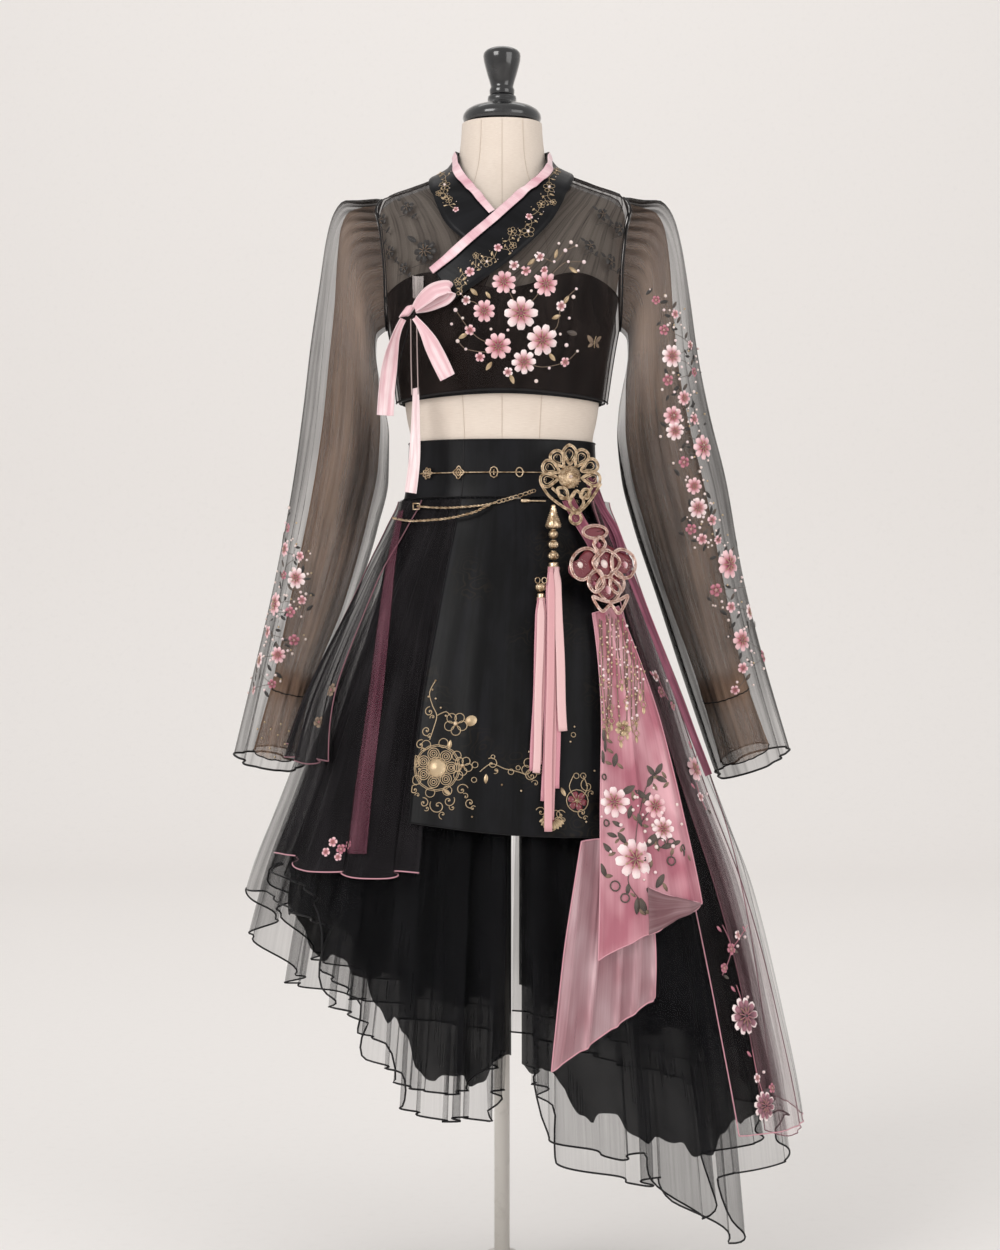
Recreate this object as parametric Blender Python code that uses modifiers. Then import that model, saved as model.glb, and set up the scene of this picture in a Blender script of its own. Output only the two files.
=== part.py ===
"""Black organza hanbok worn by a limbless dress form on a stand.

Metres, +Z up. The front faces -Y and +X is the viewer's right. The origin is the centre of the
stand's underside. Angles are in degrees round the body: 0 is the front, 90 the viewer's right side,
180 the back. A lift is the distance from the dress form, or from the skirt's mean surface, to the
inner face of a piece of cloth.
"""
import bisect
import math
from typing import NamedTuple

import bmesh
import bpy
from mathutils import Vector

COLLECTION = "korean_hanbok"

# Cloth walls
ORGANZA = 0.0012
SATIN = 0.0014
RIBBON = 0.0010
SEAM_GAP = 0.0003

# Heights that the pieces share
FORM_BOTTOM = 0.790
NECK_TOP = 1.503
WAIST_SEAM = 1.0150
WAISTBAND_TOP = 1.088
BODICE_HEM = 1.152
BODICE_HEM_DROP = 0.010
BODICE_TOP = 1.431

# Lifts from the dress form, innermost first
LIFT_BUSTIER = 0.0030
LIFT_UNDER = 0.0064
LIFT_OVER = 0.0102
LIFT_GIT_LEFT = 0.0112
LIFT_TRIM_LEFT = 0.0144
LIFT_GIT_RIGHT = 0.0146
LIFT_TRIM_RIGHT = 0.0180
LIFT_WAISTBAND = 0.0022
GATHER_DEPTH = 0.0007
GATHERS_PER_PANEL = 7

# Armhole, an ellipse on the side of the form
ARMHOLE_HEIGHT = 1.3185
ARMHOLE_HALF_HEIGHT = 0.0815
ARMHOLE_HALF_ANGLE = 16.5
ARMHOLE_EASE = 0.6

# Sleeves
SLEEVE_COLUMNS = 24
SLEEVE_FOLDS = 6
SLEEVE_FOLD_DEPTH = 0.055
SLEEVE_ROWS_TO_FULL_FOLDS = 5.0
LIFT_SLEEVE_LEFT = 0.0094
LIFT_SLEEVE_RIGHT = 0.0130
UNDER_SLEEVE_COLUMNS = 10
UNDER_SLEEVE_TOP_SCALE = 0.80
UNDER_SLEEVE_SCALE = 0.60
UNDER_SLEEVE_ROWS_TO_NARROW = 6.0
UNDER_SLEEVE_SKIPPED = (2, 4)

# Skirt pleats
OUTER_FLUTES = 22
LINING_FLUTES = 14
COLUMNS_PER_FLUTE = 4
LINING_COLUMNS_PER_FLUTE = 4
LINING_ABOVE_HEM = 0.065
LINING_HEM_OFFSETS = (-14.0, -7.0, 0.0, 7.0, 14.0)
FLAT_PLEAT = 0.0005
PLEAT_RUN = 0.50
SLIT_LEFT_X = 0.011
SLIT_RIGHT_X = 0.024

# Stand and hard parts
POLE_RADIUS = 0.010
BASE_RADIUS = 0.135
BASE_HEIGHT = 0.016
BASE_RIM = 0.005
BASE_STEPS = 36
SOCKET_RADIUS = 0.020
SOCKET_TOP = 0.040
TURNED_STEPS = 16


class Ring(NamedTuple):
    """A horizontal section: a superellipse of these half sizes, centred at (0, centre_y)."""
    z: float
    half_width: float
    half_depth: float
    centre_y: float


class SleeveRow(NamedTuple):
    """A section of a sleeve between its outer and inner edge, seen from the front."""
    outer_x: float
    outer_z: float
    inner_x: float
    inner_z: float
    half_depth: float
    middle_y: float
    front_drop: float


class BandRow(NamedTuple):
    """A cross-section of a collar band, from its neck edge to its outer edge."""
    inner_angle: float
    inner_z: float
    outer_angle: float
    outer_z: float


class PanelRow(NamedTuple):
    """A row of a hung panel, from its left edge to its right edge."""
    left_angle: float
    left_z: float
    right_angle: float
    right_z: float


class EdgePoint(NamedTuple):
    """The angle of a panel's edge at a height."""
    z: float
    angle: float


class HemPoint(NamedTuple):
    """The height of the skirt's hem at an angle round the body."""
    angle: float
    z: float


class TurnedPoint(NamedTuple):
    """A point of a turned profile."""
    radius: float
    z: float


# Dress form, from below the hip to the top of the neck
FORM = [
    Ring(0.790, 0.1400, 0.1080, 0.008), Ring(0.860, 0.1500, 0.1150, 0.008),
    Ring(0.930, 0.1455, 0.1110, 0.006), Ring(0.985, 0.1315, 0.0995, 0.004),
    Ring(1.035, 0.1210, 0.0910, 0.002), Ring(1.090, 0.1175, 0.0880, 0.000),
    Ring(1.120, 0.1230, 0.0900, -0.001), Ring(1.150, 0.1272, 0.0935, -0.002),
    Ring(1.210, 0.1355, 0.1040, -0.006), Ring(1.265, 0.1455, 0.1120, -0.008),
    Ring(1.310, 0.1520, 0.1080, -0.004), Ring(1.354, 0.1585, 0.0960, 0.002),
    Ring(1.385, 0.1600, 0.0830, 0.006), Ring(1.400, 0.1500, 0.0740, 0.008),
    Ring(1.412, 0.1180, 0.0680, 0.008), Ring(1.426, 0.0820, 0.0630, 0.006),
    Ring(1.441, 0.0630, 0.0590, 0.004), Ring(1.460, 0.0560, 0.0550, 0.002),
    Ring(1.503, 0.0520, 0.0520, 0.000)]

# Mean surface of the outer skirt, from the floor to the waist seam
SKIRT = [
    Ring(0.020, 0.3980, 0.2600, 0.004), Ring(0.200, 0.3820, 0.2500, 0.004),
    Ring(0.366, 0.3500, 0.2350, 0.004), Ring(0.512, 0.3140, 0.2150, 0.004),
    Ring(0.644, 0.2660, 0.1900, 0.006), Ring(0.756, 0.2280, 0.1650, 0.006),
    Ring(0.886, 0.1780, 0.1380, 0.006), Ring(0.938, 0.1600, 0.1240, 0.006),
    Ring(0.980, 0.1440, 0.1105, 0.005), Ring(1.015, 0.1325, 0.1012, 0.004)]

# Mean surface of the dense layer under it
LINING = [
    Ring(0.200, 0.3540, 0.2260, 0.004), Ring(0.366, 0.3220, 0.2110, 0.004),
    Ring(0.512, 0.2860, 0.1910, 0.004), Ring(0.644, 0.2390, 0.1670, 0.006),
    Ring(0.756, 0.2020, 0.1430, 0.006), Ring(0.886, 0.1610, 0.1240, 0.006),
    Ring(0.938, 0.1500, 0.1155, 0.006), Ring(0.980, 0.1375, 0.1045, 0.005),
    Ring(1.015, 0.1290, 0.0976, 0.003)]

# Sections of the sleeves, from the shoulder to the cuff
SLEEVE_LEFT = [
    SleeveRow(0.184, 1.404, 0.1630, 1.224, 0.055, 0.004, 0.0),
    SleeveRow(0.203, 1.405, 0.1640, 1.204, 0.060, 0.005, 0.0),
    SleeveRow(0.219, 1.388, 0.1620, 1.186, 0.062, 0.006, 0.0),
    SleeveRow(0.2285, 1.356, 0.1580, 1.166, 0.063, 0.008, 0.0),
    SleeveRow(0.238, 1.296, 0.1530, 1.138, 0.063, 0.012, 0.0),
    SleeveRow(0.250, 1.218, 0.1470, 1.100, 0.062, 0.018, 0.0),
    SleeveRow(0.260, 1.141, 0.1480, 1.045, 0.061, 0.028, 0.0),
    SleeveRow(0.275, 1.042, 0.1620, 0.985, 0.060, 0.042, 0.0),
    SleeveRow(0.3015, 0.910, 0.1970, 0.875, 0.056, 0.064, 0.002),
    SleeveRow(0.331, 0.784, 0.2400, 0.764, 0.053, 0.080, 0.004),
    SleeveRow(0.356, 0.680, 0.2660, 0.664, 0.052, 0.086, 0.008)]

SLEEVE_RIGHT = [
    SleeveRow(0.184, 1.404, 0.1630, 1.224, 0.055, 0.004, 0.0),
    SleeveRow(0.203, 1.405, 0.1640, 1.204, 0.060, 0.005, 0.0),
    SleeveRow(0.221, 1.388, 0.1620, 1.186, 0.062, 0.006, 0.0),
    SleeveRow(0.233, 1.350, 0.1580, 1.166, 0.063, 0.008, 0.0),
    SleeveRow(0.2435, 1.290, 0.1530, 1.138, 0.063, 0.012, 0.0),
    SleeveRow(0.256, 1.205, 0.1490, 1.095, 0.062, 0.018, 0.0),
    SleeveRow(0.272, 1.130, 0.1540, 1.045, 0.061, 0.028, 0.0),
    SleeveRow(0.295, 1.043, 0.1700, 0.985, 0.060, 0.042, 0.0),
    SleeveRow(0.3185, 0.922, 0.2060, 0.882, 0.056, 0.064, 0.002),
    SleeveRow(0.349, 0.804, 0.2440, 0.770, 0.053, 0.080, 0.004),
    SleeveRow(0.384, 0.688, 0.2840, 0.652, 0.052, 0.086, 0.008)]

# Wide collar bands, the left one from the nape and the right one from its end at the side
GIT_LEFT = [
    BandRow(-179.6, 1.470, -179.6, 1.430), BandRow(-140.0, 1.470, -140.0, 1.430),
    BandRow(-105.0, 1.469, -105.0, 1.432), BandRow(-76.0, 1.464, -84.0, 1.429),
    BandRow(-48.0, 1.437, -62.0, 1.413), BandRow(-28.0, 1.405, -49.0, 1.389),
    BandRow(-14.0, 1.382, -41.0, 1.364), BandRow(-5.5, 1.366, -32.0, 1.344),
    BandRow(2.0, 1.352, -20.0, 1.328)]

GIT_RIGHT = [
    BandRow(-40.0, 1.296, -28.6, 1.2606), BandRow(-33.5, 1.308, -10.0, 1.284),
    BandRow(-20.0, 1.336, 9.7, 1.3137), BandRow(-4.0, 1.365, 24.0, 1.338),
    BandRow(10.0, 1.385, 35.5, 1.361), BandRow(28.0, 1.406, 45.5, 1.388),
    BandRow(48.0, 1.436, 59.0, 1.4135), BandRow(76.0, 1.464, 84.0, 1.429),
    BandRow(105.0, 1.469, 105.0, 1.432), BandRow(140.0, 1.470, 140.0, 1.430),
    BandRow(179.6, 1.470, 179.6, 1.430)]

# Narrow pink trims along the neck edge of the bands
TRIM_LEFT = [
    BandRow(-179.6, 1.479, -179.6, 1.464), BandRow(-140.0, 1.479, -140.0, 1.464),
    BandRow(-90.0, 1.477, -92.0, 1.462), BandRow(-66.0, 1.464, -74.0, 1.452),
    BandRow(-46.4, 1.4367, -55.0, 1.428), BandRow(-26.0, 1.4048, -33.0, 1.399),
    BandRow(-12.5, 1.3821, -18.5, 1.377), BandRow(-5.5, 1.3690, -11.0, 1.364)]

TRIM_RIGHT = [
    BandRow(-41.9, 1.2977, -38.8, 1.2883), BandRow(-35.2, 1.3097, -30.9, 1.3003),
    BandRow(-21.7, 1.3381, -16.1, 1.3285), BandRow(-5.4, 1.3666, 0.7, 1.3568),
    BandRow(8.6, 1.3863, 16.0, 1.3790), BandRow(26.4, 1.4076, 34.0, 1.4020),
    BandRow(47.9, 1.4370, 57.0, 1.4280), BandRow(66.0, 1.465, 74.0, 1.453),
    BandRow(90.0, 1.477, 92.0, 1.462), BandRow(140.0, 1.479, 140.0, 1.464),
    BandRow(179.6, 1.479, 179.6, 1.464)]

# Front edges of the two crossed fronts, from the hem up
UNDER_FRONT_EDGE = [
    EdgePoint(1.150, -24.0), EdgePoint(1.210, -22.0), EdgePoint(1.260, -14.0), EdgePoint(1.290, -8.0),
    EdgePoint(1.320, -5.0), EdgePoint(1.345, -14.0), EdgePoint(1.365, -24.0), EdgePoint(1.389, -38.0),
    EdgePoint(1.410, -55.0), EdgePoint(1.431, -74.0)]

OVER_FRONT_EDGE = [
    EdgePoint(1.150, -87.5), EdgePoint(1.1805, -72.9), EdgePoint(1.2098, -63.1),
    EdgePoint(1.2394, -54.7), EdgePoint(1.2627, -46.4), EdgePoint(1.283, -36.0),
    EdgePoint(1.300, -20.0), EdgePoint(1.325, -2.0), EdgePoint(1.345, 11.0), EdgePoint(1.362, 22.0),
    EdgePoint(1.388, 40.0), EdgePoint(1.410, 55.0), EdgePoint(1.431, 74.0)]

# Stepped hem of the outer skirt, all round
OUTER_HEM = [
    HemPoint(-180.0, 0.285), HemPoint(-160.0, 0.300), HemPoint(-149.0, 0.305), HemPoint(-145.0, 0.327),
    HemPoint(-130.0, 0.341), HemPoint(-127.0, 0.352), HemPoint(-113.0, 0.383), HemPoint(-108.0, 0.430),
    HemPoint(-98.0, 0.470), HemPoint(-90.0, 0.511), HemPoint(-70.0, 0.505), HemPoint(-53.0, 0.482),
    HemPoint(-49.0, 0.402), HemPoint(-39.0, 0.368), HemPoint(-36.0, 0.326), HemPoint(-30.0, 0.316),
    HemPoint(-27.0, 0.272), HemPoint(-16.0, 0.2585), HemPoint(-6.0, 0.259), HemPoint(-2.5, 0.288),
    HemPoint(2.0, 0.291), HemPoint(6.2, 0.306), HemPoint(12.0, 0.288), HemPoint(15.5, 0.275),
    HemPoint(18.5, 0.204), HemPoint(29.5, 0.187), HemPoint(34.4, 0.177), HemPoint(44.0, 0.181),
    HemPoint(47.0, 0.150), HemPoint(53.8, 0.099), HemPoint(57.0, 0.116), HemPoint(60.0, 0.1725),
    HemPoint(73.0, 0.177), HemPoint(90.0, 0.209), HemPoint(110.0, 0.215), HemPoint(130.0, 0.230),
    HemPoint(150.0, 0.250), HemPoint(180.0, 0.285)]

# Panels hung from the waist, each from its hem up
APRON = [
    PanelRow(-28.2, 0.613, 29.8, 0.595), PanelRow(-28.7, 0.761, 35.1, 0.760),
    PanelRow(-27.9, 0.867, 41.0, 0.867), PanelRow(-27.6, 0.965, 49.0, 0.965),
    PanelRow(-27.0, 1.012, 50.0, 1.012)]

OVERLAY_LEFT_LOWER = [
    PanelRow(-70.0, 0.567, -24.5, 0.553), PanelRow(-66.0, 0.700, -25.0, 0.700),
    PanelRow(-62.0, 0.890, -26.0, 0.890), PanelRow(-59.0, 0.965, -26.0, 0.965),
    PanelRow(-56.0, 1.012, -26.0, 1.012)]

OVERLAY_LEFT_UPPER = [
    PanelRow(-88.0, 0.700, -56.0, 0.684), PanelRow(-88.0, 0.800, -62.0, 0.790),
    PanelRow(-85.0, 0.900, -63.0, 0.900), PanelRow(-80.0, 0.965, -58.0, 0.965),
    PanelRow(-74.0, 1.012, -52.4, 1.012)]

OVERLAY_RIGHT = [
    PanelRow(58.0, 0.226, 106.0, 0.222), PanelRow(55.6, 0.514, 100.0, 0.514),
    PanelRow(56.0, 0.700, 86.0, 0.700), PanelRow(57.0, 0.840, 84.0, 0.840),
    PanelRow(59.5, 0.950, 84.0, 0.950), PanelRow(60.7, 1.012, 84.0, 1.012)]

OVERLAY_RIGHT_PINK = [
    PanelRow(66.0, 0.226, 84.0, 0.212), PanelRow(66.0, 0.378, 82.0, 0.378),
    PanelRow(64.0, 0.560, 78.0, 0.560), PanelRow(62.0, 0.760, 76.0, 0.760),
    PanelRow(61.0, 0.890, 76.0, 0.890), PanelRow(61.0, 1.012, 76.0, 1.012)]

SCARF_UPPER = [
    PanelRow(24.9, 0.453, 52.1, 0.514), PanelRow(28.2, 0.640, 53.1, 0.637),
    PanelRow(33.0, 0.780, 52.0, 0.780), PanelRow(37.1, 0.868, 50.7, 0.877)]

SCARF_LOWER = [
    PanelRow(12.0, 0.322, 37.7, 0.405), PanelRow(16.2, 0.462, 38.8, 0.490),
    PanelRow(22.4, 0.592, 40.0, 0.600)]


def smooth_value(keys, values, key):
    """Value at key on a monotone cubic curve through the points."""
    key = min(max(key, keys[0]), keys[-1])
    i = min(max(bisect.bisect_right(keys, key) - 1, 0), len(keys) - 2)

    def step(k):
        return (values[k + 1] - values[k]) / (keys[k + 1] - keys[k])

    def slope(k):
        if k in (0, len(keys) - 1) or step(k - 1) * step(k) <= 0.0:
            return 0.0
        return 2.0 * step(k - 1) * step(k) / (step(k - 1) + step(k))

    span = keys[i + 1] - keys[i]
    t = (key - keys[i]) / span
    return (values[i] * (1 + 2 * t) * (1 - t) ** 2 + slope(i) * span * t * (1 - t) ** 2
            + values[i + 1] * t * t * (3 - 2 * t) - slope(i + 1) * span * t * t * (1 - t))


def column(rows, name):
    """One named column of a table."""
    return [getattr(row, name) for row in rows]


def lookup(rows, key_name, value_name, key):
    """Smooth value of a column at a key."""
    return smooth_value(column(rows, key_name), column(rows, value_name), key)


def smooth_step(t):
    """Ease from 0 to 1."""
    t = min(max(t, 0.0), 1.0)
    return t * t * (3.0 - 2.0 * t)


def spread(start, end, count):
    """Evenly spaced values, both ends included."""
    return [start + (end - start) * i / (count - 1) for i in range(count)]


def section_point(profile, angle, z):
    """Point of a profile's section at a height, in a direction round the body."""
    power = 2.2
    half_width = lookup(profile, "z", "half_width", z)
    half_depth = lookup(profile, "z", "half_depth", z)
    centre_y = lookup(profile, "z", "centre_y", z)
    side = math.sin(math.radians(angle))
    front = math.cos(math.radians(angle))
    radius = (abs(side / half_width) ** power + abs(front / half_depth) ** power) ** (-1.0 / power)
    return Vector((radius * side, centre_y - radius * front, z))


def surface_point(profile, angle, z, lift):
    """Point at a distance from a profile's surface, along its outward normal."""
    turn = 0.5
    rise = 0.0015
    point = section_point(profile, angle, z)
    across = section_point(profile, angle + turn, z) - section_point(profile, angle - turn, z)
    upward = section_point(profile, angle, z + rise) - section_point(profile, angle, z - rise)
    return point + across.cross(upward).normalized() * lift


def level_point(profile, angle, z, lift):
    """Point at a horizontal distance from a profile's surface."""
    point = section_point(profile, angle, z)
    outward = Vector((point.x, point.y - lookup(profile, "z", "centre_y", z), 0.0))
    return point + outward.normalized() * lift


def front_point(profile, x, z, lift):
    """Point in front of a profile, at a side position and a height."""
    near = 0.0
    far = 90.0 if x > 0.0 else -90.0
    for _ in range(24):
        middle = (near + far) * 0.5
        if abs(level_point(profile, middle, z, lift).x) < abs(x):
            near = middle
        else:
            far = middle
    return level_point(profile, near, z, lift)


def clear_scene():
    """Start from an empty file."""
    for obj in list(bpy.data.objects):
        bpy.data.objects.remove(obj, do_unlink=True)


def make_material(name, colour, roughness, metallic=0.0, alpha=1.0):
    """A Principled material."""
    material = bpy.data.materials.new(name)
    material.use_nodes = True
    shader = material.node_tree.nodes["Principled BSDF"]
    shader.inputs["Base Color"].default_value = (*colour, 1.0)
    shader.inputs["Roughness"].default_value = roughness
    shader.inputs["Metallic"].default_value = metallic
    shader.inputs["Alpha"].default_value = alpha
    material.diffuse_color = (*colour, 1.0)
    return material


def add_object(name, data, material):
    """An object with its own material, in the part's collection."""
    obj = bpy.data.objects.new(name, data)
    data.materials.append(material)
    bpy.data.collections[COLLECTION].objects.link(obj)
    return obj


def grid_mesh(name, rows, closed=False):
    """A mesh through rows of points; closed joins each row's ends."""
    bm = bmesh.new()
    grid = [[bm.verts.new(point) for point in row] for row in rows]
    count = len(rows[0])
    for lower, upper in zip(grid, grid[1:]):
        for i in range(count if closed else count - 1):
            j = (i + 1) % count
            bm.faces.new((lower[i], lower[j], upper[j], upper[i]))
    bmesh.ops.triangulate(bm, faces=bm.faces, quad_method="SHORT_EDGE")
    mesh = bpy.data.meshes.new(name)
    bm.to_mesh(mesh)
    bm.free()
    return mesh


def shade_round(obj):
    """Smooth shading with sharp edges kept."""
    obj.data.shade_smooth()
    obj.data.set_sharp_from_angle(angle=math.radians(50.0))


def add_cloth(name, rows, material, thickness, closed=False, outward=1.0):
    """A wall of cloth whose inner face passes through rows of points."""
    obj = add_object(name, grid_mesh(name, rows, closed), material)
    shade_round(obj)
    solidify = obj.modifiers.new("Wall", "SOLIDIFY")
    solidify.thickness = thickness
    solidify.offset = outward
    return obj


def add_turned(name, points, material, steps=TURNED_STEPS, at=(0.0, 0.0)):
    """A turned solid from a profile that runs from top to bottom."""
    bm = bmesh.new()
    verts = [bm.verts.new((point.radius, 0.0, point.z)) for point in points]
    for upper, lower in zip(verts, verts[1:]):
        bm.edges.new((upper, lower))
    mesh = bpy.data.meshes.new(name)
    bm.to_mesh(mesh)
    bm.free()
    obj = add_object(name, mesh, material)
    obj.location = (at[0], at[1], 0.0)
    screw = obj.modifiers.new("Turn", "SCREW")
    screw.axis = "Z"
    screw.steps = steps
    screw.render_steps = steps
    screw.use_merge_vertices = True
    screw.merge_threshold = 0.0001
    return obj


def add_tube(name, points, radius, material, bevel_resolution=1):
    """A round tube along a line of points."""
    curve = bpy.data.curves.new(name, "CURVE")
    curve.dimensions = "3D"
    curve.bevel_depth = radius
    curve.bevel_resolution = bevel_resolution
    curve.use_fill_caps = True
    spline = curve.splines.new("POLY")
    spline.points.add(len(points) - 1)
    for control, point in zip(spline.points, points):
        control.co = (*point, 1.0)
    return add_object(name, curve, material)


def add_ball(name, centre, radius, material, stretch=1.0):
    """A bead, stretched in height."""
    bm = bmesh.new()
    bmesh.ops.create_uvsphere(bm, u_segments=8, v_segments=5, radius=radius)
    for vert in bm.verts:
        vert.co.z *= stretch
    mesh = bpy.data.meshes.new(name)
    bm.to_mesh(mesh)
    bm.free()
    obj = add_object(name, mesh, material)
    obj.location = centre
    shade_round(obj)
    return obj


def smooth_path(points, count):
    """Points on a smooth curve through a few given ones."""
    knots = [Vector(point) for point in points]
    keys = [0.0]
    for start, end in zip(knots, knots[1:]):
        keys.append(keys[-1] + (end - start).length)
    path = []
    for key in spread(0.0, keys[-1], count):
        path.append(Vector([
            smooth_value(keys, [knot[axis] for knot in knots], key) for axis in range(3)]))
    return path


def add_strip(name, path, across, width, material, thickness=RIBBON):
    """A flat ribbon along a path; across is the direction of its width."""
    half = Vector(across).normalized() * width * 0.5
    rows = [[point - half, point + half] for point in path]
    return add_cloth(name, rows, material, thickness, outward=0.0)


# --- dress form and stand -------------------------------------------------------------------------

FORM_COLUMNS = 20
FORM_HEIGHTS = [
    FORM_BOTTOM, 0.86, 0.93, 0.99, 1.05, 1.09, 1.14, 1.19, 1.23, 1.265, 1.31, 1.35, 1.38, 1.397,
    1.412, 1.426, 1.443, 1.465, NECK_TOP]


def build_form(canvas):
    """The canvas torso, closed below the hip and at the neck."""
    rows = []
    for z in FORM_HEIGHTS:
        angles = [360.0 * i / FORM_COLUMNS for i in range(FORM_COLUMNS)]
        rows.append([section_point(FORM, angle, z) for angle in angles])
    mesh = grid_mesh("form_bust", rows, closed=True)
    bm = bmesh.new()
    bm.from_mesh(mesh)
    bmesh.ops.holes_fill(bm, edges=bm.edges, sides=FORM_COLUMNS)
    bmesh.ops.recalc_face_normals(bm, faces=bm.faces)
    bm.to_mesh(mesh)
    bm.free()
    shade_round(add_object("form_bust", mesh, canvas))


CAP_PROFILE = [
    TurnedPoint(0.0, 1.541), TurnedPoint(0.0165, 1.541), TurnedPoint(0.0187, 1.5385),
    TurnedPoint(0.0187, 1.532), TurnedPoint(0.0250, 1.530), TurnedPoint(0.0430, 1.524),
    TurnedPoint(0.0510, 1.515), TurnedPoint(0.0505, 1.507), TurnedPoint(0.0490, NECK_TOP + SEAM_GAP),
    TurnedPoint(0.0, NECK_TOP + SEAM_GAP)]

FINIAL_PROFILE = [
    TurnedPoint(0.0, 1.6035), TurnedPoint(0.0140, 1.6030), TurnedPoint(0.0225, 1.599),
    TurnedPoint(0.0244, 1.593), TurnedPoint(0.0230, 1.585), TurnedPoint(0.0160, 1.557),
    TurnedPoint(0.0143, 1.5476), TurnedPoint(0.0150, 1.5413), TurnedPoint(0.0, 1.5413)]


def build_stand(gloss_black, pale_metal):
    """Turned neck cap and finial above, a pole and a round foot below."""
    add_turned("neck_cap", CAP_PROFILE, gloss_black)
    add_turned("finial", FINIAL_PROFILE, gloss_black)
    base_profile = [
        TurnedPoint(0.0, SOCKET_TOP), TurnedPoint(SOCKET_RADIUS, SOCKET_TOP),
        TurnedPoint(SOCKET_RADIUS, BASE_HEIGHT), TurnedPoint(BASE_RADIUS, BASE_RIM),
        TurnedPoint(BASE_RADIUS, 0.0), TurnedPoint(0.0, 0.0)]
    add_turned("stand_base", base_profile, pale_metal, steps=BASE_STEPS)
    pole_top = FORM_BOTTOM - SEAM_GAP
    pole_foot = SOCKET_TOP + SEAM_GAP
    pole_profile = [
        TurnedPoint(0.0, pole_top), TurnedPoint(POLE_RADIUS, pole_top),
        TurnedPoint(POLE_RADIUS, pole_foot), TurnedPoint(0.0, pole_foot)]
    add_turned("stand_pole", pole_profile, pale_metal)


# --- jeogori --------------------------------------------------------------------------------------

def armhole_opening(z):
    """Half angle that the armhole takes from a panel at a height."""
    offset = (z - ARMHOLE_HEIGHT) / (ARMHOLE_HALF_HEIGHT + 0.0020)
    seam = 0.12
    if abs(offset) >= 1.0:
        return seam
    return max(seam, (ARMHOLE_HALF_ANGLE + ARMHOLE_EASE) * math.sqrt(1.0 - offset * offset))


def gathered_lift(lift, share):
    """Lift of a panel with soft gathers across its width."""
    return lift + GATHER_DEPTH * (1.0 + math.cos(share * GATHERS_PER_PANEL * 2.0 * math.pi)) * 0.5


BUSTIER_COLUMNS = 20
BUSTIER_BOTTOM = 1.158
BUSTIER_TOP = 1.272
BUSTIER_PEAK = 0.022
BUSTIER_PEAK_ANGLE = 48.0
BUSTIER_PEAK_SPREAD = 26.0
BODICE_HEIGHTS = [
    BODICE_HEM, 1.178, 1.206, 1.2365, 1.262, 1.290, ARMHOLE_HEIGHT, 1.350, 1.380, 1.400, 1.416,
    BODICE_TOP]
BACK_HEIGHTS = [
    BODICE_HEM, 1.195, 1.2365, 1.272, ARMHOLE_HEIGHT, 1.350, 1.380, 1.400, 1.416, BODICE_TOP]


def hem_height(angle):
    """The bodice's hem, a little lower at the sides."""
    return BODICE_HEM - BODICE_HEM_DROP * abs(math.sin(math.radians(angle))) ** 2


def bodice_rows(heights, left_edge, right_edge, lift, columns):
    """Rows of a bodice panel between two edges, given as functions of height."""
    rows = []
    for z in heights:
        left = left_edge(z)
        right = right_edge(z)
        row = []
        for share in spread(0.0, 1.0, columns):
            angle = left + (right - left) * share
            height = hem_height(angle) if z == BODICE_HEM else z
            row.append(surface_point(FORM, angle, height, gathered_lift(lift, share)))
        rows.append(row)
    return rows


def bustier_top(angle):
    """The bustier's upper edge, which rises to a peak over each side of the chest."""
    from_peak = (abs(angle) - BUSTIER_PEAK_ANGLE) / BUSTIER_PEAK_SPREAD
    return BUSTIER_TOP + BUSTIER_PEAK * math.exp(-from_peak ** 2)


def build_bodice(organza, satin_black):
    """Sheer fronts and back over an opaque bustier."""
    def side_left(z):
        return -90.0 + armhole_opening(z)

    def side_right(z):
        return 90.0 - armhole_opening(z)

    def under_edge(z):
        return lookup(UNDER_FRONT_EDGE, "z", "angle", z)

    def over_edge(z):
        return lookup(OVER_FRONT_EDGE, "z", "angle", z)

    left_rows = bodice_rows(BODICE_HEIGHTS, side_left, under_edge, LIFT_UNDER, 8)
    add_cloth("bodice_front_left", left_rows, organza, ORGANZA)
    right_rows = bodice_rows(BODICE_HEIGHTS, over_edge, side_right, LIFT_OVER, 15)
    add_cloth("bodice_front_right", right_rows, organza, ORGANZA)

    def back_right(z):
        return 90.0 + armhole_opening(z)

    def back_left(z):
        return 270.0 - armhole_opening(z)

    back_rows = bodice_rows(BACK_HEIGHTS, back_right, back_left, LIFT_UNDER, 14)
    add_cloth("bodice_back", back_rows, organza, ORGANZA)
    rows = []
    for level in spread(0.0, 1.0, 4):
        row = []
        for i in range(BUSTIER_COLUMNS):
            angle = 360.0 * i / BUSTIER_COLUMNS - 180.0
            z = BUSTIER_BOTTOM + (bustier_top(angle) - BUSTIER_BOTTOM) * level
            row.append(surface_point(FORM, angle, z, LIFT_BUSTIER))
        rows.append(row)
    add_cloth("bustier", rows, satin_black, SATIN, closed=True)


def band_rows(table, lift, count, columns):
    """Rows of a collar band, smoothed along its length."""
    keys = list(range(len(table)))
    rows = []
    for key in spread(0.0, len(table) - 1.0, count):
        inner_angle, inner_z, outer_angle, outer_z = [
            smooth_value(keys, column(table, name), key) for name in BandRow._fields]
        row = []
        for share in spread(0.0, 1.0, columns):
            angle = inner_angle + (outer_angle - inner_angle) * share
            z = inner_z + (outer_z - inner_z) * share
            row.append(surface_point(FORM, angle, z, lift))
        rows.append(row)
    return rows


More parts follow.
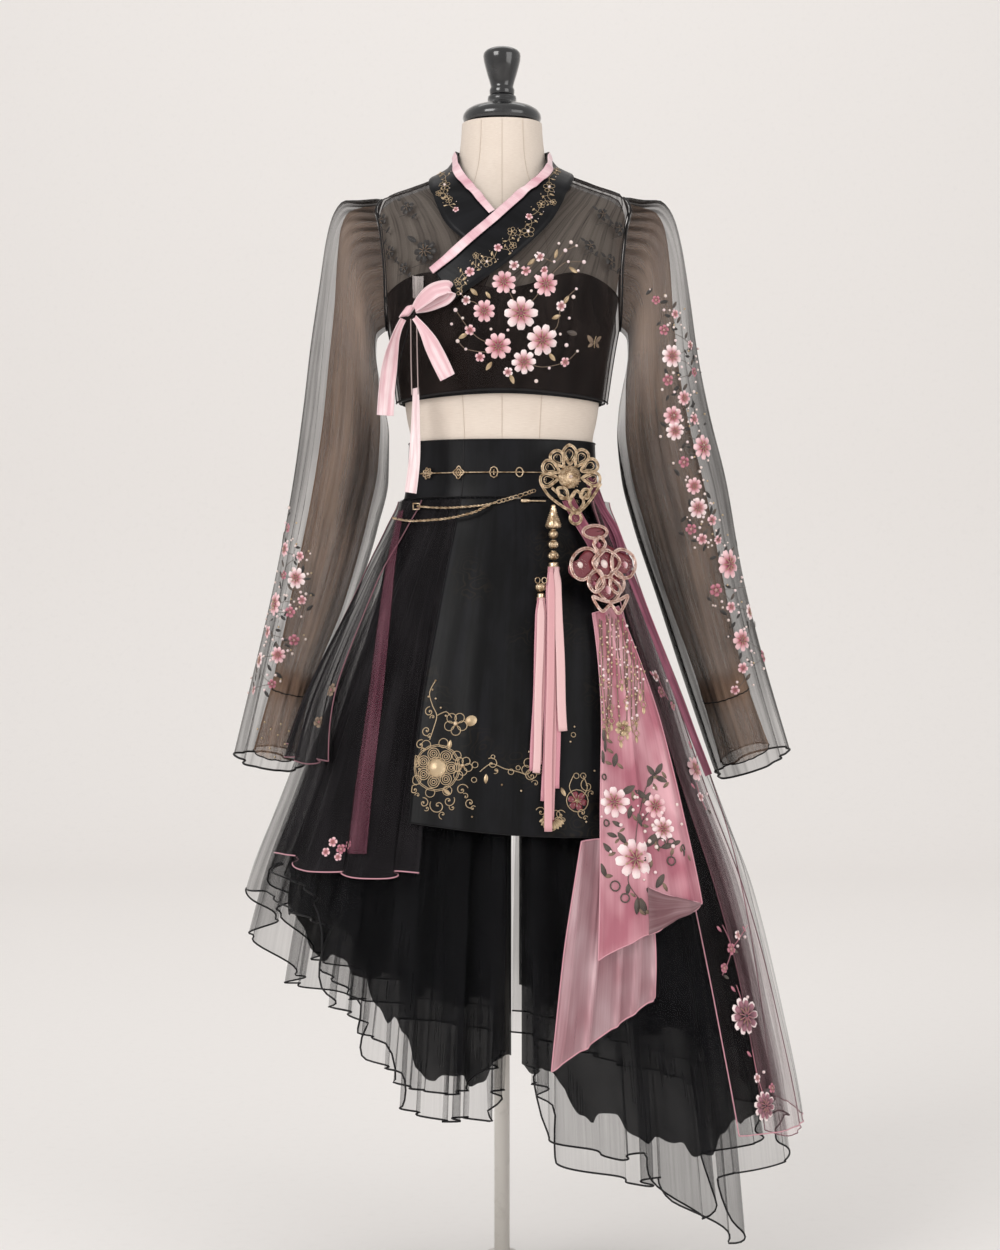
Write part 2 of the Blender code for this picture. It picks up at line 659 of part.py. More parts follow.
def build_collar(satin_black, satin_pink):
    """Wide black bands, the right one over the left, with a narrow pink trim on each."""
    bands = (
        ("git_left", band_rows(GIT_LEFT, LIFT_GIT_LEFT, 15, 4), satin_black),
        ("git_right", band_rows(GIT_RIGHT, LIFT_GIT_RIGHT, 17, 4), satin_black),
        ("dongjeong_left", band_rows(TRIM_LEFT, LIFT_TRIM_LEFT, 18, 2), satin_pink),
        ("dongjeong_right", band_rows(TRIM_RIGHT, LIFT_TRIM_RIGHT, 22, 2), satin_pink))
    for name, rows, material in bands:
        add_cloth(name, rows, material, RIBBON, outward=-1.0)


def armhole_ring(side, columns, scale, lift):
    """Points round the armhole, on the form's side, from its top by way of the front."""
    ring = []
    for i in range(columns):
        turn = 2.0 * math.pi * i / columns
        angle = side * (90.0 - ARMHOLE_HALF_ANGLE * scale * math.sin(turn))
        z = ARMHOLE_HEIGHT + ARMHOLE_HALF_HEIGHT * scale * math.cos(turn)
        ring.append(surface_point(FORM, angle, z, lift))
    return ring


def sleeve_ring(row, side, columns, scale, folds):
    """A section of a sleeve, from its outer edge by way of the front."""
    outer = Vector((side * row.outer_x, 0.0, row.outer_z))
    inner = Vector((side * row.inner_x, 0.0, row.inner_z))
    centre = (outer + inner) * 0.5
    reach = (outer - inner) * 0.5 * scale
    ring = []
    for i in range(columns):
        turn = 2.0 * math.pi * i / columns
        ripple = 1.0 - folds * (0.5 - 0.5 * math.cos(turn * SLEEVE_FOLDS + math.pi))
        forward = row.half_depth * scale * ripple * math.sin(turn)
        point = centre + reach * ripple * math.cos(turn)
        drop = row.front_drop * math.sin(turn)
        ring.append(point + Vector((0.0, row.middle_y - forward, -drop)))
    return ring


def build_sleeve(side_name, side, table, organza, taupe):
    """A full sheer sleeve with a narrower sheer tube inside it."""
    lift = LIFT_SLEEVE_LEFT if side < 0 else LIFT_SLEEVE_RIGHT
    outer = [armhole_ring(side, SLEEVE_COLUMNS, 1.0, lift)]
    for number, row in enumerate(table, start=1):
        depth = SLEEVE_FOLD_DEPTH * smooth_step(number / SLEEVE_ROWS_TO_FULL_FOLDS)
        outer.append(sleeve_ring(row, side, SLEEVE_COLUMNS, 1.0, depth))
    inner = [armhole_ring(side, UNDER_SLEEVE_COLUMNS, UNDER_SLEEVE_TOP_SCALE, lift)]
    for number, row in enumerate(table[:-1], start=1):
        if number in UNDER_SLEEVE_SKIPPED:
            continue
        taper = smooth_step(number / UNDER_SLEEVE_ROWS_TO_NARROW)
        scale = UNDER_SLEEVE_TOP_SCALE + (UNDER_SLEEVE_SCALE - UNDER_SLEEVE_TOP_SCALE) * taper
        inner.append(sleeve_ring(row, side, UNDER_SLEEVE_COLUMNS, scale, 0.0))
    for name, rows, material in (("sleeve_", outer, organza), ("under_sleeve_", inner, taupe)):
        rows = orient(rows, side)
        add_cloth(name + side_name, rows, material, ORGANZA, closed=True, outward=-1.0)


def orient(rows, side):
    """Turn the rings so that the faces look away from the sleeve's middle."""
    if side > 0:
        return [list(reversed(row)) for row in rows]
    return rows


# --- bow and long ribbon --------------------------------------------------------------------------

class BowStop(NamedTuple):
    """A place on a ribbon of the bow, from the knot, and how far it stands off the body."""
    right: float
    up: float
    lift: float


KNOT_X = -0.1180
KNOT_Z = 1.2470
KNOT_LIFT = 0.0300
KNOT_SIZE = (0.020, 0.012, 0.021)
KNOT_ROUNDING = 0.004
LOOP_WIDTH = 0.015
TAIL_WIDTH = 0.018
LONG_RIBBON_WIDTH = 0.013
LOOP_PATH = [
    BowStop(0.0150, 0.005, 0.034), BowStop(0.030, 0.014, 0.035), BowStop(0.050, 0.024, 0.031),
    BowStop(0.055, 0.025, 0.0265), BowStop(0.050, 0.023, 0.022), BowStop(0.030, 0.011, 0.022),
    BowStop(0.0150, 0.003, 0.025)]
LEFT_TAIL_PATH = [
    BowStop(-0.0060, -0.0135, 0.034), BowStop(-0.014, -0.030, 0.036), BowStop(-0.027, -0.070, 0.034),
    BowStop(-0.031, -0.126, 0.046)]
RIGHT_TAIL_PATH = [
    BowStop(0.0080, -0.0150, 0.034), BowStop(0.020, -0.030, 0.038), BowStop(0.036, -0.056, 0.040),
    BowStop(0.049, -0.085, 0.044)]
LONG_RIBBON_PATH = [
    BowStop(0.0120, 0.045, 0.0165), BowStop(0.0105, 0.003, 0.0165), BowStop(0.0095, -0.087, 0.036),
    BowStop(0.0090, -0.187, 0.060), BowStop(0.0055, -0.225, 0.058)]


def bow_path(stops, count):
    """Points on a smooth route in front of the body."""
    points = [front_point(FORM, KNOT_X + stop.right, KNOT_Z + stop.up, stop.lift) for stop in stops]
    return smooth_path(points, count)


def build_bow(satin_pink, organza_pink):
    """The knot, its loop and two tails, and the long ribbon behind them."""
    bm = bmesh.new()
    bmesh.ops.create_cube(bm, size=1.0)
    bmesh.ops.scale(bm, vec=KNOT_SIZE, verts=bm.verts)
    mesh = bpy.data.meshes.new("bow_knot")
    bm.to_mesh(mesh)
    bm.free()
    knot = add_object("bow_knot", mesh, satin_pink)
    knot.location = front_point(FORM, KNOT_X, KNOT_Z, KNOT_LIFT)
    bevel = knot.modifiers.new("Round", "BEVEL")
    bevel.width = KNOT_ROUNDING
    bevel.segments = 1
    loop = bow_path(LOOP_PATH, 15)
    add_strip("bow_loop", loop, (-0.35, 0.0, 1.0), LOOP_WIDTH, satin_pink)
    left_tail = bow_path(LEFT_TAIL_PATH, 8)
    add_strip("bow_tail_left", left_tail, (1.0, 0.1, -0.12), TAIL_WIDTH, satin_pink)
    right_tail = bow_path(RIGHT_TAIL_PATH, 8)
    add_strip("bow_tail_right", right_tail, (0.9, -0.25, 0.42), TAIL_WIDTH, satin_pink)
    ribbon = bow_path(LONG_RIBBON_PATH, 12)
    add_strip("long_ribbon", ribbon, (0.8, -0.6, 0.0), LONG_RIBBON_WIDTH, organza_pink)


# --- chima ----------------------------------------------------------------------------------------

def build_waistband(satin_black):
    """A wide smooth band, closed all round."""
    rows = []
    for z in spread(WAIST_SEAM + SEAM_GAP, WAISTBAND_TOP, 3):
        angles = [360.0 * i / FORM_COLUMNS for i in range(FORM_COLUMNS)]
        rows.append([surface_point(FORM, angle, z, LIFT_WAISTBAND) for angle in angles])
    add_cloth("waistband", rows, satin_black, SATIN, closed=True)


def flute(angle, count):
    """Uneven pleat wave round the body, between -1 and 1."""
    turn = math.radians(angle)
    uneven = turn + 0.10 * math.sin(3.0 * turn + 0.8) + 0.04 * math.sin(7.0 * turn)
    return math.cos(count * uneven)


def flute_depth(z, deepest):
    """Half depth of the pleats, from almost none at the waist to full well below it."""
    return FLAT_PLEAT + (deepest - FLAT_PLEAT) * smooth_step((WAIST_SEAM - z) / PLEAT_RUN) ** 0.8


def edge_angle(profile, x, z, back=False):
    """Angle at which a section passes a side position, near the front or the back."""
    half_depth = lookup(profile, "z", "half_depth", z)
    angle = math.degrees(math.atan2(x, half_depth))
    return 180.0 - angle if back else angle


def skirt_rows(profile, count, columns, heights, hem, slit_x, side, deepest):
    """Rows of one half of a skirt layer, from its hem to the waist."""
    rows = []
    for level in heights:
        row = []
        for share in spread(0.0, 1.0, columns):
            z = WAIST_SEAM
            for _ in range(3):
                front = edge_angle(profile, slit_x, z)
                back = edge_angle(profile, slit_x, z, back=True)
                start, end = (back - 360.0, front) if side < 0 else (front, back)
                angle = start + (end - start) * share
                z = hem(angle) + (WAIST_SEAM - hem(angle)) * level
            lift = flute(angle, count) * flute_depth(z, deepest)
            row.append(level_point(profile, angle, z, lift))
        rows.append(row)
    return rows


def outer_hem(angle):
    """Height of the stepped, slanting hem."""
    return lookup(OUTER_HEM, "angle", "z", (angle + 180.0) % 360.0 - 180.0)


def lining_hem(angle):
    """The black layer's hem, above the outer one and less stepped."""
    near = [outer_hem(angle + offset) for offset in LINING_HEM_OFFSETS]
    return sum(near) / len(near) + LINING_ABOVE_HEM


OUTER_LEVELS = [0.0, 0.26, 0.52, 0.74, 0.90, 1.0]
LINING_LEVELS = [0.0, 0.34, 0.66, 0.88, 1.0]
OUTER_DEPTH = 0.0135
LINING_DEPTH = 0.0075


def build_skirts(organza, tulle):
    """Two pleated layers, each in a left and a right half that part at the front and the back."""
    columns = OUTER_FLUTES // 2 * COLUMNS_PER_FLUTE + 1
    inner_columns = LINING_FLUTES // 2 * LINING_COLUMNS_PER_FLUTE + 1
    for side_name, side, slit_x in (("left", -1, SLIT_LEFT_X), ("right", 1, SLIT_RIGHT_X)):
        rows = skirt_rows(
            SKIRT, OUTER_FLUTES, columns, OUTER_LEVELS, outer_hem, slit_x, side, OUTER_DEPTH)
        add_cloth("skirt_outer_" + side_name, rows, organza, ORGANZA)
        rows = skirt_rows(
            LINING, LINING_FLUTES, inner_columns, LINING_LEVELS, lining_hem, slit_x, side,
            LINING_DEPTH)
        add_cloth("underskirt_" + side_name, rows, tulle, ORGANZA)


class Hung(NamedTuple):
    """How a panel hangs over the skirt."""
    name: str
    table: list
    material: str
    lift_top: float
    lift_low: float
    waves: float
    wave_depth: float
    columns: int
    rows: int
    sag: float


# Drop over which a hung panel's lift and ripples grow
HUNG_RUN = 0.30

HUNG_PANELS = [
    Hung("apron", APRON, "satin_black", 0.0066, 0.0270, 2.0, 0.0012, 13, 7, 0.004),
    Hung("overlay_left_lower", OVERLAY_LEFT_LOWER, "organza", 0.0040, 0.0200, 4.0, 0.0035, 17, 6, 0.016),
    Hung("overlay_left_upper", OVERLAY_LEFT_UPPER, "organza", 0.0072, 0.0310, 3.0, 0.0035, 13, 6, 0.010),
    Hung("overlay_right", OVERLAY_RIGHT, "organza", 0.0072, 0.0290, 3.0, 0.0035, 13, 7, 0.006),
    Hung(
        "overlay_right_pink", OVERLAY_RIGHT_PINK, "organza_pink", 0.0040, 0.0200, 2.0, 0.0030, 9, 6, 0.010),
    Hung("scarf_upper", SCARF_UPPER, "satin_pink", 0.0080, 0.0480, 2.5, 0.0035, 11, 6, 0.0),
    Hung("scarf_lower", SCARF_LOWER, "organza_pink", 0.0120, 0.0370, 2.0, 0.0030, 9, 5, 0.0)]


def hung_rows(panel):
    """Rows of a panel hung over the skirt, whose hem sags between its corners."""
    last = len(panel.table) - 1.0
    keys = list(range(len(panel.table)))
    rows = []
    for key in spread(0.0, last, panel.rows):
        left_angle, left_z, right_angle, right_z = [
            smooth_value(keys, column(panel.table, name), key) for name in PanelRow._fields]
        sag = panel.sag * (1.0 - key / last) ** 3
        row = []
        for share in spread(0.0, 1.0, panel.columns):
            angle = left_angle + (right_angle - left_angle) * share
            z = left_z + (right_z - left_z) * share - sag * math.sin(math.pi * share)
            low = smooth_step((WAIST_SEAM - z) / HUNG_RUN)
            ripple = panel.wave_depth * math.cos(2.0 * math.pi * panel.waves * share) * low
            lift = panel.lift_top + (panel.lift_low - panel.lift_top) * low + ripple
            row.append(level_point(SKIRT, angle, z, lift))
        rows.append(row)
    return rows


def build_panels(materials):
    """Apron, side overlays and scarves."""
    for panel in HUNG_PANELS:
        rows = hung_rows(panel)
        thickness = SATIN if panel.name == "apron" else ORGANZA
        add_cloth(panel.name, rows, materials[panel.material], thickness)


# --- ribbons, chains and pendants -----------------------------------------------------------------

class RouteStop(NamedTuple):
    """A place on a ribbon or chain that lies over the skirt."""
    angle: float
    z: float
    lift: float


CHAIN_RADIUS = 0.0015
ROSE_RIBBON_WIDTH = 0.010

ROSE_RIBBON = [
    RouteStop(58.0, 1.040, 0.012), RouteStop(60.0, 0.980, 0.024), RouteStop(62.0, 0.885, 0.037),
    RouteStop(65.0, 0.790, 0.040), RouteStop(68.0, 0.665, 0.041)]

CHAIN_UPPER = [
    RouteStop(-52.4, 1.004, 0.0120), RouteStop(-34.0, 1.001, 0.0130), RouteStop(-15.0, 1.003, 0.0130),
    RouteStop(8.0, 1.014, 0.0120), RouteStop(20.0, 1.022, 0.0110)]

CHAIN_LOWER = [
    RouteStop(-66.0, 0.990, 0.0160), RouteStop(-50.0, 0.985, 0.0160), RouteStop(-36.0, 0.986, 0.0170),
    RouteStop(-17.0, 0.994, 0.0180)]

# Line of charms across the waistband
CHARM_HEIGHT = 1.046
CHARM_LINE_START = -52.0
CHARM_LINE_END = 19.0
CHARM_LINE_RADIUS = 0.0010
CHARM_GAP = 0.0006
CHARM_RADIUS = 0.0075
CHARM_HALF = 0.0012
CHARM_TURN = 0.85
CHARM_ANGLES = [-41.0, -24.0, -5.0, 10.0]


def route(stops, count):
    """Points along a smooth route over the skirt and waistband."""
    return smooth_path([level_point(SKIRT, stop.angle, stop.z, stop.lift) for stop in stops], count)


def add_disc(name, centre, facing, radius, half_thickness, material, sides=10):
    """A flat round piece that faces a direction round the body."""
    bm = bmesh.new()
    bmesh.ops.create_cone(
        bm, cap_ends=True, segments=sides, radius1=radius, radius2=radius, depth=half_thickness * 2.0)
    mesh = bpy.data.meshes.new(name)
    bm.to_mesh(mesh)
    bm.free()
    obj = add_object(name, mesh, material)
    obj.location = centre
    obj.rotation_euler = (math.radians(90.0), 0.0, math.radians(facing))
    return obj


def add_openwork(name, place, outline, holes, half_thickness, material):
    """A flat pendant cut through with holes, standing upright and facing round the body."""
    curve = bpy.data.curves.new(name, "CURVE")
    curve.dimensions = "2D"
    curve.fill_mode = "BOTH"
    curve.extrude = half_thickness
    for loop in [outline] + holes:
        spline = curve.splines.new("POLY")
        spline.points.add(len(loop) - 1)
        for control, point in zip(spline.points, loop):
            control.co = (point[0], point[1], 0.0, 1.0)
        spline.use_cyclic_u = True
    obj = add_object(name, curve, material)
    obj.location = front_point(SKIRT, place.x, place.z, place.lift)
    obj.rotation_euler = (math.radians(90.0 - place.lean), 0.0, math.radians(place.facing))
    return obj


def round_hole(x, y, radius, sides=6):
    """A round hole in a pendant."""
    turns = [2.0 * math.pi * i / sides for i in range(sides)]
    return [(x + radius * math.cos(turn), y + radius * math.sin(turn)) for turn in turns]


def lobed_outline(half_width, half_height, lobes, lobe_depth, points):
    """A closed outline with rounded lobes."""
    outline = []
    for i in range(points):
        turn = 2.0 * math.pi * i / points
        reach = 1.0 - lobe_depth * (0.5 - 0.5 * math.cos(lobes * turn))
        outline.append((half_width * reach * math.sin(turn), half_height * reach * math.cos(turn)))
    return outline


class Placed(NamedTuple):
    """Where a pendant hangs in front of the skirt, the direction it faces and how far it leans back."""
    x: float
    z: float
    lift: float
    facing: float = 0.0
    lean: float = 0.0


PENDANT_HALF = 0.0020
MEDALLION = Placed(0.0820, 1.0400, 0.0200, 28.0, 8.0)
ROSE_PENDANT = Placed(0.1240, 0.9080, 0.0420, 40.0, 17.0)
BELL = Placed(0.0640, 0.9740, 0.0240)
BELL_TOP = 1.004
MAIN_BEADS = ((0.9665, 0.0062), (0.9535, 0.0066), (0.9395, 0.0070))
MAIN_HEAD_TOP = 0.9315
SIDE_BEAD = Placed(0.0480, 0.9000, 0.0280)
HEAD_LIFT = 0.0290
SIDE_HEAD_TOP = 0.8930
TASSEL_LIFT = 0.0345


def build_pendants(gold, rose_gold):
    """The gold medallion with its bell and beads, and the rose-gold pendant."""
    corners = [(x, y) for x in (-1, 1) for y in (-1, 1)]
    gold_holes = [round_hole(x * 0.0141, y * 0.0141, 0.0048) for x, y in corners]
    gold_outline = lobed_outline(0.041, 0.043, 8, 0.22, 24)
    add_openwork("norigae_gold", MEDALLION, gold_outline, gold_holes, PENDANT_HALF, gold)
    rose_holes = [round_hole(x * 0.0140, y * 0.0180, 0.0044) for x, y in corners]
    rose_outline = lobed_outline(0.044, 0.050, 6, 0.26, 24)
    add_openwork("norigae_rose", ROSE_PENDANT, rose_outline, rose_holes, PENDANT_HALF, rose_gold)
    at = front_point(SKIRT, BELL.x, BELL.z, BELL.lift)
    bell_profile = [
        TurnedPoint(0.0, BELL_TOP), TurnedPoint(0.0030, BELL_TOP - 0.001),
        TurnedPoint(0.0045, BELL_TOP - 0.009), TurnedPoint(0.0095, BELL.z + 0.006),
        TurnedPoint(0.0100, BELL.z), TurnedPoint(0.0, BELL.z)]
    add_turned("bell_pendant", bell_profile, gold, steps=12, at=(at.x, at.y))
    for number, (z, radius) in enumerate(MAIN_BEADS):
        add_ball("bead_%d" % (number + 1), front_point(SKIRT, BELL.x, z, BELL.lift), radius, gold)
    at = front_point(SKIRT, SIDE_BEAD.x, SIDE_BEAD.z, SIDE_BEAD.lift)
    add_ball("side_bead", at, 0.0075, gold, 0.8)


class Strand(NamedTuple):
    """A hanging ribbon of a tassel: where its root is, how far it spreads and how low it ends."""
    root_x: float
    root_y: float
    foot_x: float
    foot_lift: float
    end_z: float


STRAND_POINTS = 6
STRAND_THICKNESS = 0.0016
STRAND_IN_HEAD = 0.004
TASSEL_HEAD_HEIGHT = 0.010


def strand_path(at, head_bottom, strand):
    """The middle of a strand, which hangs from the head and then lies over the skirt."""
    top = Vector((at.x + strand.root_x, at.y + strand.root_y, head_bottom + STRAND_IN_HEAD))
    path = [top, top - Vector((0.0, 0.0, STRAND_IN_HEAD + 0.001))]
    for share in spread(0.0, 1.0, STRAND_POINTS)[1:]:
        x = top.x + (strand.foot_x - strand.root_x) * share
        z = head_bottom + (strand.end_z - head_bottom) * share
        resting = front_point(SKIRT, x, z, TASSEL_LIFT + strand.foot_lift)
        path.append(Vector((x, min(top.y, resting.y), z)))
    return path


def add_tassel(name, at, head_top, head_radius, strands, width, material):
    """A tassel whose strands are fused into a round head."""
    bm = bmesh.new()
    half = width * 0.5
    thin = STRAND_THICKNESS * 0.5
    corners = ((-half, -thin), (half, -thin), (half, thin), (-half, thin))
    for strand in strands:
        path = strand_path(at, head_top - TASSEL_HEAD_HEIGHT, strand)
        rings = [[bm.verts.new(point + Vector((x, y, 0.0))) for x, y in corners] for point in path]
        bm.faces.new(rings[0])
        bm.faces.new(list(reversed(rings[-1])))
        for upper, lower in zip(rings, rings[1:]):
            for i in range(4):
                j = (i + 1) % 4
                bm.faces.new((lower[i], lower[j], upper[j], upper[i]))
    bmesh.ops.recalc_face_normals(bm, faces=bm.faces)
    mesh = bpy.data.meshes.new(name + "_strands")
    bm.to_mesh(mesh)
    bm.free()
    cutter = bpy.data.objects.new(name + "_strands", mesh)
    bpy.data.collections["cutters"].objects.link(cutter)
    cutter.hide_render = True
    cutter.display_type = "WIRE"
    head = bmesh.new()
    bmesh.ops.create_cone(
        head, cap_ends=True, segments=12, radius1=head_radius, radius2=head_radius * 0.7,
        depth=TASSEL_HEAD_HEIGHT)
    head_mesh = bpy.data.meshes.new(name)
    head.to_mesh(head_mesh)
    head.free()
    obj = add_object(name, head_mesh, material)
    obj.location = (at.x, at.y, head_top - TASSEL_HEAD_HEIGHT * 0.5)
    union = obj.modifiers.new("Strands", "BOOLEAN")
    union.operation = "UNION"
    union.object = cutter
    return obj


MAIN_STRANDS = [
    Strand(-0.0056, 0.0022, -0.0130, 0.0000, 0.632), Strand(0.0000, 0.0022, -0.0065, 0.0000, 0.618),
    Strand(0.0056, 0.0022, 0.0000, 0.0000, 0.640), Strand(-0.0030, -0.0024, -0.0095, 0.0042, 0.604),
    Strand(0.0030, -0.0024, 0.0130, 0.0042, 0.728)]

SIDE_STRANDS = [
    Strand(-0.0030, 0.0018, -0.0105, 0.0000, 0.690), Strand(0.0030, 0.0018, -0.0035, 0.0000, 0.682),
    Strand(0.0000, -0.0024, -0.0070, 0.0038, 0.674)]


def build_tassels(satin_pink):
    """The main tassel below the beads and the slimmer one at its left."""
    at = front_point(SKIRT, BELL.x, MAIN_HEAD_TOP, HEAD_LIFT)
    add_tassel("tassel_main", at, MAIN_HEAD_TOP, 0.0095, MAIN_STRANDS, 0.0044, satin_pink)
    at = front_point(SKIRT, SIDE_BEAD.x, SIDE_HEAD_TOP, HEAD_LIFT)
    add_tassel("tassel_side", at, SIDE_HEAD_TOP, 0.0070, SIDE_STRANDS, 0.0034, satin_pink)


def build_trimming(gold, satin_rose):
    """Chains, charms and the rose ribbon."""
    add_tube("chain_upper", route(CHAIN_UPPER, 10), CHAIN_RADIUS, gold)
    add_tube("chain_lower", route(CHAIN_LOWER, 9), CHAIN_RADIUS, gold)
    line_lift = LIFT_WAISTBAND + SATIN + CHARM_LINE_RADIUS + CHARM_GAP
    line = [surface_point(FORM, angle, CHARM_HEIGHT, line_lift)
            for angle in spread(CHARM_LINE_START, CHARM_LINE_END, 10)]
    add_tube("charm_line", line, CHARM_LINE_RADIUS, gold)
    charm_lift = line_lift + CHARM_LINE_RADIUS + CHARM_HALF + 2.0 * CHARM_GAP
    for number, angle in enumerate(CHARM_ANGLES):
        centre = surface_point(FORM, angle, CHARM_HEIGHT, charm_lift)
        facing = angle * CHARM_TURN
        add_disc("charm_%d" % (number + 1), centre, facing, CHARM_RADIUS, CHARM_HALF, gold)
    ribbon = route(ROSE_RIBBON, 10)
    add_strip("rose_ribbon", ribbon, (0.85, 0.45, 0.25), ROSE_RIBBON_WIDTH, satin_rose)


def main():
    """Build every piece in the part's collection."""
    clear_scene()
    for name in (COLLECTION, "cutters"):
        collection = bpy.data.collections.new(name)
        bpy.context.scene.collection.children.link(collection)
    materials = {
        "canvas": make_material("canvas", (0.70, 0.62, 0.53), 0.85),
        "gloss_black": make_material("gloss_black", (0.010, 0.010, 0.011), 0.18),
        "pale_metal": make_material("pale_metal", (0.78, 0.76, 0.73), 0.45, 0.3),
        "organza": make_material("organza", (0.030, 0.028, 0.030), 0.55, alpha=0.6),
        "organza_pink": make_material("organza_pink", (0.75, 0.42, 0.50), 0.50, alpha=0.6),
        "taupe": make_material("taupe", (0.25, 0.20, 0.17), 0.60, alpha=0.6),
        "tulle": make_material("tulle", (0.012, 0.012, 0.014), 0.80),
        "satin_black": make_material("satin_black", (0.012, 0.012, 0.015), 0.35),
        "satin_pink": make_material("satin_pink", (0.72, 0.36, 0.45), 0.38),
        "satin_rose": make_material("satin_rose", (0.22, 0.05, 0.10), 0.40),
        "gold": make_material("gold", (0.62, 0.44, 0.22), 0.32, 0.9),
        "rose_gold": make_material("rose_gold", (0.62, 0.34, 0.27), 0.35, 0.9)}
    build_form(materials["canvas"])
    build_stand(materials["gloss_black"], materials["pale_metal"])
    build_bodice(materials["organza"], materials["satin_black"])
    build_collar(materials["satin_black"], materials["satin_pink"])
    build_sleeve("left", -1, SLEEVE_LEFT, materials["organza"], materials["taupe"])
    build_sleeve("right", 1, SLEEVE_RIGHT, materials["organza"], materials["taupe"])
    build_bow(materials["satin_pink"], materials["organza_pink"])
    build_waistband(materials["satin_black"])
    build_skirts(materials["organza"], materials["tulle"])
    build_panels(materials)
    build_pendants(materials["gold"], materials["rose_gold"])
    build_tassels(materials["satin_pink"])
    build_trimming(materials["gold"], materials["satin_rose"])


main()
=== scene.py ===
"""Black organza hanbok on a limbless dress form: fine surfaces, embroidery, trimming and finishes.

Metres, +Z up. The front faces -Y and +X is the viewer's right. Angles are in degrees round the
body: 0 is the front, 90 the viewer's right side, 180 the back. A lift is a distance outward from
the dress form, or from the skirt's mean surface. Places on the cloth are given in view units, as
seen from the front camera: the view is 1000 units wide and 1250 high.
"""
import logging
import math
import random
from collections.abc import Callable
from dataclasses import dataclass, field
from enum import Enum

import bpy
import numpy as np
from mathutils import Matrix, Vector
from mathutils.bvhtree import BVHTree


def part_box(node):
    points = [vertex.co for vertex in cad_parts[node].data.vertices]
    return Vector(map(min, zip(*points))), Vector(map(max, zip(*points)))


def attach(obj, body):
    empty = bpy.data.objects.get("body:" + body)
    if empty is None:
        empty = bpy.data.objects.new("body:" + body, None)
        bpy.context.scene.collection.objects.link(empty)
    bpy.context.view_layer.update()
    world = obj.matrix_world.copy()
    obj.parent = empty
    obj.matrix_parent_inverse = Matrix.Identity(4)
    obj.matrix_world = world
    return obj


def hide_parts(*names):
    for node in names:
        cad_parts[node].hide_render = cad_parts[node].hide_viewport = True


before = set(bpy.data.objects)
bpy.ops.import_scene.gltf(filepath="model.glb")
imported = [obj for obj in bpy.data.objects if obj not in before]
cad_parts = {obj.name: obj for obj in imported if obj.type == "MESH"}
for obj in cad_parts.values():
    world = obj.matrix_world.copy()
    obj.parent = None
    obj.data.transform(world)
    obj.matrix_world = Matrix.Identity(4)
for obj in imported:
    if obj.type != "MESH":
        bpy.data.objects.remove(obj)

LOG = logging.getLogger("hanbok")
BODY = "root"
Points = np.ndarray
Pair = tuple[float, float]
Triple = tuple[float, float, float]
Four = tuple[float, float, float, float]
Five = tuple[float, float, float, float, float]
Pairs = tuple[Pair, ...]
Triples = tuple[Triple, ...]
Fours = tuple[Four, ...]

TAU = 2.0 * math.pi
FIFTH_TURN = 1.2566
GOLDEN_TURN = 2.39996
ANY_TURN = (0, 6.3)


class Side(Enum):
    """The side of the body, as the viewer sees it."""

    LEFT = -1
    RIGHT = 1

    @property
    def word(self) -> str:
        """The side's name inside a piece's name."""
        return self.name.lower()


class Held(Enum):
    """How a sheet of cloth is held."""

    HUNG = "hung"
    GATHERED = "gathered"
    STRETCHED = "stretched"
    FOLDED = "folded"


class Edge(Enum):
    """An edge of a cloth grid."""

    HEM = "hem"
    TOP = "top"
    START = "start"
    END = "end"


class Slot(Enum):
    """The material slots of the part's record."""

    CANVAS = "canvas"
    GLOSS_BLACK = "gloss_black"
    PALE_METAL = "pale_metal"
    ORGANZA_BLACK = "organza_black"
    ORGANZA_TAUPE = "organza_taupe"
    ORGANZA_PINK = "organza_pink"
    TULLE_BLACK = "tulle_black"
    SATIN_BLACK = "satin_black"
    SATIN_PINK = "satin_pink"
    SATIN_ROSE = "satin_rose"
    GOLD = "gold"
    ROSE_GOLD = "rose_gold"


# --- numbers --------------------------------------------------------------------------------------

def smooth_values(keys: Points, values: Points, at: Points) -> Points:
    """Read a monotone cubic curve through given points.

    Args:
        keys: Increasing positions of the points.
        values: Values at the points, or rows of values.
        at: Positions to read, of any shape for plain values and one row for rows of values.

    Returns:
        The curve's values at those positions.
    """
    keys = np.asarray(keys, float)
    values = np.asarray(values, float)
    at = np.clip(np.asarray(at, float), keys[0], keys[-1])
    many = (slice(None),) + (None,) * (values.ndim - 1)
    spans = np.diff(keys)
    steps = np.diff(values, axis=0) / spans[many]
    slopes = np.zeros(values.shape)
    product = steps[:-1] * steps[1:]
    total = steps[:-1] + steps[1:]
    rising = product > 0.0
    slopes[1:-1][rising] = 2.0 * product[rising] / total[rising]
    i = np.clip(np.searchsorted(keys, at, side="right") - 1, 0, len(keys) - 2)
    t = (at - keys[i]) / spans[i]
    span = spans[i]
    if values.ndim > 1:
        t, span = t[..., None], span[..., None]
    return (values[i] * (1 + 2 * t) * (1 - t) ** 2 + slopes[i] * span * t * (1 - t) ** 2
            + values[i + 1] * t * t * (3 - 2 * t) - slopes[i + 1] * span * t * t * (1 - t))


def smooth_step(t: Points) -> Points:
    """Ease from 0 to 1."""
    t = np.clip(t, 0.0, 1.0)
    return t * t * (3.0 - 2.0 * t)


def bump(at: Points, middle: float, reach: float) -> Points:
    """Rise to 1 in the middle and fall off on both sides."""
    return np.exp(-((at - middle) / reach) ** 2)


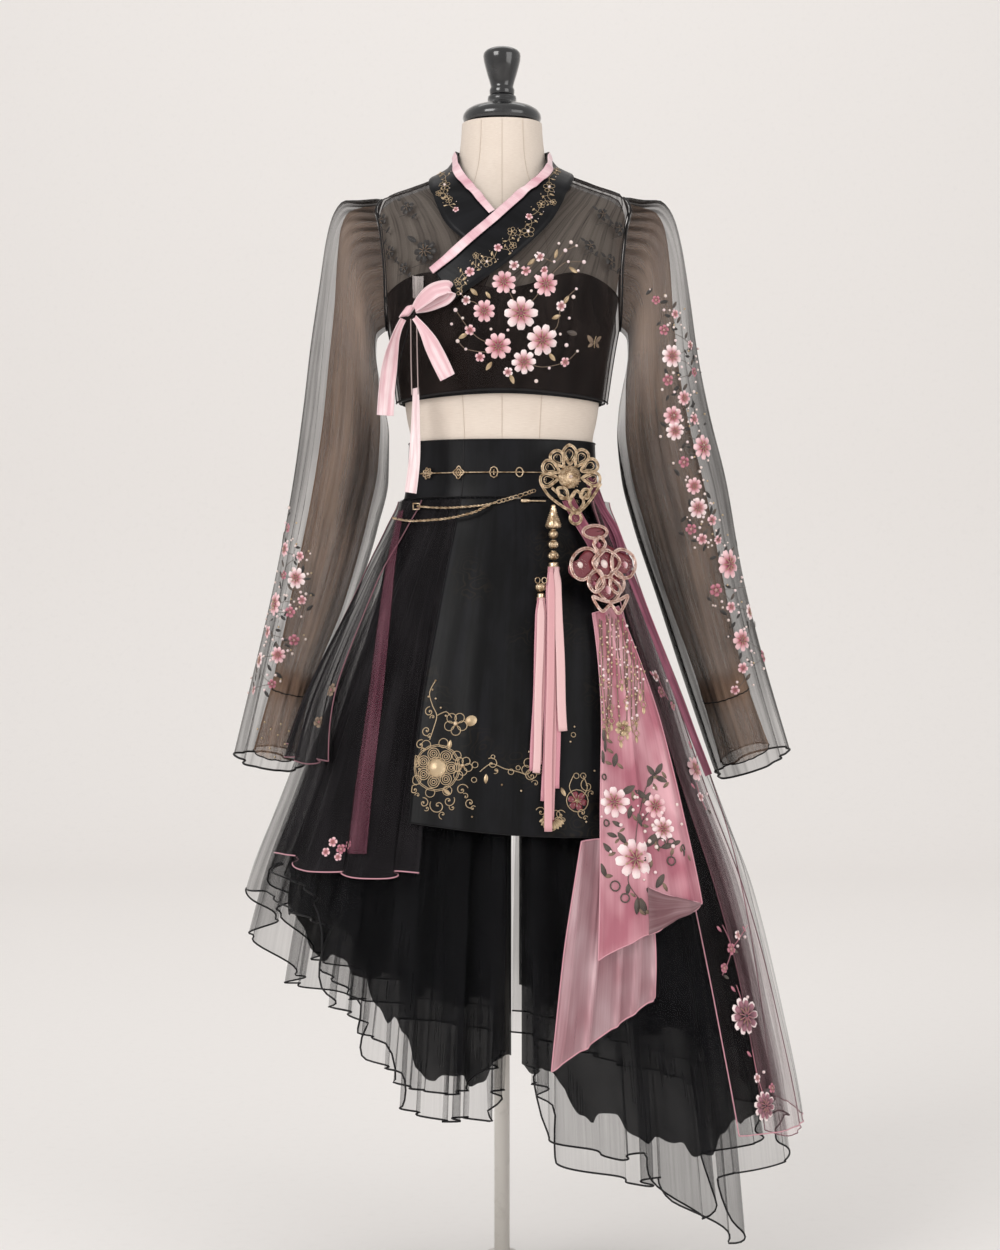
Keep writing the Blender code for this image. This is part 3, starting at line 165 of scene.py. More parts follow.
def smooth_path(points: Points, count: int) -> Points:
    """Spread points evenly on a smooth curve through a few given ones.

    Args:
        points: The given points, one a row.
        count: How many points to return.

    Returns:
        The new points, one a row.
    """
    points = np.asarray(points, float)
    steps = np.linalg.norm(np.diff(points, axis=0), axis=1)
    keys = np.concatenate([[0.0], np.cumsum(steps)])
    at = np.linspace(0.0, keys[-1], count)
    return smooth_values(keys, points, at)


def around(across: float, up: float, reach: float, turn: float) -> Pair:
    """Find the place at a reach and a turn from another."""
    return across + reach * math.cos(turn), up + reach * math.sin(turn)


def unit(vectors: Points) -> Points:
    """Scale vectors to length 1."""
    return vectors / np.maximum(np.linalg.norm(vectors, axis=-1, keepdims=True), 1e-12)


# --- the shared surfaces --------------------------------------------------------------------------

@dataclass(frozen=True)
class Profile:
    """A body made of superellipse sections: height, half width, half depth and centre."""

    rows: Fours
    power: float = 2.2

    def measure(self, number: int, z: Points) -> Points:
        """Read one measure of the sections at a height."""
        table = np.asarray(self.rows)
        return smooth_values(table[:, 0], table[:, number], z)

    def section(self, angle: Points, z: Points) -> Points:
        """Find points of the sections.

        Args:
            angle: Directions round the body.
            z: Heights.

        Returns:
            Points, in a last axis of three.
        """
        angle, z = np.broadcast_arrays(np.asarray(angle, float), np.asarray(z, float))
        half_width, half_depth, centre_y = [self.measure(number, z) for number in (1, 2, 3)]
        side = np.sin(np.radians(angle))
        front = np.cos(np.radians(angle))
        reach = (np.abs(side / half_width) ** self.power
                 + np.abs(front / half_depth) ** self.power) ** (-1.0 / self.power)
        return np.stack([reach * side, centre_y - reach * front, z], axis=-1)

    def surface(self, angle: Points, z: Points, lift: Points) -> Points:
        """Find points at a distance along the surface's outward normal.

        Args:
            angle: Directions round the body.
            z: Heights.
            lift: Distances from the surface.

        Returns:
            Points, in a last axis of three.
        """
        turn = 0.5
        rise = 0.0015
        point = self.section(angle, z)
        across = self.section(angle + turn, z) - self.section(angle - turn, z)
        upward = self.section(angle, z + rise) - self.section(angle, z - rise)
        return point + unit(np.cross(across, upward)) * np.asarray(lift)[..., None]

    def level(self, angle: Points, z: Points, lift: Points) -> Points:
        """Find points at a horizontal distance from the surface.

        Args:
            angle: Directions round the body.
            z: Heights.
            lift: Distances from the surface.

        Returns:
            Points, in a last axis of three.
        """
        point = self.section(angle, z)
        outward = point.copy()
        outward[..., 1] -= self.measure(3, point[..., 2])
        outward[..., 2] = 0.0
        return point + unit(outward) * np.asarray(lift)[..., None]

    def front(self, x: float, z: float, lift: float) -> Points:
        """Find the point in front of the body at a side position and a height.

        Args:
            x: The side position.
            z: The height.
            lift: The distance from the surface.

        Returns:
            The point.
        """
        near = 0.0
        far = 90.0 if x > 0.0 else -90.0
        for _ in range(24):
            middle = (near + far) * 0.5
            if abs(self.level(middle, z, lift)[0]) < abs(x):
                near = middle
            else:
                far = middle
        return self.level(near, z, lift)


FORM = Profile((
    (0.79, 0.14, 0.108, 0.008), (0.86, 0.15, 0.115, 0.008), (0.93, 0.1455, 0.111, 0.006),
    (0.985, 0.1315, 0.0995, 0.004), (1.035, 0.121, 0.091, 0.002), (1.09, 0.1175, 0.088, 0),
    (1.12, 0.123, 0.09, -0.001), (1.15, 0.1272, 0.0935, -0.002), (1.21, 0.1355, 0.104, -0.006),
    (1.265, 0.1455, 0.112, -0.008), (1.31, 0.152, 0.108, -0.004), (1.354, 0.1585, 0.096, 0.002),
    (1.385, 0.16, 0.083, 0.006), (1.4, 0.15, 0.074, 0.008), (1.412, 0.118, 0.068, 0.008),
    (1.426, 0.082, 0.063, 0.006), (1.441, 0.063, 0.059, 0.004), (1.46, 0.056, 0.055, 0.002),
    (1.503, 0.052, 0.052, 0)))

SKIRT = Profile((
    (0.02, 0.398, 0.26, 0.004), (0.2, 0.382, 0.25, 0.004), (0.366, 0.35, 0.235, 0.004),
    (0.512, 0.314, 0.215, 0.004), (0.644, 0.266, 0.19, 0.006), (0.756, 0.228, 0.165, 0.006),
    (0.886, 0.178, 0.138, 0.006), (0.938, 0.16, 0.124, 0.006), (0.98, 0.144, 0.1105, 0.005),
    (1.015, 0.1325, 0.1012, 0.004)))

LINING = Profile((
    (0.2, 0.354, 0.226, 0.004), (0.366, 0.322, 0.211, 0.004), (0.512, 0.286, 0.191, 0.004),
    (0.644, 0.239, 0.167, 0.006), (0.756, 0.202, 0.143, 0.006), (0.886, 0.161, 0.124, 0.006),
    (0.938, 0.15, 0.1155, 0.006), (0.98, 0.1375, 0.1045, 0.005), (1.015, 0.129, 0.0976, 0.003)))

NECK_TOP = 1.503
FORM_BOTTOM = 0.79
WAIST_SEAM = 1.015
WAISTBAND_TOP = 1.088
ARMHOLE_HEIGHT = 1.3185
ARMHOLE_HALF_HEIGHT = 0.0815
ARMHOLE_HALF_ANGLE = 16.5


# --- meshes ---------------------------------------------------------------------------------------

def grid_faces(rows: int, columns: int, closed: bool) -> Points:
    """List the four-sided faces of a grid of points.

    Args:
        rows: Rows of points.
        columns: Points in a row.
        closed: Whether each row's ends join.

    Returns:
        Point numbers, four a face.
    """
    start = np.arange(rows - 1)[:, None] * columns
    i = np.arange(columns if closed else columns - 1)[None, :]
    j = (i + 1) % columns
    corners = (start + i, start + j, start + columns + j, start + columns + i)
    return np.stack(np.broadcast_arrays(*corners), axis=-1).reshape(-1, 4)


class MeshBag:
    """Collects small shapes of several finishes, to be one piece."""

    def __init__(self) -> None:
        """Start with nothing in the bag."""
        self.points: list[Points] = []
        self.faces: list[list[int]] = []
        self.finish_numbers: list[int] = []
        self.tones: list[Points] = []
        self.finishes: list["Finish"] = []
        self.count = 0

    def add(self, points: Points, faces: Points, finish: "Finish", tone: Points | None = None) -> None:
        """Put a shape in the bag.

        Args:
            points: The shape's points.
            faces: Point numbers of its faces.
            finish: The shape's finish.
            tone: A number from 0 to 1 for each point, which shades the finish.
        """
        points = np.asarray(points, float).reshape(-1, 3)
        if finish not in self.finishes:
            self.finishes.append(finish)
        number = self.finishes.index(finish)
        self.points.append(points)
        self.tones.append(np.ones(len(points)) if tone is None else np.asarray(tone, float).ravel())
        for face in faces:
            self.faces.append([int(corner) + self.count for corner in face])
            self.finish_numbers.append(number)
        self.count += len(points)

    def tube(self, path: Points, radius: Points | float, finish: "Finish", sides: int = 6,
             closed: bool = False, tone: float = 1.0) -> None:
        """Sweep a round cord into the bag."""
        points, faces = sweep(path, radius, sides, closed)
        self.add(points, faces, finish, np.full(len(points), tone))

    def turn(self, profile: list[Pair], steps: int, finish: "Finish", at: Points = (0, 0),
             lobes: int = 0, lobe_depth: float = 0.0) -> None:
        """Turn a profile round an upright axis into the bag."""
        self.add(*turned(profile, steps, at, lobes, lobe_depth), finish)

    def bead(self, centre: Points, radius: float, finish: "Finish", sides: int = 6,
             tone: float = 1.0) -> None:
        """Put a bead or a granule in the bag."""
        points, faces = ball(centre, radius, sides)
        self.add(points, faces, finish, np.full(len(points), tone))

    def build(self, name: str, slot: Slot, replaces: tuple[str, ...] = ()) -> bpy.types.Object:
        """Make the piece.

        Args:
            name: The piece's name.
            slot: The record's slot, passed on to place.
            replaces: The solids that it stands for.

        Returns:
            The new object.
        """
        mesh = bpy.data.meshes.new(name)
        mesh.from_pydata(np.concatenate(self.points).tolist(), [], self.faces)
        tone = mesh.attributes.new("tone", "FLOAT", "POINT")
        tone.data.foreach_set("value", np.concatenate(self.tones).astype(np.float32))
        mesh.polygons.foreach_set("material_index", self.finish_numbers)
        for finish in self.finishes:
            mesh.materials.append(finish.material())
        return place(name, mesh, slot, replaces)


def place(name: str, mesh: bpy.types.Mesh, slot: Slot,
          replaces: tuple[str, ...] = ()) -> bpy.types.Object:
    """Put a finished mesh in the scene, riding on the part's body.

    Args:
        name: The piece's name.
        mesh: Its mesh, with its finishes.
        slot: The record's slot; not used.
        replaces: The solids that it stands for.

    Returns:
        The new object.
    """
    mesh.shade_smooth()
    mesh.update()
    piece = bpy.data.objects.new(name, mesh)
    bpy.context.scene.collection.objects.link(piece)
    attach(piece, BODY)
    if replaces:
        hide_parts(*replaces)
    LOG.info("%s: %d faces", name, len(mesh.polygons))
    return piece


def sweep(path: Points, radius: Points | float, sides: int = 6, closed: bool = False,
          flatten: float = 1.0, facing: Points | None = None) -> tuple[Points, list[list[int]]]:
    """Sweep a round or flattened section along a path.

    Args:
        path: The path's points.
        radius: The section's radius, at each point or everywhere.
        sides: The section's sides.
        closed: Whether the path's ends join.
        flatten: The section's thickness as a share of its width.
        facing: The direction in which a flattened section is thin.

    Returns:
        Points and faces.
    """
    path = np.asarray(path, float)
    if closed:
        along = np.roll(path, -1, axis=0) - np.roll(path, 1, axis=0)
    else:
        along = np.gradient(path, axis=0)
    along = unit(along)
    if facing is None:
        start = np.array([0.0, 1.0, 0.0]) if abs(along[0][1]) < 0.9 else np.array([1.0, 0.0, 0.0])
        normals = [unit(np.cross(along[0], start))]
        for direction in along[1:]:
            carried = normals[-1] - direction * np.dot(direction, normals[-1])
            normals.append(unit(carried))
        thin = np.array(normals)
    else:
        thin = np.broadcast_to(np.asarray(facing, float), path.shape)
        thin = unit(thin - along * np.sum(thin * along, axis=1, keepdims=True))
    wide = np.cross(thin, along)
    turns = np.arange(sides) * TAU / sides
    reach = np.broadcast_to(np.asarray(radius, float), (len(path),))[:, None, None]
    ring = (wide[:, None, :] * np.cos(turns)[None, :, None]
            + thin[:, None, :] * np.sin(turns)[None, :, None] * flatten)
    points = (path[:, None, :] + ring * reach).reshape(-1, 3)
    faces = grid_faces(len(path), sides, True).tolist()
    if closed:
        last = (len(path) - 1) * sides
        for i in range(sides):
            j = (i + 1) % sides
            faces.append([last + i, last + j, j, i])
    else:
        faces.append(list(range(sides))[::-1])
        faces.append([(len(path) - 1) * sides + i for i in range(sides)])
    return points, faces


def turned(profile: list[Pair], steps: int, at: Points = (0, 0),
           lobes: int = 0, lobe_depth: float = 0.0) -> tuple[Points, list[list[int]]]:
    """Turn a profile round an upright axis.

    Args:
        profile: Radius and height, from top to bottom.
        steps: Steps round the axis.
        at: Where the axis stands.
        lobes: Lobes round the shape.
        lobe_depth: Their depth as a share of the radius.

    Returns:
        Points and faces.
    """
    turns = np.arange(steps) * TAU / steps
    rows = []
    for radius, z in reversed(profile):
        reach = max(radius, 1e-5) * (1.0 - lobe_depth * (0.5 - 0.5 * np.cos(lobes * turns)))
        rows.append(np.stack([at[0] + reach * np.sin(turns), at[1] - reach * np.cos(turns),
                              np.full(steps, z)], axis=1))
    faces = grid_faces(len(rows), steps, True).tolist()
    faces.append(list(range(steps))[::-1])
    faces.append([(len(rows) - 1) * steps + i for i in range(steps)])
    return np.concatenate(rows), faces


def oval_profile(half_width: float, half_height: float, z: float, count: int) -> list[Pair]:
    """List an oval's half outline, from its top to its bottom."""
    rises = np.linspace(math.pi * 0.5, -math.pi * 0.5, count)
    return [(half_width * math.cos(rise), z + half_height * math.sin(rise)) for rise in rises]


def ball(centre: Points, radius: float, sides: int = 8) -> tuple[Points, list[list[int]]]:
    """Make a bead, or a plain eight-sided granule where it is tiny.

    Args:
        centre: Its middle.
        radius: Its radius.
        sides: Sides round it; under 8 it is a granule.

    Returns:
        Points and faces.
    """
    if sides < 8:
        tips = np.concatenate([np.eye(3), -np.eye(3)]) * radius
        faces = [[0, 1, 2], [1, 3, 2], [3, 4, 2], [4, 0, 2], [1, 0, 5], [3, 1, 5], [4, 3, 5], [0, 4, 5]]
        return np.asarray(centre) + tips, faces
    profile = oval_profile(radius, radius, centre[2], sides // 2 + 1)
    return turned(profile, sides, (centre[0], centre[1]))


# --- finishes -------------------------------------------------------------------------------------

Colour = Triple


class NodeBoard:
    """Wires up the nodes of one material."""

    def __init__(self, name: str) -> None:
        """Start a material with its Principled shader.

        Args:
            name: The material's name.
        """
        self.material = bpy.data.materials.new(name)
        self.material.use_nodes = True
        self.tree = self.material.node_tree
        self.shader = self.tree.nodes["Principled BSDF"]

    def set(self, node: bpy.types.Node, inputs: dict) -> bpy.types.Node:
        """Fill a node's sockets.

        Args:
            node: The node.
            inputs: A number, colour or output socket for each named socket.

        Returns:
            The same node.
        """
        for key, value in inputs.items():
            if isinstance(value, bpy.types.NodeSocket):
                self.tree.links.new(value, node.inputs[key])
            elif isinstance(value, tuple) and len(value) == 3 and node.inputs[key].type == "RGBA":
                node.inputs[key].default_value = (*value, 1.0)
            else:
                node.inputs[key].default_value = value
        return node

    def add(self, kind: str, inputs: dict | None = None, **settings: str | float | bool) -> bpy.types.Node:
        """Add a node.

        Args:
            kind: The node's type, without "ShaderNode".
            inputs: What its sockets get.
            **settings: The node's own settings.

        Returns:
            The new node.
        """
        node = self.tree.nodes.new("ShaderNode" + kind)
        for key, value in settings.items():
            setattr(node, key, value)
        return self.set(node, inputs or {})

    def maths(self, operation: str, *values: float | bpy.types.NodeSocket,
              clamp: bool = False) -> bpy.types.NodeSocket:
        """Work out a number."""
        node = self.add("Math", dict(enumerate(values)), operation=operation, use_clamp=clamp)
        return node.outputs[0]

    def attribute(self, name: str, output: str = "Fac") -> bpy.types.NodeSocket:
        """Read a number kept on the mesh's points."""
        return self.add("Attribute", attribute_name=name).outputs[output]

    def stretched(self, source: bpy.types.NodeSocket, scale: Triple,
                  **inputs: float) -> bpy.types.NodeSocket:
        """Read a noise stretched along an axis.

        Args:
            source: The coordinates.
            scale: How fine it is along each axis, in repeats a metre.
            **inputs: Other sockets of the texture, with capital letters restored.

        Returns:
            The noise's number.
        """
        mapping = self.add("Mapping", {"Vector": source, "Scale": scale})
        sockets = {"Vector": mapping.outputs[0], "Scale": 1.0}
        sockets.update({key.capitalize(): value for key, value in inputs.items()})
        return self.add("TexNoise", sockets).outputs[0]

    def mix(self, share: bpy.types.NodeSocket | float, low: Colour | bpy.types.NodeSocket,
            high: Colour | bpy.types.NodeSocket) -> bpy.types.NodeSocket:
        """Mix two colours."""
        node = self.add("MixRGB", {"Fac": share, "Color1": low, "Color2": high})
        return node.outputs[0]

    def remap(self, value: bpy.types.NodeSocket, low: float, high: float, new_low: float,
              new_high: float) -> bpy.types.NodeSocket:
        """Map a range of numbers to another, clamped."""
        sockets = {0: value, 1: low, 2: high, 3: new_low, 4: new_high}
        return self.add("MapRange", sockets, clamp=True).outputs[0]

    def bump(self, height: bpy.types.NodeSocket, depth: float, strength: float = 1.0) -> None:
        """Give the shader a bump.

        Args:
            height: The bump's height, from 0 to 1.
            depth: How deep it is, in metres.
            strength: How strongly it shows.
        """
        sockets = {"Height": height, "Distance": depth, "Strength": strength}
        node = self.add("Bump", sockets)
        self.set(self.shader, {"Normal": node.outputs[0]})

    def weave(self, source: bpy.types.NodeSocket, pitch: float) -> bpy.types.NodeSocket:
        """Draw crossed threads.

        Args:
            source: The cloth's own coordinates, in metres.
            pitch: The distance between threads.

        Returns:
            The threads' height, from 0 to 1.
        """
        split = self.add("SeparateXYZ", {0: source})
        waves = []
        for axis in ("X", "Y"):
            turn = self.maths("MULTIPLY", split.outputs[axis], TAU / pitch)
            waves.append(self.maths("ABSOLUTE", self.maths("SINE", turn)))
        return self.maths("MULTIPLY", self.maths("ADD", waves[0], waves[1]), 0.5)


class Finish:
    """A material that is made once, when it is first asked for."""

    made: dict[str, bpy.types.Material] = {}

    def material(self) -> bpy.types.Material:
        """Give the finish's material.

        Returns:
            The material, which all pieces of the finish share.
        """
        if self.name not in Finish.made:
            board = NodeBoard(self.name)
            self.wire(board)
            Finish.made[self.name] = board.material
        return Finish.made[self.name]

    def wire(self, board: NodeBoard) -> None:
        """Wire the nodes; each finish has its own way."""
        raise NotImplementedError


@dataclass(frozen=True)
class Sheer(Finish):
    """See-through cloth, denser along its folds, with fine lengthwise streaks and a painted sheen in
    lighter patches; the fold attribute holds both real doubling of the cloth and painted shade.
    """

    name: str
    colour: Colour
    cover: float
    fold_density_and_shade: float
    streak: float = 0.12
    roughness: float = 0.6
    sheen: float = 0.04
    pitch: float = 0.00045
    painted_sheen: Colour | None = None
    mottle: float = 0.16
    streak_scale: Triple = (420, 5, 1)
    cloud_scale: Triple = (26, 9, 1)

    def wire(self, board: NodeBoard) -> None:
        """Wire the cover to the folds, the streaks and the weave.

        Args:
            board: The material's node board.
        """
        weft = board.attribute("weft", "Vector")
        streaks = board.stretched(weft, self.streak_scale, detail=3.0)
        clouds = board.stretched(weft, self.cloud_scale, detail=2.0)
        threads = board.weave(weft, self.pitch)
        # The fold attribute raises the cover: partly for real doubling of the cloth, partly as painted
        # shade.
        folds = board.maths("MULTIPLY", board.attribute("fold"), self.fold_density_and_shade)
        varied = board.maths("MULTIPLY_ADD", streaks, self.streak * 2.0, self.cover - self.streak)
        varied = board.maths("MULTIPLY_ADD", clouds, self.mottle,
                             board.maths("SUBTRACT", varied, self.mottle * 0.5))
        cover = board.maths("ADD", varied, folds, clamp=True)
        # Painted sheen: a lighter colour mixed in where the streaks and clouds run high.
        light = self.painted_sheen or tuple(min(1.0, part * 1.8 + 0.004) for part in self.colour)
        grain = min(0.3, self.streak * 2.0)
        lit = board.maths("MULTIPLY_ADD", streaks, grain, board.maths("MULTIPLY", clouds, 1.0 - grain))
        colour = board.mix(board.remap(lit, 0.4, 0.62, 0.0, 1.0), self.colour, light)
        board.bump(threads, 0.00004, 0.3)
        board.set(board.shader, {
            "Base Color": colour, "Alpha": cover, "Roughness": self.roughness,
            "Sheen Weight": self.sheen, "Sheen Roughness": 0.4, "Specular IOR Level": 0.08})


@dataclass(frozen=True)
class Satin(Finish):
    """Smooth cloth with a soft directional painted sheen, painted shade along its folds, and a tone-on-tone
    figure where asked.
    """

    name: str
    # The cloth's colour in painted shade and in painted light; noise mixes them into a painted sheen.
    shade: Colour
    light: Colour
    roughness: float = 0.36
    sheen: float = 0.2
    figure: Colour | None = None
    crumple: float = 0.0006
    specular: float = 0.4
    streak_scale: Triple = (900, 14, 1)
    cloud_scale: Triple = (34, 11, 1)
    scroll_scale: Triple = (34, 34, 1)
    scroll_rings: float = 62.0
    patch_scale: Triple = (9, 9, 1)
    pitch: float = 0.0003

    def wire(self, board: NodeBoard) -> None:
        """Wire the painted sheen, the painted shade of the folds, the threads and the crumples.

        Args:
            board: The material's node board.
        """
        weft = board.attribute("weft", "Vector")
        streaks = board.stretched(weft, self.streak_scale, detail=3.0)
        clouds = board.stretched(weft, self.cloud_scale, detail=3.0, roughness=0.55)
        fold = board.attribute("fold")
        # Painted sheen: lighter where the streaks and clouds run high, with painted shade where the fold
        # attribute is high.
        painted_sheen = board.maths("MULTIPLY_ADD", streaks, 0.2, board.maths("MULTIPLY", clouds, 0.8))
        painted_sheen = board.maths("SUBTRACT", painted_sheen, board.maths("MULTIPLY", fold, 0.5), clamp=True)
        colour = board.mix(board.remap(painted_sheen, 0.36, 0.6, 0.0, 1.0), self.shade, self.light)
        if self.figure is not None:
            scrolls = board.stretched(weft, self.scroll_scale, detail=1.0)
            rings = board.maths("SINE", board.maths("MULTIPLY", scrolls, self.scroll_rings))
            patches = board.stretched(weft, self.patch_scale, detail=1.0)
            share = board.maths("MULTIPLY", board.remap(rings, 0.55, 0.8, 0.0, 1.0),
                                board.remap(patches, 0.5, 0.64, 0.0, 0.45))
            colour = board.mix(share, colour, self.figure)
        height = board.maths("MULTIPLY_ADD", board.weave(weft, self.pitch), 0.04, clouds)
        board.bump(height, self.crumple, 0.6)
        board.set(board.shader, {
            "Base Color": colour, "Sheen Weight": self.sheen, "Sheen Roughness": 0.3,
            "Specular IOR Level": self.specular,
            "Roughness": board.remap(streaks, 0.3, 0.7, self.roughness - 0.05, self.roughness + 0.07)})


@dataclass(frozen=True)
class Thread(Finish):
    """Embroidery silk whose colour runs from one tone to another, with fine stitch lines."""

    name: str
    deep: Colour
    pale: Colour
    roughness: float = 0.45
    metal: float = 0.0
    stitch: float = 900.0

    def wire(self, board: NodeBoard) -> None:
        """Wire the colour to the tone kept on the points.

        Args:
            board: The material's node board.
        """
        place_of = board.add("TexCoord").outputs["Object"]
        grain = board.stretched(place_of, (self.stitch,) * 3, detail=2.0)
        tone = board.attribute("tone")
        share = board.maths("MULTIPLY_ADD", grain, 0.3, board.maths("SUBTRACT", tone, 0.15), clamp=True)
        board.bump(grain, 0.0002, 0.7)
        board.set(board.shader, {
            "Base Color": board.mix(share, self.deep, self.pale), "Roughness": self.roughness,
            "Metallic": self.metal, "Sheen Weight": 0.3, "Sheen Roughness": 0.3})


@dataclass(frozen=True)
class Metal(Finish):
    """Aged metal, darker and duller in patches."""

    name: str
    dark: Colour
    bright: Colour
    roughness: float = 0.3
    patina_scale: float = 160.0
    pit_scale: float = 1400.0

    def wire(self, board: NodeBoard) -> None:
        """Wire the patina.

        Args:
            board: The material's node board.
        """
        place_of = board.add("TexCoord").outputs["Object"]
        patina = board.stretched(place_of, (self.patina_scale,) * 3, detail=4.0, roughness=0.6)
        pits = board.stretched(place_of, (self.pit_scale,) * 3, detail=2.0)
        board.bump(pits, 0.00012, 0.5)
        board.set(board.shader, {
            "Base Color": board.mix(board.remap(patina, 0.38, 0.62, 0.0, 1.0), self.dark, self.bright),
            "Metallic": 0.9,
            "Roughness": board.remap(patina, 0.3, 0.7, self.roughness + 0.12, self.roughness - 0.06)})


@dataclass(frozen=True)
class Canvas(Finish):
    """Plain woven canvas stretched over the form."""

    name: str
    deep: Colour
    pale: Colour
    mark_scale: Triple = (14, 14, 14)
    slub_scale: Triple = (90, 1200, 1)
    pitch: float = 0.0009

    def wire(self, board: NodeBoard) -> None:
        """Wire the weave, the slubs and the faint marks of use.

        Args:
            board: The material's node board.
        """
        weft = board.attribute("weft", "Vector")
        place_of = board.add("TexCoord").outputs["Object"]
        marks = board.stretched(place_of, self.mark_scale, detail=4.0)
        slubs = board.stretched(weft, self.slub_scale, detail=2.0)
        threads = board.weave(weft, self.pitch)
        share = board.maths("MULTIPLY_ADD", slubs, 0.5, board.maths("MULTIPLY", marks, 0.5))
        colour = board.mix(board.remap(share, 0.36, 0.62, 0.0, 1.0), self.deep, self.pale)
        height = board.maths("MULTIPLY_ADD", slubs, 0.4, threads)
        board.bump(height, 0.0002, 0.5)
        board.set(board.shader, {
            "Base Color": colour, "Roughness": 0.85, "Sheen Weight": 0.15,
            "Specular IOR Level": 0.25})


@dataclass(frozen=True)
class Coated(Finish):
    """A hard coated surface: lacquered wood, paint or enamel."""

    name: str
    colour: Colour
    edge: Colour
    roughness: float
    coat: float = 0.0
    metal: float = 0.0
    wear_scale: float = 55.0

    def wire(self, board: NodeBoard) -> None:
        """Wire faint wear and smudges.

        Args:
            board: The material's node board.
        """
        place_of = board.add("TexCoord").outputs["Object"]
        wear = board.stretched(place_of, (self.wear_scale,) * 3, detail=5.0)
        board.bump(wear, 0.0001, 0.25)
        board.set(board.shader, {
            "Base Color": board.mix(board.remap(wear, 0.55, 0.72, 0.0, 0.6), self.colour, self.edge),
            "Roughness": board.remap(wear, 0.35, 0.7, self.roughness, self.roughness + 0.14),
            "Coat Weight": self.coat, "Coat Roughness": 0.08, "Metallic": self.metal})


ORGANZA = Sheer("organza_black", (0.01, 0.008, 0.007), 0.24, 0.6, mottle=0.34)
ORGANZA_BODICE = Sheer("organza_bodice", (0.012, 0.008, 0.007), 0.6, 0.5)
ORGANZA_SKIRT = Sheer("organza_skirt", (0.004, 0.004, 0.005), 0.19, 0.46)
ORGANZA_MIDDLE = Sheer("organza_middle", (0.004, 0.004, 0.005), 0.25, 0.5)
ORGANZA_DARK = Sheer("organza_dark", (0.006, 0.005, 0.006), 0.7, 0.45)
ORGANZA_LIGHT = Sheer("organza_light", (0.012, 0.009, 0.009), 0.14, 0.4)
ORGANZA_TAUPE = Sheer("organza_taupe", (0.3, 0.185, 0.13), 0.56, 0.35, painted_sheen=(0.42, 0.28, 0.2),
                      mottle=0.3)
ORGANZA_PINK = Sheer("organza_pink", (0.48, 0.17, 0.22), 0.76, 0.24, 0.04, painted_sheen=(0.82, 0.46, 0.51))
ORGANZA_VEIL = Sheer("organza_veil", (0.62, 0.33, 0.37), 0.46, 0.42, 0.05, painted_sheen=(0.82, 0.56, 0.6))
ORGANZA_ROSE = Sheer("organza_rose", (0.56, 0.28, 0.33), 0.16, 0.3, painted_sheen=(0.66, 0.42, 0.46))
ORGANZA_TURN = Sheer("organza_turn", (0.2, 0.1, 0.112), 0.8, 0.35, painted_sheen=(0.4, 0.27, 0.285))
ORGANZA_FOLD = Sheer("organza_fold", (0.14, 0.04, 0.065), 0.22, 0.4, painted_sheen=(0.22, 0.09, 0.12))
ORGANZA_TAB = Sheer("organza_tab", (0.62, 0.56, 0.54), 0.28, 0.4, painted_sheen=(0.75, 0.7, 0.68))
TULLE = Sheer("tulle_black", (0.0022, 0.0022, 0.0026), 0.95, 0.05, streak=0.04, roughness=0.8, sheen=0.0)
SATIN_BLACK = Satin("satin_black", (0.0025, 0.0025, 0.003), (0.008, 0.008, 0.01), 0.36, sheen=0.0,
                    specular=0.16)
BROCADE = Satin("brocade_black", (0.0025, 0.0025, 0.003), (0.007, 0.007, 0.009), 0.4, sheen=0.0,
                figure=(0.022, 0.016, 0.01), specular=0.14)
SATIN_PINK = Satin("satin_pink", (0.64, 0.33, 0.39), (0.91, 0.68, 0.71), 0.32, sheen=0.3)
SATIN_BOW = Satin("satin_bow", (0.74, 0.46, 0.5), (0.95, 0.8, 0.81), 0.3, sheen=0.3)
SATIN_PALE = Satin("satin_pale", (0.8, 0.6, 0.62), (0.95, 0.85, 0.85), 0.34, sheen=0.3)
SATIN_STRIP = Satin("satin_strip", (0.3, 0.07, 0.12), (0.56, 0.22, 0.28), 0.36)
SATIN_ROSE = Satin("satin_rose", (0.12, 0.02, 0.045), (0.34, 0.1, 0.16), 0.36)
PIPING = Satin("piping_black", (0.003, 0.003, 0.004), (0.01, 0.009, 0.01), 0.5, sheen=0.0, specular=0.3)
PIPING_ROSE = Satin("piping_rose", (0.1, 0.03, 0.045), (0.3, 0.13, 0.16), 0.45)
PIPING_TAUPE = Satin("piping_taupe", (0.26, 0.19, 0.18), (0.52, 0.42, 0.4), 0.45)
PIPING_PINK = Satin("piping_pink", (0.46, 0.18, 0.24), (0.72, 0.38, 0.43), 0.4)
TASSEL_DEEP = Thread("tassel_deep", (0.38, 0.11, 0.16), (0.58, 0.25, 0.3), 0.42, stitch=500.0)
TASSEL_PINK = Thread("tassel_pink", (0.42, 0.17, 0.2), (0.64, 0.33, 0.35), 0.4, stitch=500.0)
TASSEL_PALE = Thread("tassel_pale", (0.5, 0.25, 0.27), (0.72, 0.46, 0.46), 0.38, stitch=500.0)
CANVAS = Canvas("canvas", (0.7, 0.6, 0.515), (0.78, 0.685, 0.6))
LACQUER = Coated("gloss_black", (0.006, 0.006, 0.007), (0.03, 0.03, 0.032), 0.16, coat=0.8)
PAINT = Coated("pale_metal", (0.74, 0.71, 0.67), (0.6, 0.57, 0.53), 0.42, metal=0.2)
GOLD = Metal("gold", (0.3, 0.2, 0.115), (0.84, 0.66, 0.46))
ROSE_GOLD = Metal("rose_gold", (0.52, 0.29, 0.23), (0.94, 0.74, 0.66))
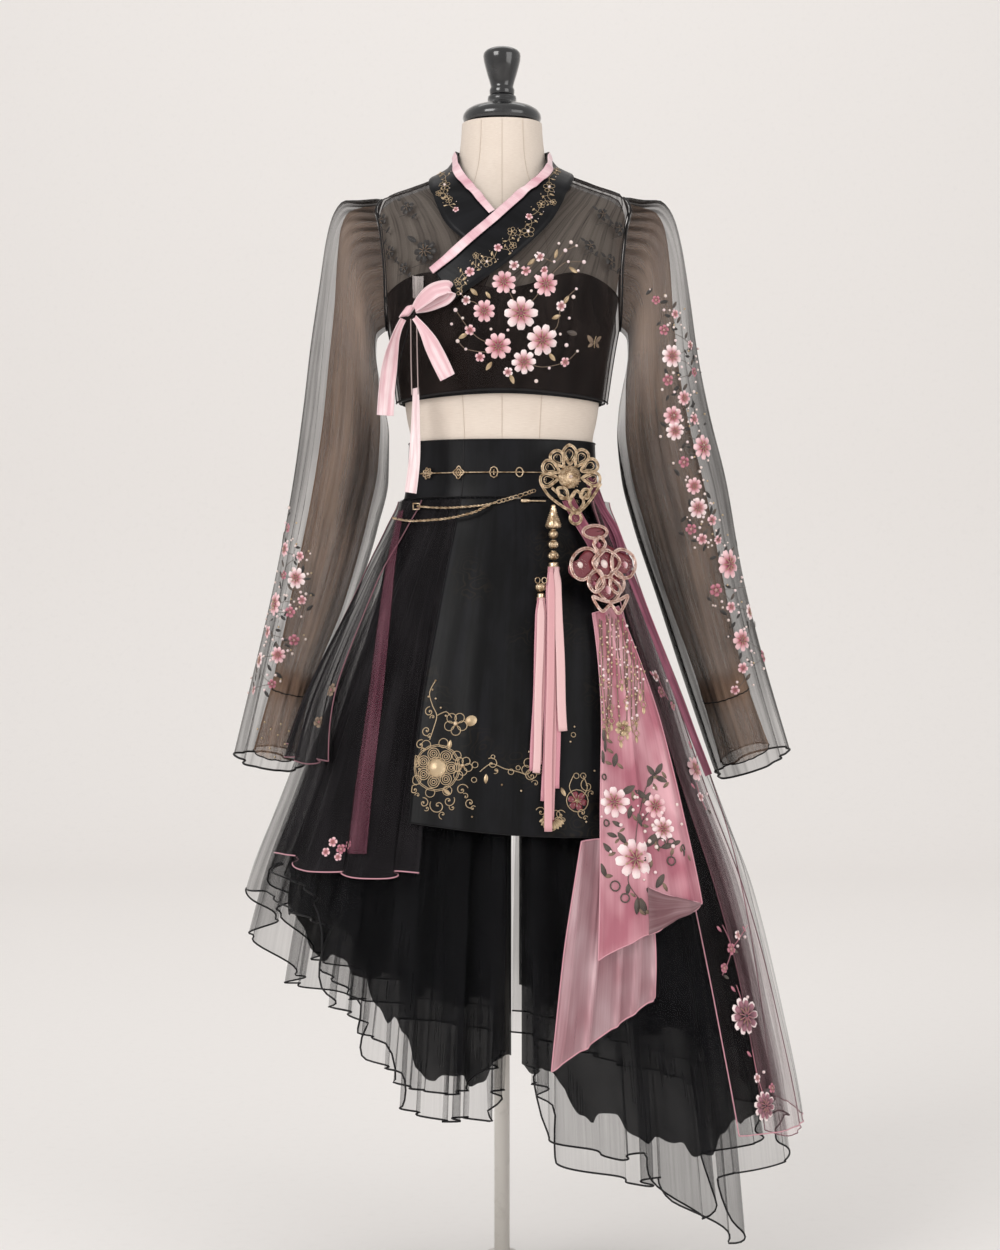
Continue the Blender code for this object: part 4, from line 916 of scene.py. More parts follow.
ENAMEL = Coated("enamel_red", (0.17, 0.022, 0.034), (0.34, 0.08, 0.09), 0.22, coat=0.6)
PETAL = Thread("petal_silk", (0.42, 0.075, 0.13), (0.9, 0.62, 0.64))
PETAL_PALE = Thread("petal_silk_pale", (0.5, 0.14, 0.19), (0.94, 0.82, 0.81))
PETAL_DEEP = Thread("petal_silk_deep", (0.18, 0.022, 0.05), (0.58, 0.22, 0.28))
PETAL_WINE = Thread("petal_silk_wine", (0.035, 0.008, 0.016), (0.34, 0.14, 0.18))
PETAL_DARK = Thread("petal_silk_dark", (0.006, 0.005, 0.005), (0.022, 0.017, 0.015))
GOLD_SILK = Thread("gold_silk", (0.2, 0.125, 0.06), (0.58, 0.44, 0.28), 0.35, metal=0.5)
BROWN_SILK = Thread("brown_silk", (0.07, 0.04, 0.025), (0.24, 0.165, 0.11), 0.5)
LEAF_SILK = Thread("leaf_silk", (0.02, 0.014, 0.012), (0.1, 0.075, 0.06), 0.5)
SEAM_THREAD = Coated("seam_thread", (0.6, 0.51, 0.43), (0.64, 0.55, 0.47), 0.8)
PEARL = Coated("pearl", (0.8, 0.66, 0.62), (0.92, 0.84, 0.8), 0.2, coat=0.7)


# --- the view, cloth and what is sewn to it -------------------------------------------------------

@dataclass(frozen=True)
class View:
    """The front camera, and how its view units meet the object."""

    place: Triple = (-0.0026, -3.2, 0.8534)
    lens: float = 70.9
    sensor: float = 36.0
    unit: float = 0.0013
    middle_right: float = 500.0
    middle_down: float = 625.0

    def ray(self, right: float, down: float) -> tuple[Vector, Vector]:
        """Find the line of sight through a place in the view.

        Args:
            right: View units from the view's left edge.
            down: View units from its top edge.

        Returns:
            Where the line starts, and its direction.
        """
        aim = Vector((self.place[0] + (right - self.middle_right) * self.unit, 0.0,
                      self.place[2] + (self.middle_down - down) * self.unit))
        start = Vector(self.place)
        return start, (aim - start).normalized()


VIEW = View()


@dataclass(frozen=True)
class Spot:
    """A place on a surface, with the directions outward, across and up there."""

    place: Points
    outward: Points
    across: Points
    up: Points

    def at(self, across: Points, up: Points, lift: Points) -> Points:
        """Turn offsets from the spot into points."""
        across, up, lift = [np.asarray(part, float)[..., None] for part in (across, up, lift)]
        return self.place + self.across * across + self.up * up + self.outward * lift


class Ground:
    """A surface that embroidery and trimming lie on."""

    def __init__(self, grids: list[Points]) -> None:
        """Index the surface.

        Args:
            grids: Grids of points: rows, columns and three.
        """
        points = []
        faces = []
        count = 0
        for grid in grids:
            rows, columns = grid.shape[:2]
            points.append(grid.reshape(-1, 3))
            faces.append(grid_faces(rows, columns, False) + count)
            count += rows * columns
        self.tree = BVHTree.FromPolygons(
            np.concatenate(points).tolist(), np.concatenate(faces).tolist())

    def spot(self, right: float, down: float) -> Spot | None:
        """Find the nearest place on the surface along a line of sight.

        Args:
            right: View units from the view's left edge.
            down: View units from its top edge.

        Returns:
            The spot, or None where the line misses the surface.
        """
        start, direction = VIEW.ray(right, down)
        place_hit, normal, _, _ = self.tree.ray_cast(start, direction)
        if place_hit is None:
            return None
        if normal.dot(direction) > 0.0:
            normal = -normal
        across = Vector((-normal.y, normal.x, 0.0))
        across = across.normalized() if across.length > 0.05 else Vector((1, 0, 0))
        return Spot(np.array(place_hit), np.array(normal), np.array(across),
                    np.array(normal.cross(across)))

    def settle(self, spot: Spot, points: Points, lift: Points) -> Points:
        """Lay points on the surface.

        Args:
            spot: The place that they belong to.
            points: The points, near the surface.
            lift: How far each stands off it.

        Returns:
            The points on the surface.
        """
        lift = np.broadcast_to(np.asarray(lift, float), (len(points),))
        outward = Vector(spot.outward)
        settled = []
        for point, height in zip(points, lift):
            near, normal, _, _ = self.tree.find_nearest(Vector(point))
            if normal.dot(outward) < 0.0:
                normal = -normal
            normal = (normal + outward).normalized()
            settled.append(near + normal * float(height))
        return np.array(settled)

    def path(self, places: list[Pair], count: int, lift: float) -> Points:
        """Lay a smooth line on the surface.

        Args:
            places: Places in view units that the line passes.
            count: Points on the line.
            lift: How far it stands off the surface.

        Returns:
            The line's points; fewer where it runs off the surface.
        """
        laid = []
        for right, down in smooth_path(np.array(places), count):
            spot = self.spot(right, down)
            if spot is not None:
                laid.append(spot.place + spot.outward * lift)
        return np.array(laid)


@dataclass(frozen=True)
class FoldField:
    """Soft uneven ridges that run along a sheet."""

    seed: int
    count: int
    width: float
    wander: float = 0.02
    runs: float = 1.0
    fade: float = 0.18
    line_place: float = 0.85
    line_width: float = 0.22
    line_least: float = 0.0016

    def ridges(self, share: Points, along: Points, wrapped: bool = False) -> Points:
        """Measure the ridges' heights, from 0 to about 1; see ``both``."""
        return self.both(share, along, wrapped)[0]

    def both(self, share: Points, along: Points, wrapped: bool = False) -> tuple[Points, Points]:
        """Measure the ridges and the thin lines at their flanks.

        Args:
            share: Places across the sheet, from 0 to 1.
            along: Places along it, from 0 at its top to 1 at its hem.
            wrapped: Whether the sheet is a tube.

        Returns:
            Heights and line strengths, each from 0 to about 1.
        """
        draw = random.Random(self.seed)
        total = np.zeros(np.broadcast(share, along).shape)
        lines = total.copy()
        for number in range(self.count):
            middle = (number + draw.uniform(0.1, 0.9)) / self.count
            width = self.width * draw.uniform(0.6, 1.5)
            swing = self.wander * draw.uniform(0.4, 1)
            rate = draw.uniform(2, 5)
            phase = draw.uniform(*ANY_TURN)
            begin = draw.uniform(-0.3, 1.0 - self.runs) if self.runs < 1.0 else -0.3
            finish = begin + self.runs * draw.uniform(0.8, 1.2) + (0.6 if self.runs >= 1.0 else 0.0)
            offset = share - middle - swing * np.sin(rate * along + phase)
            if wrapped:
                offset = (offset + 0.5) % 1.0 - 0.5
            fade = smooth_step((along - begin) / self.fade) * smooth_step((finish - along) / self.fade)
            weight = fade * draw.uniform(0.55, 1)
            total += np.exp(-(offset / width) ** 2) * weight
            thin = max(width * self.line_width, self.line_least)
            flank = (np.abs(offset) - width * self.line_place) / thin
            lines += np.exp(-flank ** 2) * weight
        return total, lines


@dataclass
class Cloth:
    """A sheet of cloth as a grid of points, its rows from the hem up."""

    name: str
    points: Points
    # Per point: darkens satin colour as painted shade, and thickens sheer cloth, partly for real doubling
    # and partly as painted shade.
    fold: Points | float = 0.0

    def spans(self) -> tuple[Points, Points]:
        """Measure the cloth across and along, from each grid point to the next.

        Returns:
            Distances across the rows, and distances along the columns.
        """
        across = np.linalg.norm(np.diff(self.points, axis=1), axis=2)
        along = np.linalg.norm(np.diff(self.points, axis=0), axis=2)
        return across, along

    def edge(self, edge: Edge) -> Points:
        """Take the points along an edge.

        Args:
            edge: Which edge.

        Returns:
            The edge's points.
        """
        choices = {Edge.HEM: self.points[0], Edge.TOP: self.points[-1],
                   Edge.START: self.points[:, 0], Edge.END: self.points[:, -1]}
        return choices[edge]

    def build(self, finish: Finish, slot: Slot, held: Held, rests_on: tuple[str, ...],
              replaces: tuple[str, ...] = (), thickness: float = 0.0,
              trims: tuple[bpy.types.Object, ...] = ()) -> bpy.types.Object:
        """Make the sheet.

        Args:
            finish: Its finish.
            slot: The record's slot, passed on to place.
            held: How it is held; not used.
            rests_on: What it lies on or hangs from; not used.
            replaces: The solids that it stands for.
            thickness: A wall for thick cloth, or 0 for a single surface.
            trims: Separate pieces that go with it; not used.

        Returns:
            The new piece.
        """
        rows, columns = self.points.shape[:2]
        mesh = bpy.data.meshes.new(self.name)
        mesh.from_pydata(self.points.reshape(-1, 3).tolist(), [],
                         grid_faces(rows, columns, False).tolist())
        across, along = self.spans()
        weft = np.zeros((rows, columns, 3), np.float32)
        weft[:, 1:, 0] = np.cumsum(across.mean(axis=0))[None, :]
        weft[1:, :, 1] = np.cumsum(along.mean(axis=1))[:, None]
        attribute = mesh.attributes.new("weft", "FLOAT_VECTOR", "POINT")
        attribute.data.foreach_set("vector", weft.ravel())
        # The fold attribute: painted shade on satin; on sheer cloth both real density and painted shade.
        attribute = mesh.attributes.new("fold", "FLOAT", "POINT")
        fold = np.broadcast_to(np.clip(self.fold, 0.0, 1.0), (rows, columns))
        attribute.data.foreach_set("value", fold.astype(np.float32).ravel())
        mesh.materials.append(finish.material())
        piece = place(self.name, mesh, slot, replaces)
        if thickness:
            wall = piece.modifiers.new("Wall", "SOLIDIFY")
            wall.thickness = thickness
            wall.offset = 1.0
        return piece


def roll(name: str, paths: list[Points], radius: float, finish: Finish, slot: Slot,
         closed: bool = False, sides: int = 6) -> bpy.types.Object:
    """Make the rolled or piped edges of a sheet.

    Args:
        name: The piece's name.
        paths: The edges' points.
        radius: The roll's radius.
        finish: Its finish.
        slot: The record's slot, passed on to the bag.
        closed: Whether each edge's ends join.
        sides: Sides of the roll.

    Returns:
        The new piece.
    """
    bag = MeshBag()
    for path in paths:
        bag.tube(path, radius, finish, sides, closed)
    return bag.build(name, slot)


def black_piping(name: str, paths: list[Points], radius: float,
                 closed: bool = False) -> bpy.types.Object:
    """Make the black piping of a sheet's edges."""
    return roll(name, paths, radius, PIPING, Slot.SATIN_BLACK, closed)


# --- dress form and stand -------------------------------------------------------------------------

@dataclass
class DressForm:
    """The limbless canvas torso with its lacquered cap, on a pole and a round foot."""

    columns: int = 96
    rows: int = 80
    steps: int = 72
    pole_steps: int = 40
    foot_steps: int = 96
    socket: float = 0.02
    rim: Pairs = ((0.012, 0.0066), (0.003, 0.0052), (0, 0.0036), (0, 0.001), (0.001, 0))
    seam_reach: float = 2.2
    lid_rings: tuple[float, ...] = (0, 0.35, 0.7, 0.95)
    lid_drop: float = 0.004
    seam_angles: tuple[float, ...] = (0, 30, 90, 142, 180, -142, -90, -30)
    seam_radius: float = 0.0003
    seam_dip: float = 0.0005
    cap: Pairs = (
        (0, 1.5415), (0.015, 1.5415), (0.0182, 1.54), (0.0187, 1.537), (0.0187, 1.533), (0.0215, 1.5312),
        (0.029, 1.529), (0.04, 1.5255), (0.047, 1.521), (0.0503, 1.516), (0.051, 1.5115), (0.05, 1.508),
        (0.0494, 1.507), (0.049, 1.504), (0, 1.5033))
    finial: Pairs = (
        (0, 1.6035), (0.01, 1.6034), (0.016, 1.6022), (0.021, 1.5996), (0.0238, 1.596), (0.0243, 1.5925),
        (0.0236, 1.586), (0.0216, 1.578), (0.0188, 1.568), (0.0163, 1.56), (0.015, 1.555), (0.0146, 1.552),
        (0.0157, 1.55), (0.0163, 1.548), (0.016, 1.544), (0.0154, 1.5416), (0, 1.5414))

    def seam(self, angle: float) -> Points:
        """Follow a seam up the torso."""
        z = np.linspace(FORM_BOTTOM, NECK_TOP - 0.002, 90)
        return FORM.surface(angle, z, np.full(90, -self.seam_radius * 0.4))

    def torso(self) -> None:
        """Stretch the canvas over the torso, with its seams slightly sunk."""
        angles = np.linspace(-180.0, 180.0, self.columns + 1)
        z = np.linspace(FORM_BOTTOM, NECK_TOP, self.rows)[:, None]
        nearest = np.min([np.abs((angles - seam + 180.0) % 360.0 - 180.0)
                          for seam in self.seam_angles], axis=0)
        dip = -self.seam_dip * bump(nearest, 0.0, self.seam_reach)
        points = FORM.surface(angles[None, :], z, dip[None, :] + 0.0 * z)
        lid_rows = []
        for share in self.lid_rings:
            ring = points[0].copy()
            ring[:, :2] *= share
            ring[:, 2] -= self.lid_drop * (1.0 - share)
            lid_rows.append(ring)
        points = np.concatenate([np.array(lid_rows), points])
        seams = roll("form_seams", [self.seam(angle) for angle in self.seam_angles],
                     self.seam_radius, SEAM_THREAD, Slot.CANVAS)
        cloth = Cloth("form_torso", points)
        cloth.build(CANVAS, Slot.CANVAS, Held.STRETCHED, ("neck_cap_turned", "pole_tube"),
                    ("form_bust",), trims=(seams,))

    def hard_parts(self) -> None:
        """Turn the cap, the finial, the pole and the foot."""
        for name, profile, node in (("neck_cap_turned", self.cap, "neck_cap"),
                                    ("finial_turned", self.finial, "finial")):
            bag = MeshBag()
            bag.turn(list(profile), self.steps, LACQUER)
            bag.build(name, Slot.GLOSS_BLACK, (node,))
        pole_low, pole_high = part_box("stand_pole")
        bag = MeshBag()
        radius = (pole_high[0] - pole_low[0]) * 0.5
        bag.turn([(0.0, pole_high[2]), (radius, pole_high[2]), (radius, pole_low[2]),
                  (0.0, pole_low[2])], self.pole_steps, PAINT)
        bag.build("pole_tube", Slot.PALE_METAL, ("stand_pole",))
        low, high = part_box("stand_base")
        foot = (high[0] - low[0]) * 0.5
        profile = [(0.0, high[2]), (self.socket - 0.001, high[2]), (self.socket, high[2] - 0.001),
                   (self.socket, 0.018), (self.socket + 0.0015, 0.016)]
        profile += [(foot - inward, z) for inward, z in self.rim]
        profile += [(0, 0)]
        bag = MeshBag()
        bag.turn(profile, self.foot_steps, PAINT)
        bag.build("foot_plate", Slot.PALE_METAL, ("stand_base",))

    def build(self) -> None:
        """Build the whole form."""
        self.hard_parts()
        self.torso()


# --- jeogori --------------------------------------------------------------------------------------

@dataclass
class Bodice:
    """Sheer crossed fronts and back over an opaque bustier, with wide collar bands."""

    hem: float = 1.152
    hem_drop: float = 0.01
    top: float = 1.431
    rows: int = 66
    lift_under: float = 0.007
    lift_over: float = 0.0108
    armhole_gap: float = 0.002
    armhole_gap_angle: float = 0.6
    gather_depth: float = 0.0016
    bustier_top: float = 1.272
    bustier_hem: float = 1.146
    bustier_lift: float = 0.0038
    cup: Pair = (46.0, 26.0)
    cup_rise: float = 0.024
    hem_roll: float = 0.0013
    seam_roll: float = 0.0008
    under_edge: Pairs = (
        (1.15, -24), (1.21, -22), (1.26, -14), (1.29, -8), (1.32, -5), (1.345, -14), (1.365, -24),
        (1.389, -38), (1.41, -55), (1.431, -74))
    over_edge: Pairs = (
        (1.15, -87.5), (1.1805, -72.9), (1.2098, -63.1), (1.2394, -54.7), (1.2627, -46.4), (1.283, -36),
        (1.3, -20), (1.325, -2), (1.345, 11), (1.362, 22), (1.388, 40), (1.41, 55), (1.431, 74))
    grounds: dict[str, Points] = field(default_factory=dict)

    def armhole(self, z: Points) -> Points:
        """Half angle that the armhole takes at a height.

        Args:
            z: The heights.

        Returns:
            The half angles in degrees.
        """
        offset = (z - ARMHOLE_HEIGHT) / (ARMHOLE_HALF_HEIGHT + self.armhole_gap)
        reach = (ARMHOLE_HALF_ANGLE + self.armhole_gap_angle) * np.sqrt(
            np.clip(1.0 - offset ** 2, 0.0, 1.0))
        return np.maximum(0.12, reach)

    def panel(self, name: str, left: Points, right: Points, z: Points, lift: float, columns: int,
              folds: FoldField) -> Cloth:
        """Lay a gathered panel between two edges.

        Args:
            name: The panel's name.
            left: The left edge's angle at each height.
            right: The right edge's angle at each height.
            z: The heights, from the hem up.
            lift: The distance from the form.
            columns: Points across.
            folds: Its gathers.

        Returns:
            The panel.
        """
        share = np.linspace(0.0, 1.0, columns)[None, :]
        angle = left[:, None] + (right - left)[:, None] * share
        level = (z - self.hem) / (self.top - self.hem)
        low = np.clip(1.0 - level * 12.0, 0.0, 1.0)[:, None]
        height = z[:, None] - low * self.hem_drop * np.abs(np.sin(np.radians(angle))) ** 2
        ridges, lines = folds.both(share, 1.0 - level[:, None])
        gathers = smooth_step(level[:, None] / 0.35)
        points = FORM.surface(angle, height, lift + self.gather_depth * ridges * gathers)
        # Denser along the gathers: partly real doubling of the sheer cloth, partly painted shade in their
        # creases.
        dense = (0.22 * np.clip(ridges, 0.0, 1.0) + 0.4 * lines) * (0.2 + 0.8 * gathers)
        return Cloth(name, points, dense)

    def fronts(self) -> None:
        """Lay the left front, the right front over it and the back."""
        z = np.linspace(self.hem, self.top, self.rows)
        under = np.interp(z, *np.array(self.under_edge).T)
        over = smooth_values(*np.array(self.over_edge).T, z)
        side = self.armhole(z)
        cuts = (
            ("front_under", -90.0 + side, under, self.lift_under, 70, FoldField(3, 9, 0.022, 0.05),
             "bodice_front_left"),
            ("front_over", over, 90.0 - side, self.lift_over, 120, FoldField(7, 17, 0.011, 0.03),
             "bodice_front_right"),
            ("back", 90.0 + side, 270.0 - side, self.lift_under, 120, FoldField(11, 16, 0.012, 0.03),
             "bodice_back"))
        for word, left, right, lift, columns, folds, node in cuts:
            cloth = self.panel("bodice_" + word, left, right, z, lift, columns, folds)
            self.grounds[word] = cloth.points
            hem = black_piping(cloth.name + "_hem", [cloth.edge(Edge.HEM)], self.hem_roll)
            seams = black_piping(cloth.name + "_seams", [cloth.edge(Edge.START), cloth.edge(Edge.END)],
                                 self.seam_roll)
            cloth.build(ORGANZA_BODICE, Slot.ORGANZA_BLACK, Held.GATHERED, ("form_torso", "bustier_satin"),
                        (node,), trims=(hem, seams))

    def bustier(self) -> None:
        """Wrap the opaque satin under the sheer fronts."""
        angle = np.linspace(-180, 180, 145)[None, :]
        top = self.bustier_top + self.cup_rise * bump(np.abs(angle), *self.cup)
        bottom = self.bustier_hem - (self.hem_drop - 0.003) * np.abs(np.sin(np.radians(angle))) ** 2
        level = np.linspace(0, 1, 40)[:, None]
        z = bottom + (top - bottom) * level
        folds = FoldField(5, 12, 0.012, 0.02).ridges((angle + 180.0) / 360.0, 1.0 - level)
        points = FORM.surface(angle, z, self.bustier_lift + 0.0006 * folds)
        # Painted shade: the satin's colour is darkened along its folds.
        cloth = Cloth("bustier_satin", points, folds * 0.6)
        edge = black_piping("bustier_edge", [cloth.edge(Edge.TOP)], self.seam_roll)
        cloth.build(SATIN_BLACK, Slot.SATIN_BLACK, Held.STRETCHED, ("form_torso",), ("bustier",),
                    trims=(edge,))

    def build(self) -> None:
        """Build the bodice."""
        self.bustier()
        self.fronts()


BandTable = Fours


@dataclass
class Collar:
    """Wide black bands that cross, with a narrow pink trim and dark piping on each."""

    band_left: BandTable = (
        (-179.6, 1.47, -179.6, 1.43), (-140, 1.47, -140, 1.43), (-105, 1.469, -105, 1.432),
        (-76, 1.464, -84, 1.429), (-48, 1.437, -62, 1.413), (-28, 1.405, -49, 1.389),
        (-14, 1.382, -41, 1.364), (-5.5, 1.366, -32, 1.344), (2, 1.352, -20, 1.328))
    band_right: BandTable = (
        (-40, 1.296, -28.6, 1.2606), (-33.5, 1.308, -10, 1.284), (-20, 1.336, 9.7, 1.3137),
        (-4, 1.365, 24, 1.338), (10, 1.385, 35.5, 1.361), (28, 1.406, 45.5, 1.388), (48, 1.436, 59, 1.4135),
        (76, 1.464, 84, 1.429), (105, 1.469, 105, 1.432), (140, 1.47, 140, 1.43),
        (179.6, 1.47, 179.6, 1.43))
    trim_left: BandTable = (
        (-179.6, 1.472, -179.6, 1.46), (-140, 1.472, -140, 1.46), (-90, 1.4685, -92, 1.457),
        (-66, 1.459, -74, 1.449), (-46.4, 1.4367, -55, 1.428), (-26, 1.4048, -33, 1.399),
        (-12.5, 1.3821, -18.5, 1.377), (-5.5, 1.369, -11, 1.364))
    trim_right: BandTable = (
        (-41.9, 1.2977, -38.8, 1.2883), (-35.2, 1.3097, -30.9, 1.3003), (-21.7, 1.3381, -16.1, 1.3285),
        (-5.4, 1.3666, 0.7, 1.3568), (8.6, 1.3863, 16, 1.379), (26.4, 1.4076, 34, 1.402),
        (47.9, 1.437, 57, 1.428), (66, 1.4595, 74, 1.449), (90, 1.4685, 92, 1.457), (140, 1.472, 140, 1.46),
        (179.6, 1.472, 179.6, 1.46))
    band_wall: float = 0.001
    ease_reach: int = 18
    piping_radius: float = 0.0007
    grounds: dict[str, Points] = field(default_factory=dict)

    def eased(self, values: Points) -> Points:
        """Round off the kinks of a curve, with its ends kept.

        Args:
            values: The curve's values, evenly spaced.

        Returns:
            The eased values.
        """
        reach = self.ease_reach
        before = 2.0 * values[0] - values[reach:0:-1]
        after = 2.0 * values[-1] - values[-2:-reach - 2:-1]
        window = np.hanning(2 * reach + 3)[1:-1]
        return np.convolve(np.concatenate([before, values, after]), window / window.sum(), "valid")

    def band(self, name: str, table: BandTable, lift: float, hug: float, lean: float,
             narrow: float = 0.0) -> Cloth:
        """Lay a band along the neckline.

        Args:
            name: The band's name.
            table: Its neck edge and outer edge: angle and height, twice.
            lift: Its distance from the form in front.
            hug: How much nearer it stands beside and behind the neck.
            lean: How much nearer again its neck edge stands there.
            narrow: The share of its width left off at its outer edge.

        Returns:
            The band, its rows from the outer edge to the neck edge.
        """
        rows = np.array(table)
        keys = np.arange(len(rows), dtype=float)
        at = np.linspace(0.0, keys[-1], 150)
        inner_angle, inner_z, outer_angle, outer_z = [
            self.eased(smooth_values(keys, part, at)) for part in rows.T]
        share = np.linspace(narrow, 1.0, 10)[:, None]
        angle = outer_angle[None, :] + (inner_angle - outer_angle)[None, :] * share
        z = outer_z[None, :] + (inner_z - outer_z)[None, :] * share
        rise = 0.0006 * np.sin(math.pi * (share - narrow) / (1.0 - narrow)) ** 0.7
        beside = smooth_step((np.abs(angle) - 35.0) / 35.0)
        points = FORM.surface(angle, z, lift + rise - beside * (hug + lean * share))
        return Cloth(name, points if rows[0, 0] < rows[-1, 0] else points[:, ::-1])

    def build(self) -> None:
        """Build the four bands."""
        bands = (
            ("collar_left", self.band_left, (0.0108, 0, 0.0075), SATIN_BLACK, Slot.SATIN_BLACK,
             "git_left"),
            ("collar_right", self.band_right, (0.0142, 0, 0.01), SATIN_BLACK, Slot.SATIN_BLACK,
             "git_right"),
            ("trim_left", self.trim_left, (0.0142, 0.0055, 0.003, 0.22), SATIN_PINK, Slot.SATIN_PINK,
             "dongjeong_left"),
            ("trim_right", self.trim_right, (0.0176, 0.0085, 0.003, 0.22), SATIN_PINK, Slot.SATIN_PINK,
             "dongjeong_right"))
        for name, table, stand, finish, slot, node in bands:
            cloth = self.band(name, table, *stand)
            self.grounds[name] = cloth.points
            ring = np.concatenate([cloth.edge(Edge.HEM), cloth.edge(Edge.END),
                                   cloth.edge(Edge.TOP)[::-1], cloth.edge(Edge.START)[::-1]])
            piping = black_piping(name + "_piping", [ring], self.piping_radius, True)
            cloth.build(finish, slot, Held.FOLDED, ("bodice_front_over", "form_torso"), (node,),
                        self.band_wall, (piping,))


SleeveTable = tuple[tuple[float, float, float, float, float, float, float], ...]


@dataclass
class Sleeve:
    """A full gathered sheer sleeve with a narrower sheer tube inside it."""

    side: Side
    lift: float
    table: SleeveTable
    columns: int = 170
    rows: int = 96
    pleats: int = 34
    pleat_depth: float = 0.0024
    long_fold_depth: float = 0.0085
    fine_fold_depth: float = 0.0012
    cuff_waves: int = 5
    cuff_wave_depth: float = 0.0035
    crease_power: int = 70
    head_near: Pair = (0.03, 0.04)
    head_far: Pair = (0.07, 0.07)
    head_start: float = 0.02
    cuff_start: float = 0.55
    long_fold: Four = (21, 9, 0.024, 0.03)
    fine_fold: Five = (31, 16, 0.0022, 0.04, 0.5)
    broad_fold: Five = (81, 6, 0.05, 0.05, 0.7)
    inner_fold: Four = (41, 10, 0.02, 0.05)
    fold_shades: Four = (0.12, 0.42, 0.45, 0.42)
    flatness: float = 0.4
    stitch_lift: float = 0.0004
    inner_shade: float = 0.1
    valley_shade: float = 0.85
    crease_shade: float = 0.75
    top_shade: float = 0.45
    top_reach: float = 0.07
    cuff_radius: float = 0.0014
    seam_radius: float = 0.0012
    inner_radius: float = 0.0009
    inner_scale: float = 0.93
    inner_rows: int = 90
    drawn_at: float = 0.88
    drawn_reach: float = 0.018
    inner_creases: int = 22
    inner_crease_depth: float = 0.0012
    inner_fold_depth: float = 0.003
    grounds: dict[str, Points] = field(default_factory=dict)

    def armhole(self, turn: Points, scale: float) -> Points:
        """Find the armhole's ring on the form's side.

        Args:
            turn: Directions round the ring.
            scale: The ring's size as a share of the armhole's.

        Returns:
            The ring's points.
        """
        angle = self.side.value * (90.0 - ARMHOLE_HALF_ANGLE * scale * np.sin(turn))
        z = ARMHOLE_HEIGHT + ARMHOLE_HALF_HEIGHT * scale * np.cos(turn)
        return FORM.surface(angle, z, np.full(turn.shape, self.lift))

    def ring(self, row: tuple[float, ...], turn: Points, scale: float, inward: float) -> Points:
        """Find a section's ring, from its outer edge by way of the front.

        Args:
            row: Outer edge, inner edge, half depth, middle and the front's drop.
            turn: Turns round the ring.
            scale: The ring's size as a share of the section.
            inward: How far the ring is moved towards the body.

        Returns:
            The ring's points.
        """
        outer_x, outer_z, inner_x, inner_z, half_depth, middle_y, front_drop = row
        side = self.side.value
        outer = np.array([side * outer_x, 0.0, outer_z])
        inner = np.array([side * inner_x, 0.0, inner_z])
        middle = (outer + inner) * 0.5
        middle[0] -= side * inward
        reach = (outer - inner) * 0.5 * scale
        points = middle + reach * np.cos(turn)[:, None]
        points[:, 1] += middle_y - half_depth * scale * np.sin(turn)
        points[:, 2] -= front_drop * np.sin(turn)
        return points

    def stack(self, rings: list[Points], rows: int) -> Points:
        """Join rings smoothly, then turn them to rows from the cuff up.

        Args:
            rings: Rings of points, from the cuff up.
            rows: How many rows to return.

        Returns:
            The rows of points.
        """
        rings = np.array(rings)
        middles = rings.mean(axis=1)
        steps = np.linalg.norm(np.diff(middles, axis=0), axis=1)
        keys = np.concatenate([[0.0], np.cumsum(steps)])
        at = keys[-1] * np.linspace(0.0, 1.0, rows) ** 1.15
        grid = smooth_values(keys, rings.reshape(len(rings), -1), at).reshape(rows, -1, 3)[::-1]
        return grid if self.side is Side.LEFT else grid[:, ::-1]

    def folds(self, seed: int, count: int, width: float, wander: float,
              runs: float = 1.0) -> FoldField:
        """Give a fold field of the sleeve's own side."""
        return FoldField(seed + self.side.value, count, width, wander, runs)

    def outer(self) -> None:
        """Hang the full sheer sleeve, gathered at its head, folded along and rolled at the cuff."""
        turn = np.linspace(0.0, TAU, self.columns + 1)
        rings = [self.armhole(turn, 1.0)] + [self.ring(row, turn, 1.0, 0.0) for row in self.table]
        points = self.stack(rings, self.rows)
        down = np.linspace(1.0, 0.0, self.rows)[:, None]
        share = turn[None, :] / TAU
        if self.side is Side.RIGHT:
            share = share[:, ::-1]
        top_side = 0.5 + 0.5 * np.cos(TAU * share)
        head = bump(down, *self.head_near) + 0.3 * bump(down, *self.head_far)
        head = head * smooth_step(down / self.head_start) * top_side ** 2.5
        pleats = np.cos(TAU * self.pleats * (share + 0.004 * np.sin(6.0 * math.pi * share)))
        long_folds, lines = self.folds(*self.long_fold).both(share, down, True)
        fine_folds = self.folds(*self.fine_fold).ridges(share, down, True)
        cuff = smooth_step((down - self.cuff_start) / (1.0 - self.cuff_start))
        waves = np.cos(TAU * self.cuff_waves * share + 1.1) * self.cuff_wave_depth * cuff
        grown = smooth_step((down - 0.06 - 0.16 * (1.0 - top_side)) / 0.25)
        sunk = (self.long_fold_depth * long_folds + self.fine_fold_depth * fine_folds) * grown
        offset = self.pleat_depth * head * top_side ** 2 * pleats - sunk + waves
        middles = points.mean(axis=1, keepdims=True)
        outward = points - middles
        outward[:, :, 2] *= self.flatness
        self.grounds["smooth"] = points + unit(outward) * (waves + self.stitch_lift)[:, :, None]
        points = points + unit(outward) * offset[:, :, None]
        edges = np.abs(np.cos(TAU * share)) ** self.crease_power
        valley = smooth_step((0.1 - pleats) / 0.8)
        broad = self.folds(*self.broad_fold).ridges(share, down, True)
        inner_side = (1.0 - top_side) ** 2 * self.inner_shade
        shades = zip(self.fold_shades, (long_folds, lines, fine_folds, broad))
